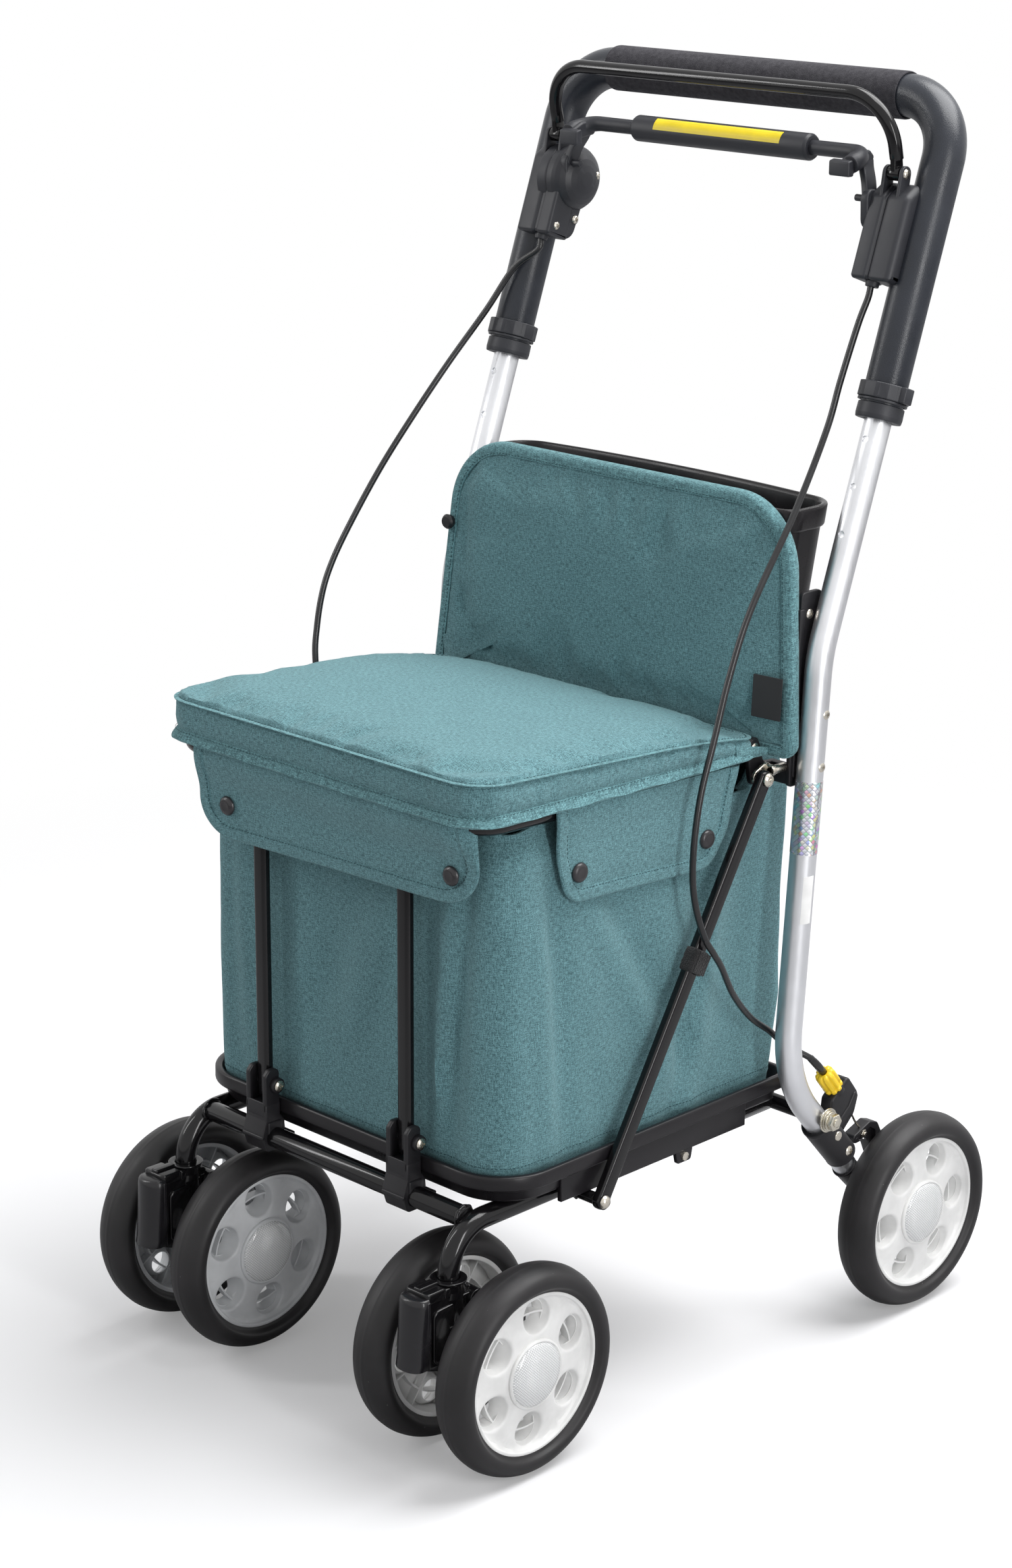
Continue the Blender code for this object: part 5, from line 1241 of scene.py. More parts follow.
def makeBase():
    s = baseSettings
    shells = [rod((-0.1405, *s["frontBar"]), (0.1405, *s["frontBar"]), s["rail"], sides=36),
              rod((-0.1762, *s["hinge"]), (0.1762, *s["hinge"]), 0.0062, sides=28)]
    bolts = []
    for sign in bothSigns:
        x = sign * s["railX"]
        path = filletPath(((x, s["hinge"][0] - 0.003, s["railZ"]), (x, -0.034, s["railZ"]), (x, -0.034, 0.124)),
                          0.035, 18)
        shells.append(sweep(path, s["rail"], 32, soft=0.0006))
        shells.append(weldBead((sign * 0.1385, *s["frontBar"]), (1, 0, 0), s["rail"] + 0.0003, 0.0014, 3 + sign))
        shells.append(weldBead((x - sign * 0.0075, *s["hinge"]), (1, 0, 0), 0.0064, 0.0012, 7 + sign))
        shells.append(sideRod(sign * 0.15, sign * 0.1717, s["strutFoot"], 0.0046))
        shells.append(weldBead((sign * 0.153, *s["strutFoot"]), (1, 0, 0), 0.0047, 0.001, 11 + sign))
        bolts.append(sideRod(sign * 0.174, sign * 0.212, s["hinge"], 0.004))
        bolts.append(sideRod(sign * 0.2043, sign * 0.2056, s["hinge"], 0.0098))
        bolts.append(sideRod(sign * 0.2057, sign * 0.2072, s["hinge"], 0.0086))
        bolts.append(sideRod(sign * 0.2074, sign * 0.2088, s["hinge"], 0.0078))
        bolts.append(moved(hexNut(0.0069, 0.0044, 0.0034), facing(sign * 0.2088, s["hinge"], sign)))
    finishPiece("base_tubes", shells, "base", looks["enamel"], ["base_frame"], 50)
    finishPiece("hinge_bolts", bolts, "base", looks["brass"], sharp=30)
    for side, sign in bothSides:
        makeBracket(side, sign * s["uprightX"])
    print("base made")


def makeBracket(side, x):
    # moulded clamp on the front bar: base block, two cheeks with rounded tops, a boss with the pin's screw
    s = baseSettings
    foot = roundedOutline(((-0.0205, 0.202), (-0.0245, 0.19), (-0.02, 0.1762), (-0.005, 0.1762), (-0.0008, 0.185),
                           (-0.002, 0.199), (-0.0064, 0.204), (-0.0064, 0.214), (-0.0205, 0.214)),
                           [0.003, 0.005, 0.004, 0.004, 0.003, 0.003, 0.002, 0.0, 0.0], 5)
    cheek = roundedOutline(((-0.0205, 0.208), (-0.0064, 0.208), (-0.0064, 0.2395), (-0.01, 0.242), (-0.0165, 0.242),
                            (-0.0205, 0.2375)),
                           [0.001, 0.001, 0.004, 0.004, 0.004, 0.004], 6)
    shells = [slab(foot, 0.023, sidePlane(x), 0.0009)]
    shells += [slab(cheek, 0.0044, sidePlane(x + d), 0.0012) for d in (-0.0092, 0.0092)]
    shells.append(block((x - 0.01, -0.0206, 0.204), (x + 0.01, -0.0186, 0.2158), 0.0008))
    shells.append(block((x + 0.009, -0.019, 0.186), (x + 0.0128, -0.006, 0.2), 0.001))
    shells.append(block((x + 0.006, -0.005, 0.1775), (x + 0.02, 0.001, 0.1905), 0.001))
    shells.append(block((x - 0.0115, -0.0249, 0.187), (x + 0.0115, -0.0215, 0.19), 0.001))
    shells.append(lathe(roundProfile([(0, 0.0042), (0.0058, 0.0042), (0.0062, 0.0), (0, 0.0)], 0.0008, 3),
                        facing(x + 0.0112, s["uprightFoot"]), 32))
    shells.append(sideRod(x - 0.012, x + 0.0112, s["uprightFoot"], 0.0026))
    finishPiece("bracket_" + side, shells, "base", looks["moulded"], ["upright_bracket_" + side], 40)
    fasteners("bracket_screw_" + side, panHead(0.0044, 0.0022), [((x + 0.0153, *s["uprightFoot"]), (1, 0, 0)),
                                                                ((x - 0.0114, *s["uprightFoot"]), (-1, 0, 0))],
                                                                "base", "zinc")


traySettings = {
    "halfWidth": 0.171,
    "front": -0.0055,
    "rear": 0.316,
}


def makeTray():
    s = traySettings

    def ring(inset, z):
        outline = panOutline(s["halfWidth"] - inset, s["front"] + inset, s["rear"] - inset, 0.046 - inset * 0.6,
                             0.018 - inset * 0.6, 14, 10)
        return [(x, y, z) for x, y in outline]

    levels = ((0.0098, 0.1936), (0.0085, 0.1942), (0.0076, 0.196), (0.0068, 0.203), (0.0062, 0.2044), (0.0012, 0.205),
              (0.0003, 0.2056), (0.0, 0.2066), (0.0001, 0.2148), (0.0006, 0.216), (0.0016, 0.2166), (0.0036, 0.2166),
              (0.0046, 0.2162), (0.0052, 0.215), (0.009, 0.1985), (0.0105, 0.1962), (0.013, 0.1958), (0.06, 0.1958))
    shells = [loft([ring(*level) for level in levels])]
    for sign in bothSigns:
        shells.append(sideBlock(sign, (0.1615, 0.06, 0.1838), (0.1658, 0.264, 0.2052), 0.001))
        tab = roundedOutline(((0.1845, 0.186), (0.2045, 0.186), (0.202, 0.1745), (0.187, 0.1745)), 0.0025, 5)
        shells.append(slab(tab, 0.0036, sidePlane(sign * 0.1636), 0.0006))
        for y in (0.1, 0.14, 0.225):
            shells.append(sideBlock(sign, (0.158, y, 0.1845), (0.1625, y + 0.0016, 0.2), 0.0004))
    for x in (-0.11, -0.055, 0.0, 0.055, 0.11):
        shells.append(block((x - 0.0012, 0.02, 0.19), (x + 0.0012, 0.27, 0.1945), 0.0006))
    finishPiece("bag_tray", shells, "base", looks["trayBlack"], ["tray"], 45)
    pins = [sideRod(sign * 0.16, sign * 0.1672, (0.1945, 0.1795), 0.0034) for sign in bothSigns]
    finishPiece("tray_pins", pins, "base", looks["zinc"])
    print("tray made")


bagSettings = {
    "halfWidth": 0.1585,
    "front": 0.0028,
    "rear": 0.305,
    "bottom": 0.1985,
    "top": 0.47,
    "middle": 0.145,        # along the floor, between front and rear
    "wall": 0.0022,
    "fold": 0.0042,         # depth of the soft folds
}


def ringTop(y):
    return 0.4825 - 0.032 * y


def bagShare(z):
    # 0 at the bag's foot, 1 at its mouth
    s = bagSettings
    return (z - s["bottom"]) / (s["top"] - s["bottom"])


def bagRow(z):
    # one level of the bag: the pan outline, fuller low down, drawn in where it passes under the seat ring
    s = bagSettings
    share = bagShare(z)
    rear = s["rear"] + 0.012 * min(1.0, max(0.0, (z - 0.218) / 0.06))
    tuck = max(0.0, (share - 0.9) / 0.1)
    foot = max(0.0, (0.03 - (z - s["bottom"])) / 0.03)
    lean = 0.0035 * foot ** 2 + 0.0085 * tuck * tuck * (3 - 2 * tuck)
    outline = panOutline(s["halfWidth"] - lean, s["front"] + lean, rear - min(lean, 0.004), 0.03 - 0.4 * lean,
                         0.0085 - 0.4 * lean, 14, 34)
    return [Vector((x, y, z)) for x, y in outline]


def bagFold(p, share):
    # soft sag and folds: long ones down the walls, slanted ones from the flaps, puckers over the hem
    s = bagSettings
    belly = math.sin(math.pi * min(1.0, max(0.0, share))) ** 0.8
    around = math.atan2(p.y - s["middle"], p.x)
    wall = noise.noise(Vector((around * 2.6, p.z * 3.0, 4.2))) * 0.9

    def crease(u, centre, width, slope=0.0, turn=0.33):
        return math.exp(-((u - centre + (turn - p.z) * slope) / width) ** 2)

    if p.y < 0.03:                  # front: folds beside both corners and a slanted one in the middle
        wall += 1.2 * crease(p.x, 0.104, 0.007, 0.1) - 1.3 * crease(p.x, 0.118, 0.009,
                                                                    0.1) + 0.9 * crease(p.x, -0.11, 0.01, -0.08)
        wall += 0.7 * crease(p.x, 0.02, 0.02, 0.55) - 0.6 * crease(p.x, -0.02, 0.018,
                                                                   0.5) - 0.5 * crease(p.x, -0.126, 0.009)
    elif abs(p.x) > 0.12:           # sides: the front corner's folds, drags under the flap, one long fold at the rear
        wall += 1.1 * crease(p.y, 0.046, 0.008, -0.06) - 1.2 * crease(p.y, 0.062, 0.01, -0.1)
        wall += 0.9 * crease(p.y, 0.118, 0.012, -0.55, 0.36) - 0.9 * crease(p.y, 0.14, 0.012, -0.6, 0.36)
        wall += -1.3 * crease(p.y, 0.205, 0.01, 0.16) + 1.0 * crease(p.y, 0.226, 0.012, 0.16)
        wall -= 0.9 * min(1.0, max(0.0, (p.y - 0.2) / 0.06))
        wall += 0.6 * crease(p.y, 0.17, 0.012, 0.4, 0.26) - 0.5 * crease(p.y, 0.092, 0.011, -0.3, 0.28)
    pucker = math.sin(around * 46) * noise.noise(Vector((around * 7, 0,
                                                         9))) * math.exp(-((share - 0.05) / 0.05) ** 2) * 0.35
    fine = noise.noise(Vector((around * 14, p.z * 26, 1.1))) * 0.22
    return s["fold"] * (belly * (wall + fine) + pucker) + 0.0016 * belly


def bagSkin():
    s = bagSettings
    levels = [s["bottom"] + 0.0002 + (s["top"] - s["bottom"]) * (k / 88) for k in range(89)]
    rows = []
    for z in levels:
        share = bagShare(z)
        row = bagRow(z)
        count = len(row)
        made = []
        for k, p in enumerate(row):
            along = row[(k + 1) % count] - row[k - 1]
            out = Vector((along.y, -along.x, 0)).normalized()
            hem = 0.0006 if 0.218 > z > 0.2165 else (-0.0005 if 0.22 > z > 0.218 else 0.0)
            limit = 1.0
            if p.y < 0.05 and abs(abs(p.x) - 0.077) < 0.02:
                limit = 0.25            # clear of the uprights
            push = bagFold(p, share) * limit
            if abs(out.x) > 0.8:
                push = min(push, 0.0045 - 0.004 * min(1.0, max(0.0, (z - 0.385) / 0.03)))
            q = p + out * (push + hem)
            if share > 0.93:            # the mouth follows the ring, lower behind
                topZ = (ringTop(p.y) - 0.0062) if p.y < 0.236 else 0.452 + 0.02 * min(1.0,
                                                                                      max(0.0, (p.y - 0.266) / 0.012))
                topZ -= 0.0105 * math.exp(-((p.x - 0.158) ** 2 + (p.y - 0.016) ** 2) / 0.026 ** 2)
                q.z = 0.452 + (z - 0.451) / (s["top"] - 0.451) * (topZ - 0.452) if z > 0.451 else q.z
            made.append(q)
        rows.append(made)
    return rows


def edgeDistance(points, outline, closed=True):
    # distance of flat points to an outline
    shape = np.array(outline, float)
    a = shape if closed else shape[:-1]
    b = np.roll(shape, -1, 0) if closed else shape[1:]
    p = np.array(points, float)[:, None, :]
    d = b - a
    t = np.clip(((p - a) * d).sum(2) / np.maximum((d * d).sum(1), 1e-12), 0, 1)
    return np.linalg.norm(p - (a + t[..., None] * d), axis=2).min(1)


flapSettings = {
    "thickness": 0.0026,
    "hem": 0.0088,
    "frontLeft": -0.131,
    "frontRight": 0.153,
    "frontLow": 0.4195,
}


def flapBody(place, columns, low, high, edge, rows=46):
    # a flap as columns from its top to its rounded lower edge; place(u, z) gives the outer face and its way out
    outer, inner, flat = [], [], []
    for u in columns:
        for k in range(rows + 1):
            s = k / rows
            z = high(u) + (low(u) - high(u)) * (1 - (1 - s) ** 1.15)
            flat.append((u, z))
    distance = edgeDistance(flat, edge, closed=False)
    for (u, z), d in zip(flat, distance):
        p, out = place(u, z)
        hem = flapSettings["hem"]
        lift = 0.0
        if d < hem:
            lift = 0.0007 * min(1.0, d / 0.0014)
        elif d < hem + 0.0022:
            lift = 0.0007 - 0.0015 * math.sin(math.pi / 2 * (d - hem) / 0.0022) ** 0.6
        else:
            lift = -0.0008 * math.exp(-(d - hem - 0.0022) / 0.004)
        rim = max(0.0, 1.0 - d / 0.0012)
        outer.append(p + out * (lift - 0.0009 * rim * rim))
        inner.append(p - out * (flapSettings["thickness"] - 0.0009 * rim * rim))
    n = rows + 1
    m = len(columns)
    faces = []
    for i in range(m - 1):
        for k in range(rows):
            a, b, c, e = i * n + k, (i + 1) * n + k, (i + 1) * n + k + 1, i * n + k + 1
            faces.append((a, b, c, e))
            faces.append((m * n + a, m * n + e, m * n + c, m * n + b))
    rim = [k for k in range(n)] + [i * n + rows for i in range(1, m)] + [(m - 1) * n + k
                                                                         for k in range(rows - 1, -1, -1)]
    rim += [i * n for i in range(m - 2, 0, -1)]
    for a, b in zip(rim, rim[1:] + rim[:1]):
        faces.append((a, m * n + a, m * n + b, b))
    return outer + inner, faces, [0] * len(faces)


def ringFrontY(x):
    # the front of the seat ring's centre line
    over = max(0.0, abs(x) - 0.128)
    return -0.0215 + 0.03 - math.sqrt(max(0.0, 0.03 ** 2 - min(over, 0.03) ** 2))


def frontFlapPlace(x, z):
    hang = -0.0194 + 0.0062 * min(1.0, max(0.0, x - 0.09) / 0.06) ** 1.4 - 0.004 * min(1.0,
                                                                                       max(0.0, -0.09 - x) / 0.04)
    over = ringFrontY(x) - 0.0074
    s = min(1.0, max(0.0, (z - 0.45) / 0.03))
    s = s * s * (3 - 2 * s)
    y = hang + (min(over, hang) - hang) * s
    y += 0.0011 * noise.noise(Vector((x * 14, z * 22, 0.3))) * (1 - s)
    return Vector((x, y, z)), Vector((0, -1, 0))


def frontFlapLow(x):
    s = flapSettings
    r = 0.034
    nearEnd = min(x - s["frontLeft"], s["frontRight"] - x)
    lift = r - math.sqrt(max(0.0, r * r - max(0.0, r - nearEnd) ** 2))
    return s["frontLow"] + 0.9 * lift + 0.003 * math.sin((x + 0.02) * 12)


def sideFlapPlace(sign):
    def place(y, z):
        s = min(1.0, max(0.0, (z - 0.452) / 0.024))
        s = s * s * (3 - 2 * s)
        x = 0.1652 + 0.0022 * s + 0.0008 * noise.noise(Vector((y * 16, z * 24, 2.1 + sign)))
        return Vector((sign * x, y, z)), Vector((sign, 0, 0))
    return place


sideFlapCorners = ((0.0505, 0.485), (0.0535, 0.445), (0.064, 0.411), (0.135, 0.408), (0.215, 0.403), (0.235, 0.43),
                   (0.244, 0.48))


def sideFlapLow(outline):
    table = sorted((y, z) for y, z in outline)
    ys = [p[0] for p in table]
    zs = [p[1] for p in table]
    return lambda y: float(np.interp(y, ys, zs))


def denseColumns(a, b, count):
    # columns that crowd towards both ends, for the round corners
    return [a + (b - a) * (0.5 - 0.5 * math.cos(math.pi * min(1, max(0, k / count)))) * 1.0 for k in range(count + 1)]


def makeBag():
    s = bagSettings
    rows = bagSkin()
    inside = []
    for row in reversed(rows[2:]):
        inner = []
        for k, p in enumerate(row):
            along = row[(k + 1) % len(row)] - row[k - 1]
            out = Vector((along.y, -along.x, 0)).normalized()
            inner.append(p - out * s["wall"])
        inside.append(inner)
    skin = rows + inside
    floorRow = [Vector((p.x * 0.4, s["middle"] + (p.y - s["middle"]) * 0.4, 0.2012)) for p in inside[-1]]
    verts, faces, _ = gridSkin(skin + [floorRow], loop=True)
    n = len(rows[0])
    faces += [tuple(range(n)), tuple(range(len(verts) - n, len(verts)))]
    bag = finishPiece("fabric_bag", [(verts, faces, [0] * len(faces))], "seat_ring", looks["cloth"], ["bag"],
                      60)
    weaveMap(bag.data)
    bottomLine = [p.copy() for p in rows[7]]
    for k, p in enumerate(bottomLine):
        along = rows[7][(k + 1) % n] - rows[7][k - 1]
        p += Vector((along.y, -along.x, 0)).normalized() * 0.0004
    hemStitch = stitches("bag_stitches", [(bottomLine, True)], "seat_ring")
    pieces = [bag, hemStitch]
    # front flap and its binding, snaps and stitches
    left, right = flapSettings["frontLeft"], flapSettings["frontRight"]
    columns = denseColumns(left, right, 150)
    topZ = 0.4858
    edge = [(left, topZ)] + [(x, frontFlapLow(x)) for x in columns] + [(right, topZ)]
    front = flapBody(frontFlapPlace, columns, frontFlapLow, lambda x: topZ, edge)
    flap = finishPiece("front_flap", [front], "seat_ring", looks["cloth"], sharp=60)
    weaveMap(flap.data)
    seam = seamLine(edge, flapSettings["hem"] + 0.0008, frontFlapPlace)
    held = [stitches("front_flap_stitches", [(seam, False)], "seat_ring")]
    spots = [(frontFlapPlace(x, z)[0] + Vector((0, -0.0006, 0)), (0, -1, 0)) for x,
             z in ((0.13, 0.444), (-0.102, 0.4435))]
    held.append(fasteners("front_snaps", snapHead(), spots, "seat_ring", "snap"))
    for side, sign in bothSides:
        outline = roundedOutline(sideFlapCorners, [0.0, 0.02, 0.022, 0.05, 0.022, 0.02, 0.0], 8)
        place = sideFlapPlace(sign)
        low = sideFlapLow(outline)
        columns = denseColumns(0.0507, 0.2438, 110)
        edge = [(p[0], p[1]) for p in sorted(outline)]
        flat = flapBody(place, columns, low, lambda y: ringTop(y) + 0.003, edge)
        flap = finishPiece("side_flap_" + side, [flat], "seat_ring", looks["cloth"], sharp=60)
        weaveMap(flap.data)
        held = [stitches("side_flap_stitches_" + side, [(seamLine(edge, flapSettings["hem"] + 0.0008, place), False)],
                         "seat_ring")]
        spots = [(place(y, z)[0] + Vector((sign * 0.0006, 0, 0)), (sign, 0, 0)) for y,
                 z in ((0.075, 0.4335), (0.2105, 0.4275))]
        held.append(fasteners("side_snaps_" + side, snapHead(), spots, "seat_ring", "snap"))
    for piece in pieces:
        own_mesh(piece)
    print("bag made")


def seamLine(edge, inset, place):
    shape = np.array(edge, float)
    ahead = np.gradient(shape, axis=0)
    ahead /= np.maximum(np.linalg.norm(ahead, axis=1), 1e-9)[:, None]
    way = np.stack([-ahead[:, 1], ahead[:, 0]], 1)
    moved = shape + way * inset
    keep = edgeDistance(moved, edge, closed=False) > inset * 0.985
    line = [p for p, k in zip(moved, keep) if k]
    return [place(u, z)[0] + place(u, z)[1] * 0.0001 for u, z in line]


# ---- padded seat lid

seatSettings = {
    "halfWidth": 0.1695,
    "front": -0.031,
    "rear": 0.268,
    "cornerRadius": 0.03,
    "pressure": 1.4,
    "travel": 0.0035,
    "seamFoot": 0.0072,     # least height of the fold seam over the hem
    "middle": 0.118,        # where the rings of the top and the floor shrink to
}


def seatHem(y):
    return 0.4866 - 0.023 * y


def seatSeam(y):
    # height of the fold seam round the lid's upper edge, eased down towards the hinge
    foot, full = seatSettings["seamFoot"], 0.5147 - 0.057 * y
    ease = float(np.interp(y, (0.165, 0.2, 0.235, 0.262, 0.269), (1.0, 0.93, 0.78, 0.5, 0.4)))
    return seatHem(y) + foot + (full - seatHem(y) - foot) * ease


def seatOutline(inset, steps=26, sides=90):
    s = seatSettings
    return panOutline(s["halfWidth"] - inset, s["front"] + inset, s["rear"] - inset, s["cornerRadius"] - inset * 0.7,
                      0.02 - inset * 0.4, steps, sides)


def seatTop(x, y):
    # crowned top: fullest a little forward of the middle
    s = seatSettings
    across = 1 - (abs(x) / s["halfWidth"]) ** 5
    middle = (s["front"] + s["rear"]) / 2
    along = 1 - (abs(y - middle) / ((s["rear"] - s["front"]) / 2)) ** 5
    ease = float(np.interp(y, (0.17, 0.27), (1.0, 0.35)))
    return 0.0125 * max(0.0, across) ** 0.6 * max(0.0, along) ** 0.6 * ease


def seatShell():
    middle = seatSettings["middle"]
    rings = []
    for share in (0.02, 0.2, 0.45, 0.72, 1.0):
        rings.append([(x * share, middle + (y - middle) * share, seatHem(y) + 0.0006) for x, y in seatOutline(0.01)])
    rings.append([(x, y, seatHem(y) - 0.0004) for x, y in seatOutline(0.0085)])
    for share in np.linspace(0.0, 1.0, 13):
        inset = float(np.interp(share, (0.0, 0.1, 0.3, 0.5, 0.7, 0.9, 1.0),
                                (0.0062, 0.0048, 0.0024, 0.0014, 0.0014, 0.0026, 0.0042)))
        rings.append([(x, y, seatHem(y) + (seatSeam(y) - seatHem(y)) * share) for x, y in seatOutline(inset)])
    top = seatOutline(0.0042)
    for share in (0.99, 0.975, 0.955, 0.93, 0.9, 0.87, 0.83, 0.79, 0.74, 0.69, 0.63, 0.57, 0.51, 0.45, 0.38, 0.31,
                  0.24, 0.17, 0.1, 0.03):
        ring = []
        for x, y in top:
            px, py = x * share, middle + (y - middle) * share
            ring.append((px, py, seatSeam(py) + seatTop(px, py)))
        rings.append(ring)
    return loft(rings)


def inflated(shell, name, held, voxel, pressure, travel):
    # short cloth run with pressure on a coarse copy; its shape is laid over the fine mesh
    thing = helper(shell, name)
    grid = thing.modifiers.new("grid", "REMESH")
    grid.mode = "VOXEL"
    grid.voxel_size = voxel
    coarse = taken(thing)
    cage = helper(coarse, name + "Cage")
    before = np.array([tuple(v.co) for v in cage.data.vertices])
    pins = cage.vertex_groups.new(name="held")
    for i, p in enumerate(before):
        pins.add([i], held(p), "REPLACE")
    step = cage.modifiers.new("cloth", "CLOTH")
    sets = step.settings
    sets.quality = 7
    sets.mass = 0.3
    sets.tension_stiffness = sets.compression_stiffness = 22
    sets.shear_stiffness = 12
    sets.bending_stiffness = 0.6
    sets.air_damping = 3
    sets.use_pressure = True
    sets.uniform_pressure_force = pressure
    sets.effector_weights.gravity = 0
    sets.vertex_group_mass = "held"
    sets.shrink_min = -0.035
    scene = bpy.context.scene
    for frameNumber in range(1, 21):
        scene.frame_set(frameNumber)
    bpy.context.view_layer.update()
    done = cage.evaluated_get(bpy.context.evaluated_depsgraph_get()).to_mesh()
    after = np.array([tuple(v.co) for v in done.vertices])
    scene.frame_set(1)
    shift = after - before
    size = np.linalg.norm(shift, axis=1)
    print(name, "moved", round(float(size.max()) * 1000, 1), "mm at most")
    shift *= np.minimum(1.0, travel / np.maximum(size, 1e-9))[:, None]
    old = cage.data
    bpy.data.objects.remove(cage, do_unlink=True)
    bpy.data.meshes.remove(old)
    return draggedAlong(shell, before, shift)


def draggedAlong(shell, cage, shift, reach=6):
    # moves the fine points with the nearest cage points
    tree = KDTree(len(cage))
    for i, p in enumerate(cage):
        tree.insert(p, i)
    tree.balance()
    made = []
    for v in shell[0]:
        near = tree.find_n(Vector(v), reach)
        weights = [1.0 / (d * d + 4e-6) for _, _, d in near]
        total = sum(weights)
        move = sum((Vector(shift[i]) * w for (_, i, _), w in zip(near, weights)), Vector()) / total
        made.append(Vector(v) + move)
    return made, shell[1], shell[2]


def seatHold(p):
    rim = seatSeam(p[1]) - 0.004
    return float(np.interp(p[2], (rim - 0.006, rim + 0.004), (1.0, 0.0)))


def seatPucker(p):
    # soft gathers in the side band, strongest round the front corners
    corner = math.exp(-((abs(p.x) - 0.15) ** 2 + (p.y + 0.012) ** 2) / 0.045 ** 2)
    along = math.atan2(p.y - seatSettings["middle"], p.x)
    wave = math.sin(along * 64
                    + 2.5 * noise.noise(Vector((along * 5, 0,
                                                3)))) * 0.6 + noise.noise(Vector((along * 30, p.z * 60, 1)))
    soft = noise.noise(Vector((p.x * 9, p.y * 9, p.z * 9))) * 0.8
    return 0.0008 * wave * (0.25 + 1.2 * corner) + 0.001 * soft


def seatBandOf(p):
    # 0 at the hem, 1 at the seam
    low, high = seatHem(p.y), seatSeam(p.y)
    return (p.z - low) / max(1e-6, high - low)


def detailed(shell):
    s = seatSettings
    made = []
    for v in shell[0]:
        p = Vector(v)
        share = seatBandOf(p)
        out = Vector((p.x, (p.y - s["middle"]) * 1.1, 0))
        # the way out of the rounded rectangle
        corner = Vector((max(0.0, abs(p.x) - (s["halfWidth"] - 0.045)) * (1 if p.x > 0 else -1),
                         p.y - min(max(p.y, s["front"] + 0.045), s["rear"] - 0.045), 0))
        out = corner.normalized() if corner.length > 1e-6 else out.normalized()
        if 0.12 < share < 1.02 and corner.length > 0.03:
            fade = math.sin(math.pi * min(1.0, max(0.0, (share - 0.12) / 0.9)))
            p += out * seatPucker(p) * fade
        elif share >= 1.02:
            p.z += 0.0008 * noise.noise(Vector((p.x * 11, p.y * 11, 0.5)))
        made.append(p)
    return made, shell[1], shell[2]


def seamRing(height, inset, lift=0.0):
    return [Vector((x, y, height(y) + lift)) for x, y in seatOutline(inset)]


def makeSeat():
    s = seatSettings
    fine = inflated(seatShell(), "seatPad", seatHold, 0.006, s["pressure"], s["travel"])
    fine = detailed(fine)
    pad = finishPiece("seat_pad", [fine], "seat_lid", looks["cloth"], ["seat"], 60)
    weaveMap(pad.data)
    # fold seam: a narrow raised lip round the upper edge, and the flared hem below
    lipOutline = [(-0.0011, -0.0004), (0.0006, -0.0009), (0.0024, -0.0002), (0.0026, 0.0005), (0.0012, 0.001),
                  (-0.001, 0.0008)]
    lip = sweep(seamRing(seatSeam, 0.003, 0.0003), 0.001, closed=True, outline=lipOutline, up=(0, 0, 1))
    hemRows = []
    for share, inset, drop in ((0, 0.005, 0.0084), (0.25, 0.0026, 0.0066), (0.6, 0.0006, 0.0036),
                               (0.85, -0.001, 0.0012), (1, -0.0016, 0.0)):
        row = []
        for k, (x, y) in enumerate(seatOutline(inset)):
            ripple = 0.0007 * math.sin(k * 0.37) * share
            row.append(Vector((x, y, seatHem(y) + drop + ripple)))
        hemRows.append(row)
    under = []
    for row, inset, drop in zip(reversed(hemRows), (0.0002, 0.0012, 0.003, 0.005, 0.0072),
                                (-0.0012, -0.0004, 0.0016, 0.004, 0.0066)):
        under.append([Vector((x, y, seatHem(y) + drop)) for x, y in seatOutline(inset)])
    hem = loft(hemRows + under, closed=True)
    trim = finishPiece("seat_trim", [lip, hem], "seat_lid", looks["hem"], sharp=60)
    weaveMap(trim.data)
    stitchLines = [(seamRing(seatSeam, 0.004, 0.0013), True), (seamRing(seatHem, 0.0012, 0.0062), True)]
    stitches("seat_stitches", stitchLines, "seat_lid", pitch=0.0034)
    pulls = []
    for sign in bothSigns:
        # the side band runs out to a flat tip behind the hinge
        rings = []
        for y, low, high, wide in ((0.238, 0.4812, 0.4925, 0.0022), (0.252, 0.4808, 0.4905, 0.0026),
                                   (0.264, 0.48, 0.488, 0.0024), (0.276, 0.479, 0.485, 0.002),
                                   (0.288, 0.478, 0.4818, 0.0016), (0.2955, 0.4778, 0.479, 0.001)):
            x, half = 0.168 - 0.06 * max(0.0, y - 0.262), wide / 2
            middle, tall = (low + high) / 2, (high - low) / 2
            rings.append([(sign * (x + half * math.cos(a)), y, middle + tall * math.sin(a))
                          for a in np.linspace(0, 2 * math.pi, 20, endpoint=False)])
        pulls.append(loft(rings if sign < 0 else rings[::-1]))
    ends = finishPiece("seat_ends", pulls, "seat_lid", looks["hem"], sharp=60)
    weaveMap(ends.data)
    print("seat made")


# ---- backrest panel and bin

backSettings = {
    "lowHalf": 0.19,
    "topHalf": 0.173,
    "low": 0.479,
    "top": 0.67,
    "thickness": 0.0086,
    "hem": 0.0085,
    "pressure": 1.6,
    "travel": 0.005,
}


def backFront(z):
    return 0.2825 + 0.057 * (z - 0.6)


def denseOutline(outline, pitch):
    made = []
    for i, a in enumerate(outline):
        b = outline[(i + 1) % len(outline)]
        made.append(a)
        gap = math.dist(a, b)
        if gap > pitch * 1.5:
            made += between(a, b, int(gap / pitch) - 1)
    return made


def backOutline(pitch=0.004):
    s = backSettings
    corners = ((s["lowHalf"], s["low"]), (s["topHalf"], s["top"]), (-s["topHalf"], s["top"]),
               (-s["lowHalf"], s["low"]))
    return denseOutline(roundedOutline(corners, [0.01, 0.058, 0.058, 0.01], 16), pitch)


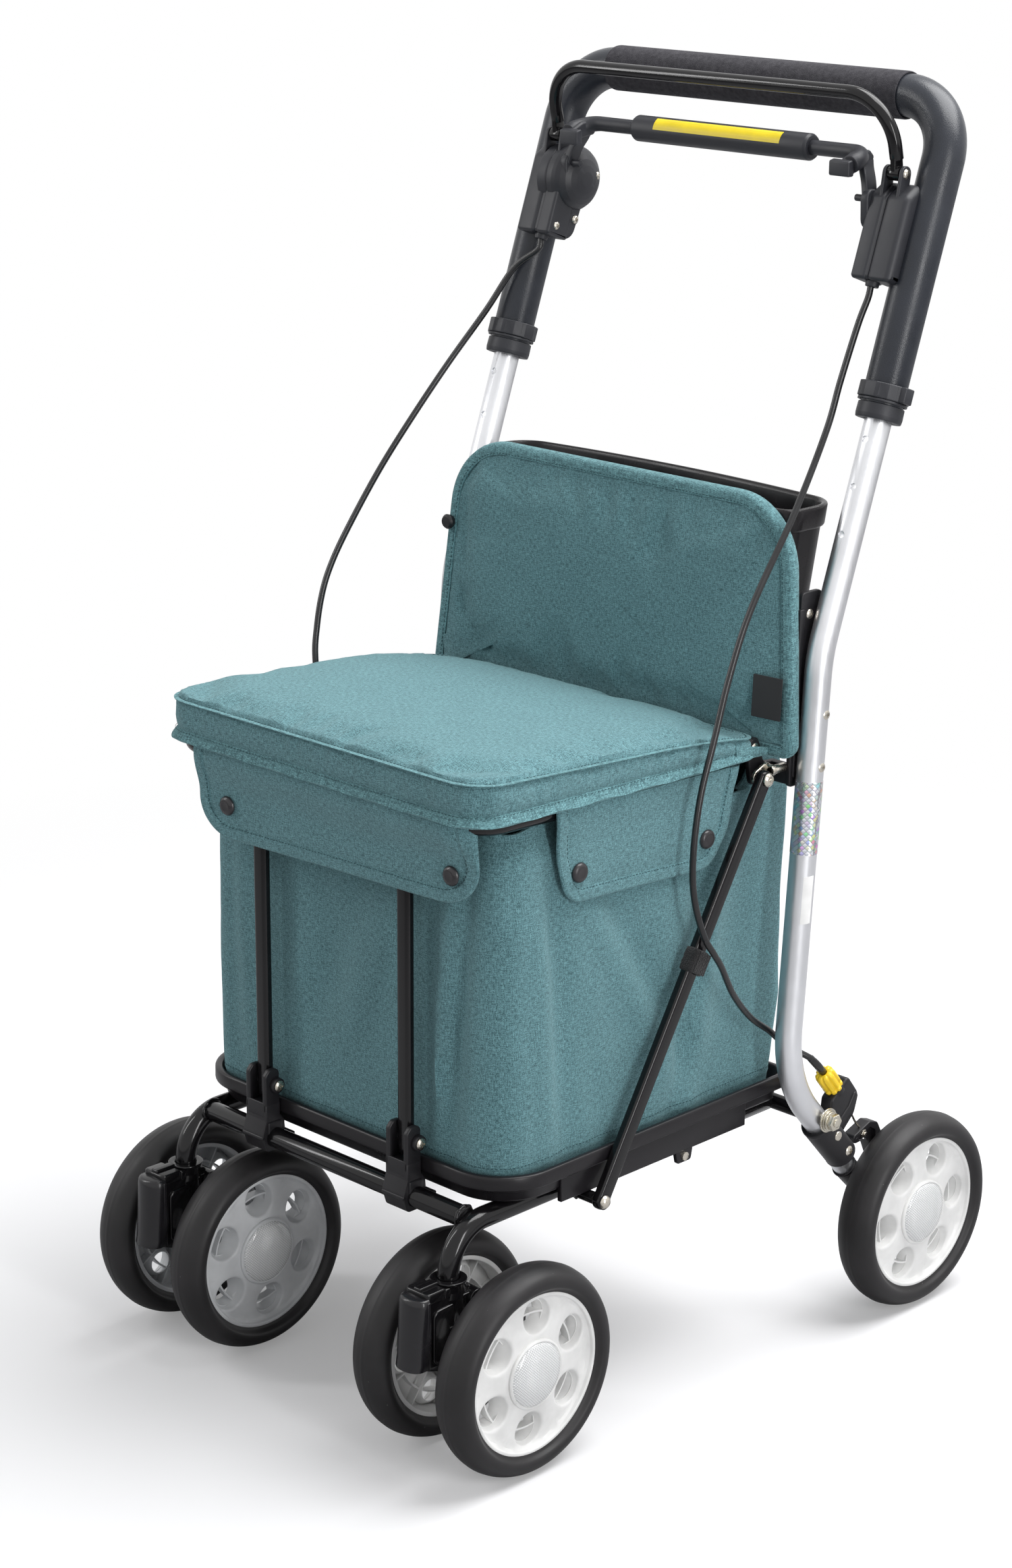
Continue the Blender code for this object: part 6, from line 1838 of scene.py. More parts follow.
def backDepth(u, z, edge):
    # how far the front face stands out of its plane: soft padding, hem, stitch grooves and faint puckers
    s = backSettings
    hem = s["hem"]
    if edge < hem:
        lift = 0.0004 + 0.0006 * math.sin(math.pi * min(1.0, edge / hem))
    else:
        inside = edge - hem
        lift = 0.0022 * (1 - math.exp(-inside / 0.02)) - 0.0005 * math.exp(-(inside / 0.001) ** 2)
        gather = math.sin(u * 210 + 2 * noise.noise(Vector((u * 20, 0, 5)))) * math.exp(-inside / 0.014) * 0.0005
        slack = 0.0011 * noise.noise(Vector((u * 9, z * 15, 0.9))) * min(1.0, inside / 0.03)
        sag = 0.0012 * math.sin(u * 26 + z * 12) * math.exp(-((z - s["low"]) / 0.045) ** 2) * min(1.0, inside / 0.01)
        lift += gather + slack + sag
    return lift


def backShell():
    s = backSettings
    base = backOutline()
    middle = (s["low"] + s["top"]) / 2
    half = s["thickness"] / 2

    def place(u, z, out):
        return Vector((u, backFront(z) + half - out, z))

    steps = (0.0, 0.0003, 0.0008, 0.0016, 0.0028, 0.0042, 0.0058, 0.0072, 0.0085, 0.0092, 0.01, 0.0116, 0.014, 0.0175,
             0.022, 0.028)
    face = []
    for d in steps:
        ring = insetOutline(base, d)
        edge = max(0.0, 1 - d / 0.0022)
        face.append([place(u, z, half * math.sqrt(max(0.0, 1 - edge ** 2)) + backDepth(u, z, d) * min(1.0, d / 0.001))
                     for u, z in ring])
    last = insetOutline(base, steps[-1])
    for share in (0.92, 0.84, 0.75, 0.66, 0.57, 0.48, 0.39, 0.3, 0.21, 0.13, 0.06):
        row = []
        for u, z in last:
            pu, pz = u * share, middle + (z - middle) * share
            near = 0.028 + (1 - share) * 0.09
            row.append(place(pu, pz, half + backDepth(pu, pz, near)))
        face.append(row)
    rear = []
    for d in (0.0, 0.0008, 0.003, 0.0085, 0.011, 0.028):
        ring = insetOutline(base, d)
        edge = max(0.0, 1 - d / 0.0022)
        rear.append([place(u, z, -half * math.sqrt(max(0.0, 1 - edge ** 2))) for u, z in ring])
    for share in (0.7, 0.4, 0.1):
        rear.append([place(u * share, middle + (z - middle) * share, -half) for u, z in last])
    return loft(list(reversed(face)) + rear[1:])


def backHold(p):
    s = backSettings
    inside = min(p[2] - s["low"], s["top"] - p[2], 0.181 - abs(p[0]) - 0.089 * (p[2] - 0.575))
    held = float(np.interp(inside, (0.01, 0.026), (1.0, 0.0)))
    return max(held, 1.0 if p[1] > backFront(p[2]) + 0.004 else 0.0)


def makeBackrest():
    s = backSettings
    fine = inflated(backShell(), "backPad", backHold, 0.005, s["pressure"], s["travel"])
    panel = finishPiece("backrest_pad", [fine], "rear_frame", looks["cloth"], ["backrest"], 60)
    weaveMap(panel.data)
    base = backOutline(0.003)
    band = []
    for d, out in ((0.009, 0.0002), (0.0088, 0.0009), (0.0076, 0.0012), (0.005, 0.0014), (0.0022, 0.0012),
                   (0.0002, 0.0002), (-0.0007, -0.002), (-0.0009, -0.0043), (-0.0007, -0.0066), (0.0002, -0.0092),
                   (0.0022, -0.0099), (0.0085, -0.0098), (0.0088, -0.009), (0.004, -0.0086), (0.002, -0.0044),
                   (0.004, 0.0002)):
        ring = insetOutline(base, d)
        band.append([Vector((u, backFront(z) - out, z)) for u, z in ring])
    hem = finishPiece("backrest_binding", [loft(band, closed=True)], "rear_frame", looks["hem"],
                      sharp=60)
    weaveMap(hem.data)
    lines = []
    for d, lift in ((0.0074, 0.0014),):
        ring = insetOutline(base, d)
        lines.append(([Vector((u, backFront(z) - lift, z)) for u, z in ring], True))
    stitches("backrest_stitches", lines, "rear_frame", pitch=0.0034)
    # blank woven tag at the lower right and a small knob at the left edge
    tag = slab(roundedOutline(((0.155, 0.508), (0.181, 0.508), (0.1808, 0.54), (0.1548, 0.54)), 0.0006, 3), 0.0008,
               Matrix(((1, 0, 0, 0), (0.1, 0.057, -1, backFront(0.5) - 0.005 - 0.057 * 0.5 - 0.1 * 0.181),
                       (0, 1, 0, 0), (0, 0, 0, 1))), 0.0002)
    finishPiece("side_tag", [tag], "rear_frame", looks["label"], sharp=40)
    knob = lathe(roundProfile([(0, 0.0062), (0.0046, 0.0062), (0.0062, 0.004), (0.005, 0.0), (0, 0.0)], 0.0008, 3),
                 aimed((-0.1762, backFront(0.6) - 0.0012, 0.6), (0, -1, 0)), 28)
    finishPiece("backrest_knob", [knob], "rear_frame", looks["moulded"])
    for side, sign in bothSides:
        makePlate(side, sign)
    print("backrest made")


def makePlate(side, sign):
    # moulded plate that carries the backrest from the leg tube, its bridge and the hinge arm of the seat
    outline = roundedOutline(((0.293, 0.602), (0.319, 0.602), (0.3055, 0.556), (0.301, 0.49), (0.2975, 0.4545),
                              (0.2846, 0.4545), (0.2846, 0.477), (0.2864, 0.49)),
                              [0.004, 0.006, 0.03, 0.03, 0.003, 0.003, 0.003, 0.006], 6)
    arm = roundedOutline(((0.258, 0.49), (0.262, 0.493), (0.269, 0.493), (0.272, 0.488), (0.277, 0.472),
                          (0.293, 0.471), (0.293, 0.456), (0.264, 0.456), (0.2585, 0.483)),
                          [0.003, 0.003, 0.003, 0.003, 0.006, 0.002, 0.002, 0.005, 0.004], 6)
    rib = roundedOutline(((0.29, 0.59), (0.296, 0.59), (0.2935, 0.556), (0.29, 0.462), (0.287, 0.462), (0.288, 0.5)),
                         0.002, 4)
    shells = [slab(outline, 0.004, sidePlane(0.1795), 0.0009), slab(rib, 0.0066, sidePlane(0.1795), 0.0009),
              block((0.158, 0.285, 0.456), (0.1795, 0.293, 0.471), 0.0012),
              slab(arm, 0.005, sidePlane(0.16), 0.001),
              slab(barOutline(seatHinge, (0.265, 0.4862), 0.0062), 0.0062, sidePlane(0.16), 0.0008),
              sideRod(0.164, 0.143, seatHinge, 0.0025)]
    finishPiece("backrest_plate_" + side + "_fine", forSide(shells, sign), "rear_frame", looks["moulded"],
                ["backrest_plate_" + side], 40)
    heads = [moved(panHead(0.0036, 0.0016), facing(sign * 0.1634, seatHinge, sign)),
             moved(domeRivet(0.0038, 0.0014), facing(sign * 0.1815, (0.302, 0.585), sign))]
    finishPiece("plate_rivets_" + side, heads, "rear_frame", looks["zinc"], sharp=35)


binSettings = {
    "foot": 0.487,
    "height": 0.173,
    "halfWidth": 0.15,      # at the foot
    "flare": 0.014,         # wider by this at the top
    "rear": 0.33,           # at the foot
    "lean": 0.02,           # further back by this at the top
    "gap": 0.012,           # behind the backrest's front
    "belly": 0.012,         # how far the rear wall is bowed
}


def binRing(z, grow=0.0, steps=10):
    s = binSettings
    share = (z - s["foot"]) / s["height"]
    half = s["halfWidth"] + s["flare"] * share + grow
    front = backFront(z) + s["gap"] - grow
    rear = s["rear"] + s["lean"] * share + grow
    ring = []
    for x, y in panOutline(half, front, rear, 0.014 + grow * 0.5, 0.0224 + grow * 0.5, steps, 26):
        deep = min(1.0, max(0.0, (y - front) / (rear - front)))
        ring.append(Vector((x, y + s["belly"] * max(0.0, 1 - (x / half) ** 2) * deep ** 2, z)))
    return ring


def makeBin():
    rings = []
    for z, grow in ((0.4905, -0.003), (0.4908, -0.0012), (0.4916, -0.0003), (0.493, 0.0), (0.51, 0.0), (0.54, 0.0),
                    (0.57, 0.0), (0.6, 0.0), (0.63, 0.0), (0.642, 0.0), (0.6424, 0.0008), (0.6432, 0.0018),
                    (0.6445, 0.0022), (0.6575, 0.0022), (0.659, 0.0018), (0.6598, 0.0008), (0.66, -0.0002),
                    (0.6598, -0.0012), (0.659, -0.002), (0.657, -0.0024), (0.63, -0.0024), (0.6, -0.0024),
                    (0.56, -0.0024), (0.52, -0.0024), (0.496, -0.0026), (0.494, -0.004), (0.493, -0.007)):
        rings.append(binRing(z, grow))
    shells = [loft(rings)]
    for sign in bothSigns:
        pad = [block((0.1535, 0.301, 0.565), (0.1773, 0.311, 0.59), 0.0012),
               block((0.156, 0.303, 0.542), (0.1668, 0.306, 0.61), 0.0008)]
        shells += forSide(pad, sign)
    for x in (-0.1, -0.05, 0.0, 0.05, 0.1):
        shells.append(block((x - 0.001, 0.3, 0.4895), (x + 0.001, 0.325, 0.4925), 0.0006))
    finishPiece("rear_bin", shells, "rear_frame", looks["binBlack"], ["bin"], 40)
    tab = slab(roundedOutline(((0.315, 0.508), (0.326, 0.505), (0.333, 0.472), (0.324, 0.465), (0.317, 0.472)),
                              [0.002, 0.002, 0.006, 0.004, 0.006], 6),
               0.0022, sidePlane(0.1662), 0.0008)
    pull = finishPiece("pull_tab", [tab], "rear_frame", looks["hem"], sharp=60)
    weaveMap(pull.data)
    print("bin made")


# ---- leg tubes, sleeves, axles and brake arms

legSettings = {
    "x": 0.1923,
    "radius": 0.01025,
    "top": 0.795,
    "knee": (0.3017, 0.5559),
    "ankle": (0.2777, 0.2247),
    "end": (0.3235, 0.172),
    "hole": (0.3431, 0.7123),
    "pitch": 0.0359,
    "tape": (0.405, 0.461),
    "label": (0.352, 0.389),
}

handleUp = Vector((0, 0.32952, 0.94415))
handleForward = Vector((0, -0.94415, 0.32952))
handlePoint = Vector((0, 0.4079, 0.86))


def legAxisY(z):
    return 0.3549 + 0.349 * (z - 0.7082)


def legPath(sign):
    s = legSettings
    x = sign * s["x"]
    corners = ((x, legAxisY(s["top"]), s["top"]), (x, *s["knee"]), (x, *s["ankle"]), (x, *s["end"]))
    return filletPath(corners, [0, 0.12, 0.1, 0], 22)


def pathBetween(path, low, high, count):
    # the stretch of a falling path between two heights, at even steps
    zs = [p.z for p in path][::-1]
    made = []
    for k in range(count + 1):
        z = low + (high - low) * k / count
        made.append(Vector((path[0].x, float(np.interp(z, zs, [p.y for p in path][::-1])), z)))
    return made


def wrapMap(mesh, x, centreY, radius):
    # the map of a band round an upright tube: round it by length, and up it
    layer = mesh.uv_layers.new(name="weave")
    for loop in mesh.loops:
        p = mesh.vertices[loop.vertex_index].co
        angle = math.atan2(p.y - rowShift.y - centreY(p.z), (p.x - x))
        layer.data[loop.index].uv = ((angle % (2 * math.pi)) * radius, p.z)


def arcPatch(path, radius, fromAngle, toAngle, thickness):
    # a thin patch that lies on a tube between two angles
    rings = []
    for p in path:
        ring = [p + Vector((math.cos(a), math.sin(a), 0)) * radius for a in np.linspace(fromAngle, toAngle, 12)]
        ring += [p + Vector((math.cos(a), math.sin(a), 0)) * (radius + thickness)
                 for a in np.linspace(toAngle, fromAngle, 12)]
        rings.append(ring)
    return loft(rings)


def makeLegs():
    s = legSettings
    for side, sign in bothSides:
        x = sign * s["x"]
        path = legPath(sign)
        tube = sweep(path, s["radius"], 36, soft=0.0006)
        holes = []
        # the height holes are blind pockets; their walls take the near-black inside finish as painted shade for the
        # tube's dark hollow
        for step in range(-1, 3):
            mouth = Vector((x, *s["hole"])) - handleUp * s["pitch"] * step
            holes.append(rod(mouth + handleForward * 0.004, mouth - handleForward * 0.0035, 0.0027, sides=20,
                             soft=0.0001, paint=1))
        tube = carved(tube, *holes)
        finishPiece("leg_tube_" + side, [tube], "rear_frame", [looks["silver"], looks["inside"]],
                    ["rear_tube_" + side], 30)
        bits = []
        for y, z in ((0.3, 0.512), (0.2968, 0.472)):
            bits.append(moved(panHead(0.004, 0.002), facing(x + sign * (s["radius"] - 0.0012), (y, z), sign)))
        finishPiece("leg_rivets_" + side, bits, "rear_frame", looks["zinc"], sharp=35)
        tape = sweep(pathBetween(path, *s["tape"], 16), s["radius"] + 0.00022, 48)
        band = finishPiece("reflective_band_" + side, [tape], "rear_frame", looks["prism"],
                           sharp=50)
        wrapMap(band.data, x, lambda z: float(np.interp(z, [p.z for p in path][::-1], [p.y for p in path][::-1])),
                s["radius"])
        if sign > 0:
            patch = arcPatch(pathBetween(path, *s["label"], 8), s["radius"] + 0.00002, math.radians(-42),
                             math.radians(8), 0.00016)
            finishPiece("blank_label", [patch], "rear_frame", looks["paper"], sharp=40)
        makeSleeve(side, sign)
        makeAxle(side, sign)
        makeBrakeArm(side, sign)
    print("legs made")


def makeSleeve(side, sign):
    x = sign * legSettings["x"]
    start, end = Vector((x, 0.3182, 0.1781)), Vector((x, 0.349, 0.1427))
    turn = aimed(start, end - start)
    length = (end - start).length
    sleeve = lathe(roundProfile([(0.01, 0.0), (0.0132, 0.0), (0.0137, 0.0022), (0.0134, 0.0042),
                                 (0.0128, length - 0.003), (0.0131, length), (0.008, length), (0.008, length * 0.5),
                                 (0.01, length * 0.5)], 0.0007, 4, closed=True), turn, 56, closed=True)
    arm = roundedOutline(((0.326, 0.166), (0.34, 0.16), (0.3575, 0.176), (0.3624, 0.1915), (0.3482, 0.2098),
                          (0.3296, 0.1947)),
                         [0.004, 0.006, 0.012, 0.01, 0.004, 0.004], 8)
    rib = roundedOutline(((0.33, 0.17), (0.342, 0.1665), (0.356, 0.18), (0.36, 0.1915), (0.356, 0.196),
                          (0.348, 0.184)),
                         0.003, 5)
    shells = [sleeve, slab(arm, 0.0125, sidePlane(x), 0.0022, edgeSteps=4), slab(rib, 0.0148, sidePlane(x), 0.0014)]
    seat = Vector((x, 0.338, 0.201))
    axis = Vector((0, -0.631, 0.776))
    shells.append(lathe(roundProfile([(0.0022, -0.004), (0.0076, -0.004), (0.007, 0.0006), (0.0022, 0.0006)], 0.0006,
                                     3, closed=True),
                        aimed(seat, axis), 32, closed=True))
    shells.append(rod(Vector((x, 0.349, 0.1427)) - (end - start).normalized() * 0.01,
                      Vector((x - sign * 0.002, 0.3478, 0.144)), 0.01))
    finishPiece("sleeve_" + side, shells, "rear_frame", looks["moulded"], ["axle_carrier_" + side],
                40)
    out = x + sign * 0.0122
    heads = [moved(lathe(roundProfile([(0, 0.0012), (0.0036, 0.0012), (0.0042, 0.0), (0, 0.0)], 0.0005, 3), steps=28),
                   facing(out + sign * 0.0007, (0.329, 0.1672), sign)),
             moved(panHead(0.0041, 0.0019), facing(out + sign * 0.0001, (0.344, 0.15), sign))]
    finishPiece("sleeve_screws_" + side, heads, "rear_frame", looks["zinc"], sharp=35)
    stem = sweep([seat - axis * 0.002, seat + axis * 0.001], 0.0021, 16)
    finishPiece("wire_stop_" + side, [stem], "rear_frame", looks["zinc"])


def makeAxle(side, sign):
    points = [(0.189, 0.341, 0.152), (0.187, 0.35, 0.1415), (0.1825, 0.362, 0.1285), (0.1815, 0.385, 0.106),
              (0.1815, 0.405, 0.088)]
    route = smoothRoute([(sign * x, y, z) for x, y, z in points], 40)
    tube = sweep(route, 0.0085, 32)
    plate = lathe(roundProfile([(0, 0.006), (0.0208, 0.006), (0.0265, 0.004), (0.0265, -0.006), (0, -0.006)], 0.0012,
                               4),
                  facing(sign * 0.186, rearAxle, sign), 56)
    lug = slab(barOutline((0.408, 0.118), (0.412, 0.098), 0.0075), 0.003, sidePlane(sign * 0.1925), 0.0008)
    pin = sideRod(sign * 0.1765, sign * 0.193, (0.408, 0.118), 0.0024, paint=1)
    axle = sideRod(sign * 0.1765, sign * 0.2211, rearAxle, 0.0047, paint=1)
    end = moved(hexNut(0.0062, 0.003, 0.003), facing(sign * 0.18, rearAxle, -sign))
    finishPiece("axle_tube_" + side + "_fine", [tube, plate, lug, pin, axle, painted(end, 1)], "rear_frame",
                [looks["silver"], looks["zinc"]], ["axle_tube_" + side], 40)
    a, b = Vector((sign * 0.1823, 0.3664, 0.1242)), Vector((sign * 0.1816, 0.383, 0.108))
    turn = aimed(a, b - a)
    collar = lathe(roundProfile([(0.0084, -0.0004), (0.01, -0.0004), (0.0104, 0.001), (0.0098, 0.0022),
                                 (0.0098, (b - a).length), (0.0084, (b - a).length)],
                                0.0004, 3, closed=True), turn, 40, closed=True)
    finishPiece("axle_gasket_" + side, [collar], "rear_frame", looks["moulded"], sharp=40)


def makeBrakeArm(side, sign):
    # pressed channel: a back, two cheeks and the flat foot that meets the tyre
    x = sign * 0.185
    outline = roundedOutline(((0.415, 0.113), (0.401, 0.111), (0.386, 0.144), (0.3685, 0.1435), (0.3672, 0.15),
                              (0.388, 0.1575), (0.3975, 0.1545), (0.4155, 0.121)),
                              [0.004, 0.004, 0.004, 0.003, 0.003, 0.004, 0.005, 0.004], 6)
    channel = roundedOutline(((0.398, 0.119), (0.3885, 0.1405), (0.3715, 0.1455), (0.3875, 0.153), (0.3945, 0.149)),
                             0.002, 5)
    body = slab(outline, 0.011, sidePlane(x), 0.0009)
    body = carved(body, slab(channel, 0.011, sidePlane(x - sign * 0.0052), 0.0004),
                  slab(channel, 0.005, sidePlane(x + sign * 0.0052), 0.0004))
    shells = [body, sideRod(x - 0.0058, x + 0.0058, (0.3718, 0.1462), 0.0022)]
    finishPiece("brake_arm_" + side + "_fine", shells, "brake_arm_" + side, looks["moulded"], ["brake_arm_" + side],
                40)
    clamp = moved(hexNut(0.0034, 0.0022, 0.0016), facing(x + sign * 0.005, (0.379, 0.15), sign))
    finishPiece("wire_clamp_" + side, [clamp], "brake_arm_" + side, looks["zinc"], sharp=30)
    makeAdjuster(side, sign)


def makeAdjuster(side, sign):
    # ribbed yellow knob on the cable stop
    axis = Vector((0, -0.631, 0.776))
    low = Vector((sign * legSettings["x"], 0.338, 0.201)) + axis * 0.0009
    rings = []
    length = 0.021
    for h, grow in ((0.0, -0.0012), (0.0006, -0.0003), (0.0014, 0.0), (0.003, 0.0), (0.0038, -0.0008),
                    (0.005, -0.0008), (0.0058, 0.0), (length - 0.004, 0.0), (length - 0.0026, -0.0003),
                    (length - 0.0012, -0.0009), (length - 0.0004, -0.002), (length, -0.0034)):
        ring = []
        for k in range(96):
            a = 2 * math.pi * k / 96
            tooth = 0.5 + 0.5 * math.cos(8 * a)
            r = 0.0068 + 0.0014 * min(1.0, tooth * 1.7) ** 0.8 + grow
            ring.append(Vector((r * math.cos(a), r * math.sin(a), h)))
        rings.append(ring)
    inner = [[Vector((0.003 * math.cos(2 * math.pi * k / 96), 0.003 * math.sin(2 * math.pi * k / 96), h))
              for k in range(96)]
             for h in (length, length - 0.006)]
    knob = moved(loft(rings + inner), aimed(low, axis))
    finishPiece("adjuster_knob_" + side, [knob], "cable_adjuster_" + side, looks["yellow"],
                ["cable_adjuster_" + side], 40)


# ---- struts, hangers, uprights, seat ring and strap

linkSettings = {
    "strutX": 0.1762,
    "strutFoot": baseSettings["strutFoot"],
    "strutHead": (0.261, 0.4655),
    "uprightX": baseSettings["uprightX"],
    "uprightY": -0.0105,
    "strapHeight": 0.3409,
}


def alongStrut(z):
    s = linkSettings
    share = (z - s["strutFoot"][1]) / (s["strutHead"][1] - s["strutFoot"][1])
    return s["strutFoot"][0] + (s["strutHead"][0] - s["strutFoot"][0]) * share


def makeStruts():
    s = linkSettings
    for side, sign in bothSides:
        x = sign * s["strutX"]
        bar = slab(barOutline(s["strutFoot"], s["strutHead"], 0.0065, 14), 0.008, sidePlane(x), 0.0026, edgeSteps=5)
        bar = carved(bar, sideRod(x - 0.01, x + 0.01, s["strutHead"], 0.0029))
        collars = [sideRod(sign * 0.18, sign * 0.1806, s["strutFoot"], 0.006)]
        finishPiece("strut_bar_" + side, [bar] + collars, "strut_" + side, looks["enamel"], ["strut_" + side],
                    40)
        foot = moved(domeRivet(0.0052, 0.0032), facing(sign * 0.1805, s["strutFoot"], sign))
        finishPiece("strut_bolt_" + side, [foot], "strut_" + side, looks["zinc"], sharp=35)
        shells = [rod((x, 0.2842, 0.47), (x, 0.2684, 0.47), 0.0034, sides=24),
                  sideBlock(sign, (0.17, 0.2684, 0.4662), (0.1785, 0.2735, 0.4738), 0.0012),
                  slab(barOutline(s["strutHead"], (0.27, 0.4695), 0.0055), 0.003, sidePlane(sign * 0.17), 0.0007),
                  sideRod(sign * 0.17, sign * 0.1812, s["strutHead"], 0.0024),
                  moved(lathe(roundProfile([(0, 0.003), (0.0034, 0.0028), (0.0052, 0.0014), (0.0056, 0.0), (0, 0.0)],
                                           0.0007, 3), steps=32),
                        facing(sign * 0.1806, s["strutHead"], sign)),
                  moved(lathe([(0, 0.0036), (0.0012, 0.0036), (0.0014, 0.0028), (0, 0.0028)], steps=20),
                        facing(sign * 0.1806, s["strutHead"], sign))]
        finishPiece("hanger_" + side, shells, "rear_frame", looks["zinc"], ["strut_hanger_" + side], 35)
    # soft hook-and-loop band round the right strut
    foot, head = Vector((0, *s["strutFoot"])), Vector((0, *s["strutHead"]))
    along = (head - foot).normalized()
    across = Vector((0, along.z, -along.y))
    centre = Vector((0, alongStrut(s["strapHeight"]), s["strapHeight"]))
    place = Matrix(((1, 0, 0, s["strutX"]), (0, across.y, along.y, centre.y), (0, across.z, along.z, centre.z),
                    (0, 0, 0, 1)))
    outer = roundedOutline(((-0.0048, -0.0082), (0.007, -0.0082), (0.007, 0.0082), (-0.0048, 0.0082)),
                           [0.002, 0.0035, 0.0035, 0.002], 6)
    outer = denseOutline(outer, 0.0008)
    rings = []
    for h, inset in ((-0.009, 0.0008), (-0.0084, 0.0002), (-0.006, 0.0), (-0.002, -0.0003), (0.0, 0.0),
                     (0.003, -0.0003), (0.0062, 0.0), (0.0085, 0.0002), (0.009, 0.0008)):
        ring = insetOutline(outer, inset)
        rings.append([place @ Vector((u, v, h + 0.0004 * noise.noise(Vector((u * 400, v * 400, h * 50))))) for u,
                      v in ring])
    inside = [[place @ Vector((u * 0.88, v * 0.9, h)) for u, v in insetOutline(outer, 0.001)]
              for h in (0.0088, 0.0, -0.0088)]
    band = loft(rings + inside, closed=True)
    tail = moved(block((0.0066, -0.005, -0.0082), (0.0078, 0.0086, 0.0082), 0.0005), place)
    strap = finishPiece("strap_band", [band, tail], "strut_right", looks["fuzz"], ["cable_strap"], 50)


def makeUprights():
    s = linkSettings
    for side, sign in bothSides:
        x, y = sign * s["uprightX"], s["uprightY"]
        outline = roundedOutline(((-0.0065, -0.004), (0.0065, -0.004), (0.0065, 0.004), (-0.0065, 0.004)), 0.0036, 8)
        low, high = 0.2172, 0.472
        tube = slab(outline, high - low, Matrix.Translation((x, y, (low + high) / 2)), 0.001)
        tube = carved(tube, sideRod(x - 0.01, x + 0.01, (y, 0.229), 0.0028),
                      slab(circleOutline(0.0027, 16), 0.004, Matrix.Translation((x, y, low))))
        pin = sideRod(x - 0.0124, x + 0.0124, (-0.012, 0.4745), 0.0022, paint=1)
        plug = block((x - 0.0056, y - 0.0034, 0.471), (x + 0.0056, y + 0.0034, 0.4762), 0.0012)
        finishPiece("upright_bar_" + side, [tube, plug], "upright_" + side, looks["enamel"], ["upright_" + side],
                    40)
        heads = [moved(domeRivet(0.0034, 0.0014), facing(x + d * 0.011, (-0.012, 0.4752), d)) for d in (1, -1)]
        finishPiece("upright_pin_" + side, [painted(pin, 0)] + heads, "seat_ring", looks["zinc"],
                    sharp=35)


def makeRing():
    corners = [(x, y, ringTop(y)) for x, y in ((0.158, -0.0215), (-0.158, -0.0215), (-0.158, 0.248), (0.158, 0.248))]
    path = filletPath(corners, 0.03, 14, closed=True)
    shells = [sweep(path, 0.006, 32, closed=True)]
    for sign in bothSigns:
        x = sign * linkSettings["uprightX"]
        lug = roundedOutline(((-0.022, 0.479), (-0.014, 0.47), (-0.008, 0.47), (-0.0058, 0.477), (-0.015, 0.487)),
                             [0.001, 0.003, 0.003, 0.002, 0.001], 5)
        shells += [slab(lug, 0.0026, sidePlane(x + d), 0.0006) for d in (-0.0097, 0.0097)]
        shells += [weldBead((x + d, -0.019, 0.4775), (1, 0, 0), 0.005, 0.0008, 5 + d * 100)
                   for d in (-0.0097, 0.0097)]
        ear = roundedOutline(((0.23, 0.47), (0.256, 0.47), (0.2705, 0.482), (0.2705, 0.49), (0.266, 0.492),
                              (0.259, 0.49), (0.244, 0.478)), 0.003, 6)
        shells.append(slab(ear, 0.0046, sidePlane(sign * 0.1527), 0.0008, [circleOutline(0.003, 20, seatHinge)]))
    finishPiece("seat_ring_tube", shells, "seat_ring", looks["enamel"], ["seat_frame"], 45)


def makeLinkage():
    makeStruts()
    makeUprights()
    makeRing()
    print("linkage made")


# ---- push handle, lock rings, brake housings, lever and parking bar

handleSettings = {
    "x": 0.1921,
    "foot": (0.36, 0.7235),
    "top": (0.439, 0.95),
    "radius": 0.016,
    "housingX": 0.1695,
    "barCentre": (0.3996, 0.91),
    "barRadius": 0.0102,
    "dome": (0.402, 0.8645),
}


def atHandle(x, back, up):
    # a point by the handle's own axes: across, back from the tube's plane and up along the tube
    return handlePoint + Vector((x, 0, 0)) - handleForward * back + handleUp * up


def alongHandle(x):
    # local X across, Y to the back and Z up the tube
    return Matrix(((1, 0, 0, x), (0, -handleForward.y, handleUp.y, handlePoint.y),
                   (0, -handleForward.z, handleUp.z, handlePoint.z), (0, 0, 0, 1)))


def handleSide(x):
    # outline axes back and up, thickness across
    return alongHandle(x) @ Matrix(((0, 0, 1, 0), (1, 0, 0, 0), (0, 1, 0, 0), (0, 0, 0, 1)))


leverPivot = atHandle(0, -0.0235, 0.0326)
barPivot = atHandle(0, -0.0235, 0.0115)


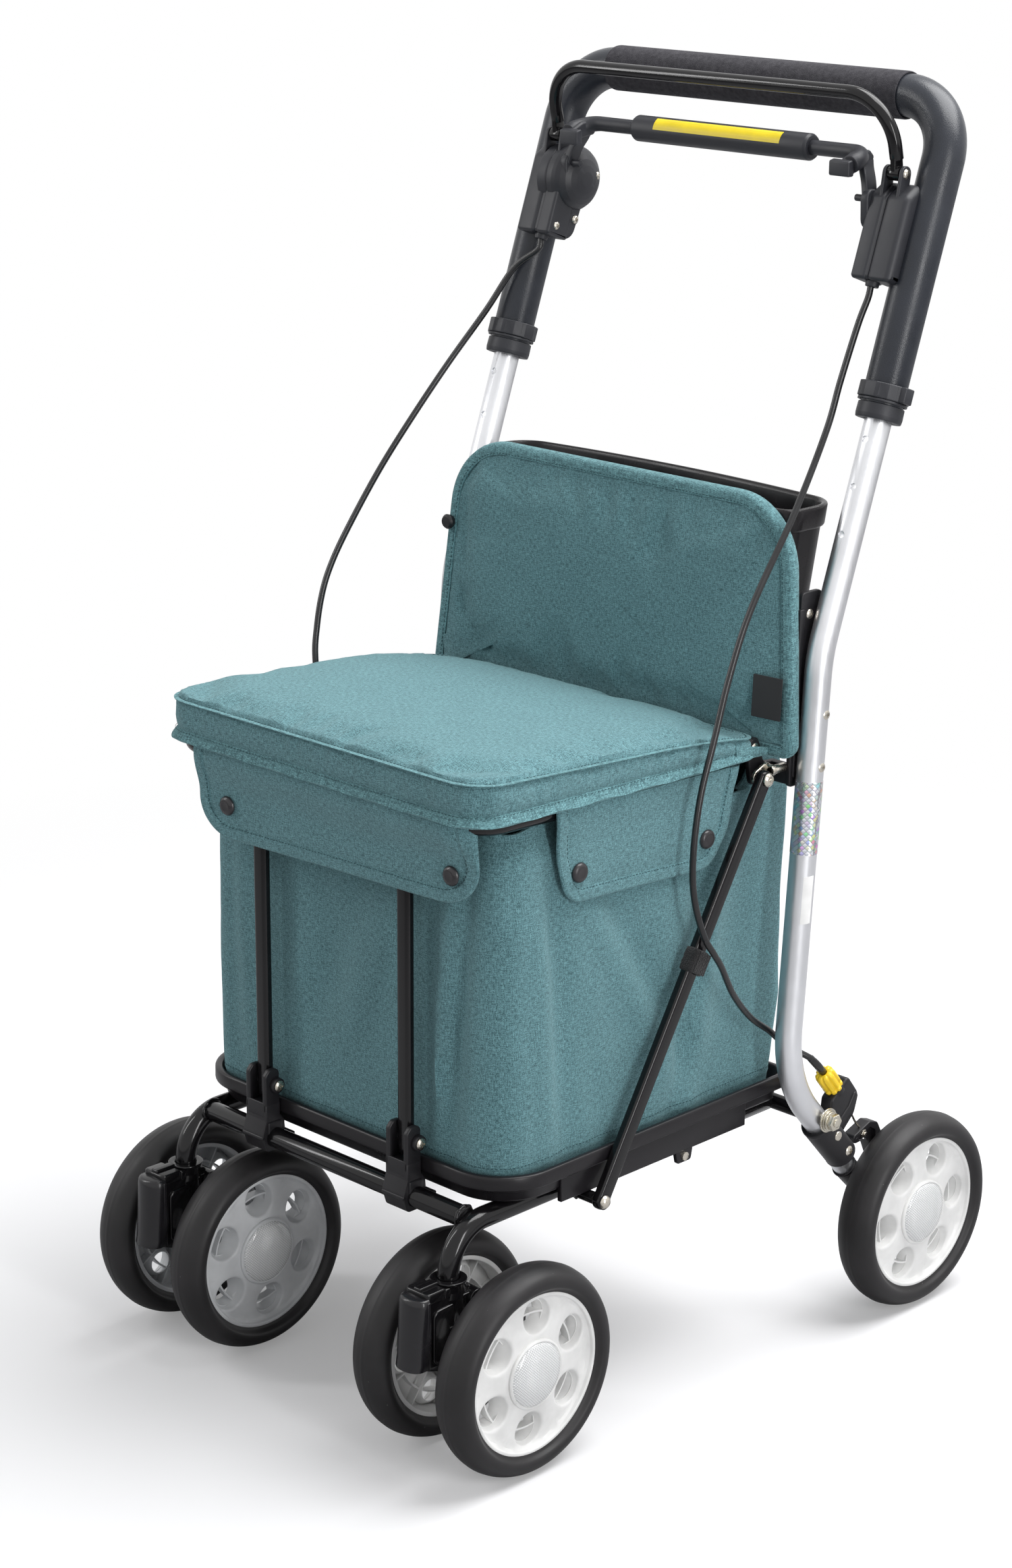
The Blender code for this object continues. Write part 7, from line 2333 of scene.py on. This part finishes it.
def makeHandleTube():
    s = handleSettings
    corners = [(s["x"], *s["foot"]), (s["x"], *s["top"]), (-s["x"], *s["top"]), (-s["x"], *s["foot"])]
    tube = sweep(filletPath(corners, 0.045, 20), s["radius"], 48, soft=0.0008)
    bores = []
    # the bores' walls take the near-black inside finish, painted shade for the dark hollow of the tube ends
    for sign in bothSigns:
        foot = Vector((sign * s["x"], *s["foot"]))
        bores.append(rod(foot - handleUp * 0.01, foot + handleUp * 0.188, 0.0109, sides=36, paint=1))
    tube = carved(tube, *bores)
    shells = [tube]
    collars = []
    for sign in bothSigns:
        foot = Vector((sign * s["x"], *s["foot"]))
        collars.append(lathe(roundProfile([(0.0112, -0.0004), (0.0172, -0.0004), (0.0177, 0.003), (0.0175, 0.011),
                                           (0.0162, 0.0114), (0.0162, 0.004), (0.0112, 0.004)], 0.0007, 4,
                                           closed=True), aimed(foot, handleUp), 56, closed=True))
    finishPiece("push_handle", shells, "handle", [looks["satinPaint"], looks["inside"]], ["handle_tube"],
                30)
    finishPiece("handle_collars", collars, "handle", looks["caseBlack"], sharp=40)
    ring = roundProfile([(0.0161, 0.1462), (0.0166, 0.147), (0.0175, 0.1468), (0.0178, 0.145), (0.0178, -0.145),
                         (0.0175, -0.1468), (0.0166, -0.147), (0.0161, -0.1462)], 0.0008, 4, closed=True)
    foam = lathe(ring, facing(0.0, s["top"]), 56, closed=True)
    sleeve = finishPiece("grip_foam", [foam], "handle", looks["foam"], ["grip"], 50)


def makeLockRings():
    s = handleSettings
    for side, sign in bothSides:
        foot = Vector((sign * s["x"], *s["foot"])) + handleUp * 0.0195
        place = alongHandle(sign * s["x"])
        place = Matrix.Translation(foot - place.translation) @ place
        outline = []
        for index in range(12):
            angle = math.radians(30 * index + 15)
            radius = 0.0197 if index % 2 else 0.0192
            outline.append((radius * math.cos(angle), radius * math.sin(angle)))
        ring = slab(roundedOutline(outline, 0.0016, 3), 0.0118, place @ Matrix.Translation((0, 0, 0.001)), 0.0009,
                    [circleOutline(0.0166, 40)])
        foot = slab(circleOutline(0.0187, 48), 0.0018, place @ Matrix.Translation((0, 0, -0.0061)), 0.0004,
                    [circleOutline(0.0166, 40)])
        grooves = []
        for index in range(12):
            if index % 3 == 0:
                continue
            angle = math.radians(30 * index + (0 if sign > 0 else 180))
            turn = place @ Matrix.Rotation(angle, 4, "Z")
            grooves.append(block((0.0188, -0.0022, -0.003), (0.0215, 0.0022, 0.006), 0.0004, turn))
        ring = carved(ring, *grooves)
        tab = roundedOutline(((sign * 0.0172, -0.0065), (sign * 0.023, -0.005), (sign * 0.023, 0.005),
                              (sign * 0.0172, 0.0065)), 0.0016, 5)
        lug = slab(tab, 0.0118, place @ Matrix.Translation((0, 0, 0.001)), 0.001)
        finishPiece("lock_ring_" + side + "_fine", [ring, foot, lug], "lock_ring_" + side, looks["caseBlack"],
                    ["lock_ring_" + side], 35)


def caseHalf(low, high, grow=0.0, soft=0.0026):
    # one half of the moulded case in the handle's own axes, lying against the tube
    outline = roundedOutline(((-0.0272 - grow, -0.0475 - grow), (-0.003, -0.0475 - grow), (-0.003, 0.0255 + grow),
                              (-0.015, 0.0285 + grow), (-0.0268 - grow, 0.015 + grow)),
                              [0.003, 0.0015, 0.0015, 0.009, 0.009], 8)
    return slab(outline, high - low, Matrix(((0, 0, 1, (low + high) / 2), (1, 0, 0, 0), (0, 1, 0, 0), (0, 0, 0, 1))),
                soft, edgeSteps=5)


def makeHousings():
    s = handleSettings
    pivot = (leverPivot.y, leverPivot.z)
    for side, sign in bothSides:
        x = sign * s["housingX"]
        turn = alongHandle(x)
        inner = [caseHalf(-0.015, -0.0008), caseHalf(-0.0004, 0.0215, soft=0.005),
                 caseHalf(-0.003, 0.001, -0.0008, 0.0006)]
        inner.append(slab(barOutline((-0.0235, 0.0115), (-0.018, -0.002), 0.0075, 10), 0.007,
                          Matrix(((0, 0, 1, -0.0165), (1, 0, 0, 0), (0, 1, 0, 0), (0, 0, 0, 1))), 0.0016))
        inner = forSide(inner, sign)
        shells = [moved(p, turn) for p in inner]
        tube = rod(atHandle(sign * s["x"], 0, -0.09), atHandle(sign * s["x"], 0, 0.05), 0.0163, sides=48)
        shells = [carved(part, tube) for part in shells]
        for offset in (-0.0035, 0.0119):
            lug = barOutline(pivot, (atHandle(0, -0.02, 0.012).y, atHandle(0, -0.02, 0.012).z), 0.0058, 12)
            shells.append(slab(lug, 0.0028, sidePlane(sign * (0.1675 + offset)), 0.0007))
        gland = aimed(atHandle(x, -0.017, -0.0468), -handleUp)
        shells.append(lathe(roundProfile([(0.0026, 0.0), (0.0056, 0.0), (0.005, 0.0044), (0.0026, 0.0046)], 0.0005, 3,
                                         closed=True), gland, 32, closed=True))
        if sign < 0:
            shells += ratchetCase()
        finishPiece("housing_" + side, shells, "handle", looks["caseBlack"], ["brake_housing_" + side],
                    38)
        pins = [sideRod(sign * 0.1645, sign * 0.18, pivot, 0.002),
                moved(domeRivet(0.0038, 0.0018), facing(sign * 0.1808, pivot, sign)),
                moved(domeRivet(0.003, 0.0012), facing(sign * 0.1626, pivot, -sign))]
        finishPiece("lever_pin_" + side, pins, "handle", looks["zinc"], sharp=35)
        spots = [(atHandle(x - sign * 0.0125, -0.015, 0.005), (-sign, 0, 0))]
        if sign < 0:
            spots = [(Vector((-0.1554, *atHandle(0, -0.0215, 0.005).yz)), (1, 0, 0)),
                     (Vector((-0.1554, *atHandle(0, -0.0185, -0.039).yz)), (1, 0, 0)),
                     (Vector((-0.1554, *atHandle(0, 0.0008, -0.029).yz)), (1, 0, 0)),
                     (Vector((-0.1478, 0.4165, 0.8665)), (0.8, 0.55, 0.15))]
        fasteners("housing_screws_" + side, panHead(0.0033, 0.0022), spots, "handle", "zinc")


def ratchetCase():
    # round ratchet case on the left with the flat plate under it
    s = handleSettings
    place = facing(-0.159, s["dome"])
    dome = lathe(roundProfile([(0, 0.015), (0.006, 0.0147), (0.011, 0.0136), (0.016, 0.0117), (0.02, 0.0092),
                               (0.0234, 0.0058), (0.0254, 0.0024), (0.0262, -0.001), (0.0262, -0.0062),
                               (0.0254, -0.0066), (0.0254, -0.0074), (0.0262, -0.0078), (0.0262, -0.017),
                               (0, -0.017)], 0.001, 3), place, 72)
    plate = slab(roundedOutline(((-0.0255, -0.047), (0.003, -0.047), (0.005, -0.02), (0.01, 0.005), (-0.0255, 0.015)),
                                [0.003, 0.011, 0.006, 0.004, 0.004], 8), 0.0028, handleSide(-0.1568), 0.0008)
    back = slab(roundedOutline(((-0.024, -0.045), (0.001, -0.045), (0.003, -0.02), (0.008, 0.004), (-0.024, 0.014)),
                               [0.003, 0.01, 0.006, 0.004, 0.004], 8), 0.014, handleSide(-0.165), 0.0008)
    tube = rod(atHandle(-s["x"], 0, -0.09), atHandle(-s["x"], 0, 0.06), 0.0163, sides=48)
    bosses = [moved(lathe(roundProfile([(0, 0.0016), (0.0044, 0.0016), (0.005, -0.003), (0, -0.003)], 0.0005, 3),
                          steps=28),
                    facing(-0.1568, (p.y, p.z)))
                    for p in (atHandle(0, -0.0215, 0.005), atHandle(0, -0.0185, -0.039), atHandle(0, 0.0008, -0.029))]
    return [carved(dome, tube), plate, carved(back, tube)] + bosses


leverSettings = {
    "x": 0.1717,
    "grip": (0.3844, 0.9548),
    "radius": 0.0052,
    "bend": 0.038,
}


def makeLever():
    s = leverSettings
    pivot = (leverPivot.y, leverPivot.z)
    foot = (pivot[0] - 0.0006, pivot[1] + 0.01)
    corners = [(s["x"], *foot), (s["x"], *s["grip"]), (-s["x"], *s["grip"]), (-s["x"], *foot)]
    shells = [sweep(filletPath(corners, s["bend"], 18), s["radius"], 32, soft=0.0008)]
    for sign in bothSigns:
        # the tube's end is pressed flat round the pin
        flat = roundedOutline(((0.3915, 0.895), (0.4005, 0.892), (0.402, 0.899), (0.3995, 0.916), (0.3925, 0.923),
                               (0.39, 0.914)),
                              [0.005, 0.005, 0.005, 0.003, 0.003, 0.003], 6)
        shells.append(slab(flat, 0.0046, sidePlane(sign * s["x"]), 0.001))
        shells.append(sideRod(sign * 0.1664, sign * 0.177, pivot, 0.0056))
    finishPiece("lever_loop", shells, "lever", looks["enamel"], ["brake_lever"], 40)


def makeParkingBar():
    s = handleSettings
    centre, r = s["barCentre"], s["barRadius"]
    profile = roundProfile([(0.005, 0.089), (0.0088, 0.089), (r, 0.0868), (r, -0.0868), (0.0088, -0.089),
                            (0.005, -0.089)], 0.0012, 4, closed=True)
    sleeve = lathe(profile, facing(0.0, centre), 48, closed=True)
    shells = [sleeve]
    for sign in bothSigns:
        path = filletPath(((sign * 0.06, *centre), (sign * 0.143, *centre), (sign * 0.143, 0.378, 0.9035)), 0.016, 12)
        shells.append(sweep(path, 0.006, 28, radii=np.linspace(0.94, 1.14, len(path)), soft=0.001))
        paddle = roundedOutline(((0.3715, 0.8975), (0.372, 0.9055), (0.386, 0.9115), (0.3985, 0.913), (0.404, 0.908),
                                 (0.4, 0.901), (0.386, 0.899), (0.378, 0.8955)), 0.003, 5)
        shells.append(slab(paddle, 0.0104, sidePlane(sign * 0.1402), 0.0022, edgeSteps=4))
        lip = roundedOutline(((0.3712, 0.895), (0.3712, 0.906), (0.3775, 0.9075), (0.378, 0.895)), 0.0016, 4)
        shells.append(slab(lip, 0.019, sidePlane(sign * 0.1372), 0.0012))
        low = roundedOutline(((-0.006, -0.0028), (0.006, -0.0028), (0.006, 0.0028), (-0.006, 0.0028)), 0.001, 3)
        bend = smoothRoute([(sign * 0.1425, 0.3965, 0.906), (sign * 0.144, 0.3955, 0.9), (sign * 0.149, 0.3925, 0.89),
                            (sign * 0.1525, 0.39, 0.878)], 14)
        shells.append(sweep(bend, 0.005, outline=[(v, u) for u, v in low], up=(0, 1, 0)))
        shells.append(sideRod(sign * 0.1402, sign * 0.1605, (barPivot.y, barPivot.z), 0.0026))
    finishPiece("parking_bar_fine", shells, "park_bar", looks["caseBlack"], ["parking_bar"], 40)
    strips = []
    for x0, x1, low, high, out, paint in ((-0.064, 0.064, 8, 66, 0.00016, 0), (-0.06, 0.06, 19, 20.5, 0.00022, 1),
                                          (-0.06, 0.06, 53, 54.5, 0.00022, 1)):
        rings = []
        for x in np.linspace(x0, x1, 12):
            outer = [(x, centre[0] - (r + out) * math.cos(a), centre[1] + (r + out) * math.sin(a))
                     for a in np.radians(np.linspace(low, high, 12))]
            inner = [(x, centre[0] - 0.0101 * math.cos(a), centre[1] + 0.0101 * math.sin(a))
                     for a in np.radians(np.linspace(high, low, 12))]
            rings.append(outer + inner)
        strips.append(loft(rings, paint=paint))
    finishPiece("warning_strip", strips, "park_bar", [looks["yellowStrip"], looks["inside"]],
                sharp=40)


def makeHandle():
    makeHandleTube()
    makeLockRings()
    makeHousings()
    makeLever()
    makeParkingBar()
    print("handle made")


# ---- brake cables: black sheath from each housing to its adjuster, then the bare wire to the brake arm

cableSettings = {
    "radius": 0.0025,
    "wire": 0.0009,
    "rightUpper": ((0.169, 0.3744, 0.8174), (0.1692, 0.3716, 0.8094), (0.1675, 0.3632, 0.7907),
                   (0.167, 0.3457, 0.7508), (0.168, 0.3302, 0.7162), (0.1725, 0.292, 0.662), (0.178, 0.2403, 0.6007),
                   (0.1805, 0.2151, 0.5552), (0.182, 0.1973, 0.5083), (0.183, 0.1828, 0.4691),
                   (0.1838, 0.1757, 0.4281), (0.1848, 0.1765, 0.395)),
    "leftUpper": ((0.169, 0.3744, 0.8174), (0.1692, 0.3716, 0.8094), (0.187, 0.3621, 0.7934), (0.201, 0.345, 0.76),
                  (0.217, 0.3165, 0.7168), (0.2245, 0.2798, 0.6724), (0.2275, 0.2478, 0.6348),
                  (0.2285, 0.2141, 0.5916), (0.2285, 0.1968, 0.5655), (0.228, 0.1876, 0.5446),
                  (0.226, 0.1804, 0.5204), (0.222, 0.1748, 0.4976), (0.212, 0.171, 0.455), (0.2, 0.1735, 0.415)),
    "lower": ((0.1872, 0.1853, 0.364), (0.1876, 0.1967, 0.3468), (0.1866, 0.2073, 0.3328), (0.182, 0.2266, 0.3053),
              (0.1768, 0.2532, 0.2786), (0.1758, 0.2776, 0.2605), (0.1772, 0.29, 0.249), (0.184, 0.301, 0.24),
              (0.1905, 0.3098, 0.2335), (0.1923, 0.3174, 0.2263), (0.1923, 0.3236, 0.2187)),
    "wireRoute": ((0.1923, 0.3236, 0.2187), (0.1923, 0.332, 0.2085), (0.1923, 0.3575, 0.177), (0.189, 0.37, 0.1625),
                  (0.1868, 0.3785, 0.1545)),
}


def cablePiece(name, route, radius, look, ends=None, body=None, replaces=()):
    # a stretch of cable on the given body; where two end bodies are named it rides on none and its transform is baked
    # into the mesh
    shell = sweep(route, radius, 16)
    piece = finishPiece(name, [shell], body, looks[look], replaces, 50)
    if ends:
        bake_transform(piece)
    return piece


def splitAt(route, *heights):
    # cuts a falling route at the given heights; neighbours share the point
    cuts = [0]
    for z in heights:
        cuts.append(int(np.argmin(np.abs(route[:, 2] - z))))
    cuts.append(len(route) - 1)
    return [route[a:b + 1] for a, b in zip(cuts, cuts[1:])]


def makeCables():
    s = cableSettings
    for side, sign in bothSides:
        upper = s["rightUpper"] if sign > 0 else s["leftUpper"]
        points = [(sign * x, y, z) for x, y, z in upper + s["lower"]]
        route = smoothRoute(points, 240)
        old = ["brake_cable_" + side]
        if sign > 0:
            parts = splitAt(route, 0.5083, 0.36, 0.25)
            cablePiece("cable_right_upper", parts[0], s["radius"], "sheath", ("handle", "rear_frame"), replaces=old)
            cablePiece("cable_right_middle", parts[1], s["radius"], "sheath", ("rear_frame", "strut_right"))
            cablePiece("cable_right_lower", parts[2], s["radius"], "sheath", ("strut_right", "rear_frame"))
            cablePiece("cable_right_end", parts[3], s["radius"], "sheath", body="rear_frame")
        else:
            parts = splitAt(route, 0.4976)
            cablePiece("cable_left_upper", parts[0], s["radius"], "sheath", ("handle", "rear_frame"), replaces=old)
            cablePiece("cable_left_end", parts[1], s["radius"], "sheath", body="rear_frame")
        wire = smoothRoute([(sign * x, y, z) for x, y, z in s["wireRoute"]], 30)
        cablePiece("brake_wire_" + side, wire, s["wire"], "zinc", body="rear_frame")
        ferrule = rod(points[-1], points[-3], 0.0031, 0.0029, 20)
        finishPiece("cable_end_" + side, [ferrule], "rear_frame", looks["sheath"])
    print("cables made")


def dressPlainNodes():
    # a CAD node that nothing stands for keeps its shape and takes a finish through its slots
    kinds = {"backrest_plate": "moulded", "strut_hanger": "zinc", "brake_arm": "enamel", "axle_carrier": "moulded",
             "axle_tube": "silver", "rear_tube": "silver", "cable_adjuster": "yellow", "upright_bracket": "moulded",
             "upright": "enamel", "strut": "enamel", "lock_ring": "caseBlack", "brake_housing": "caseBlack",
             "brake_cable": "sheath", "caster": "moulded", "backrest": "cloth", "bin": "binBlack",
             "base_frame": "enamel", "tray": "trayBlack", "bag": "cloth", "seat_frame": "enamel", "seat": "cloth",
             "cable_strap": "fuzz", "handle_tube": "satinPaint", "grip": "foam", "brake_lever": "enamel",
             "parking_bar": "moulded", "tyre": "rubber", "hub": "hubWhite", "reflector": "lens"}
    for name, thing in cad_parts.items():
        if thing.hide_render:
            continue
        kind = max((k for k in kinds if name.startswith(k)), key=len)
        for place in thing.material_slots:
            place.material = looks[kinds[kind]]
        if not thing.material_slots:
            thing.data.materials.append(looks[kinds[kind]])
        print("plain node", name)


def makeEverything():
    placeCamera()
    lightScene()
    makeLooks()
    layFloor()
    trees.update(stitch=stitchTree(), fastener=fastenerTree(), rib=ribTree())
    for step in (makeWheels, makeCasters, makeBase, makeTray, makeBag, makeSeat, makeBackrest, makeBin, makeLegs,
                 makeLinkage, makeHandle, makeCables):
        step()
    dressPlainNodes()
    for old in [m for m in bpy.data.materials if m.users == 0]:
        bpy.data.materials.remove(old)


makeEverything()
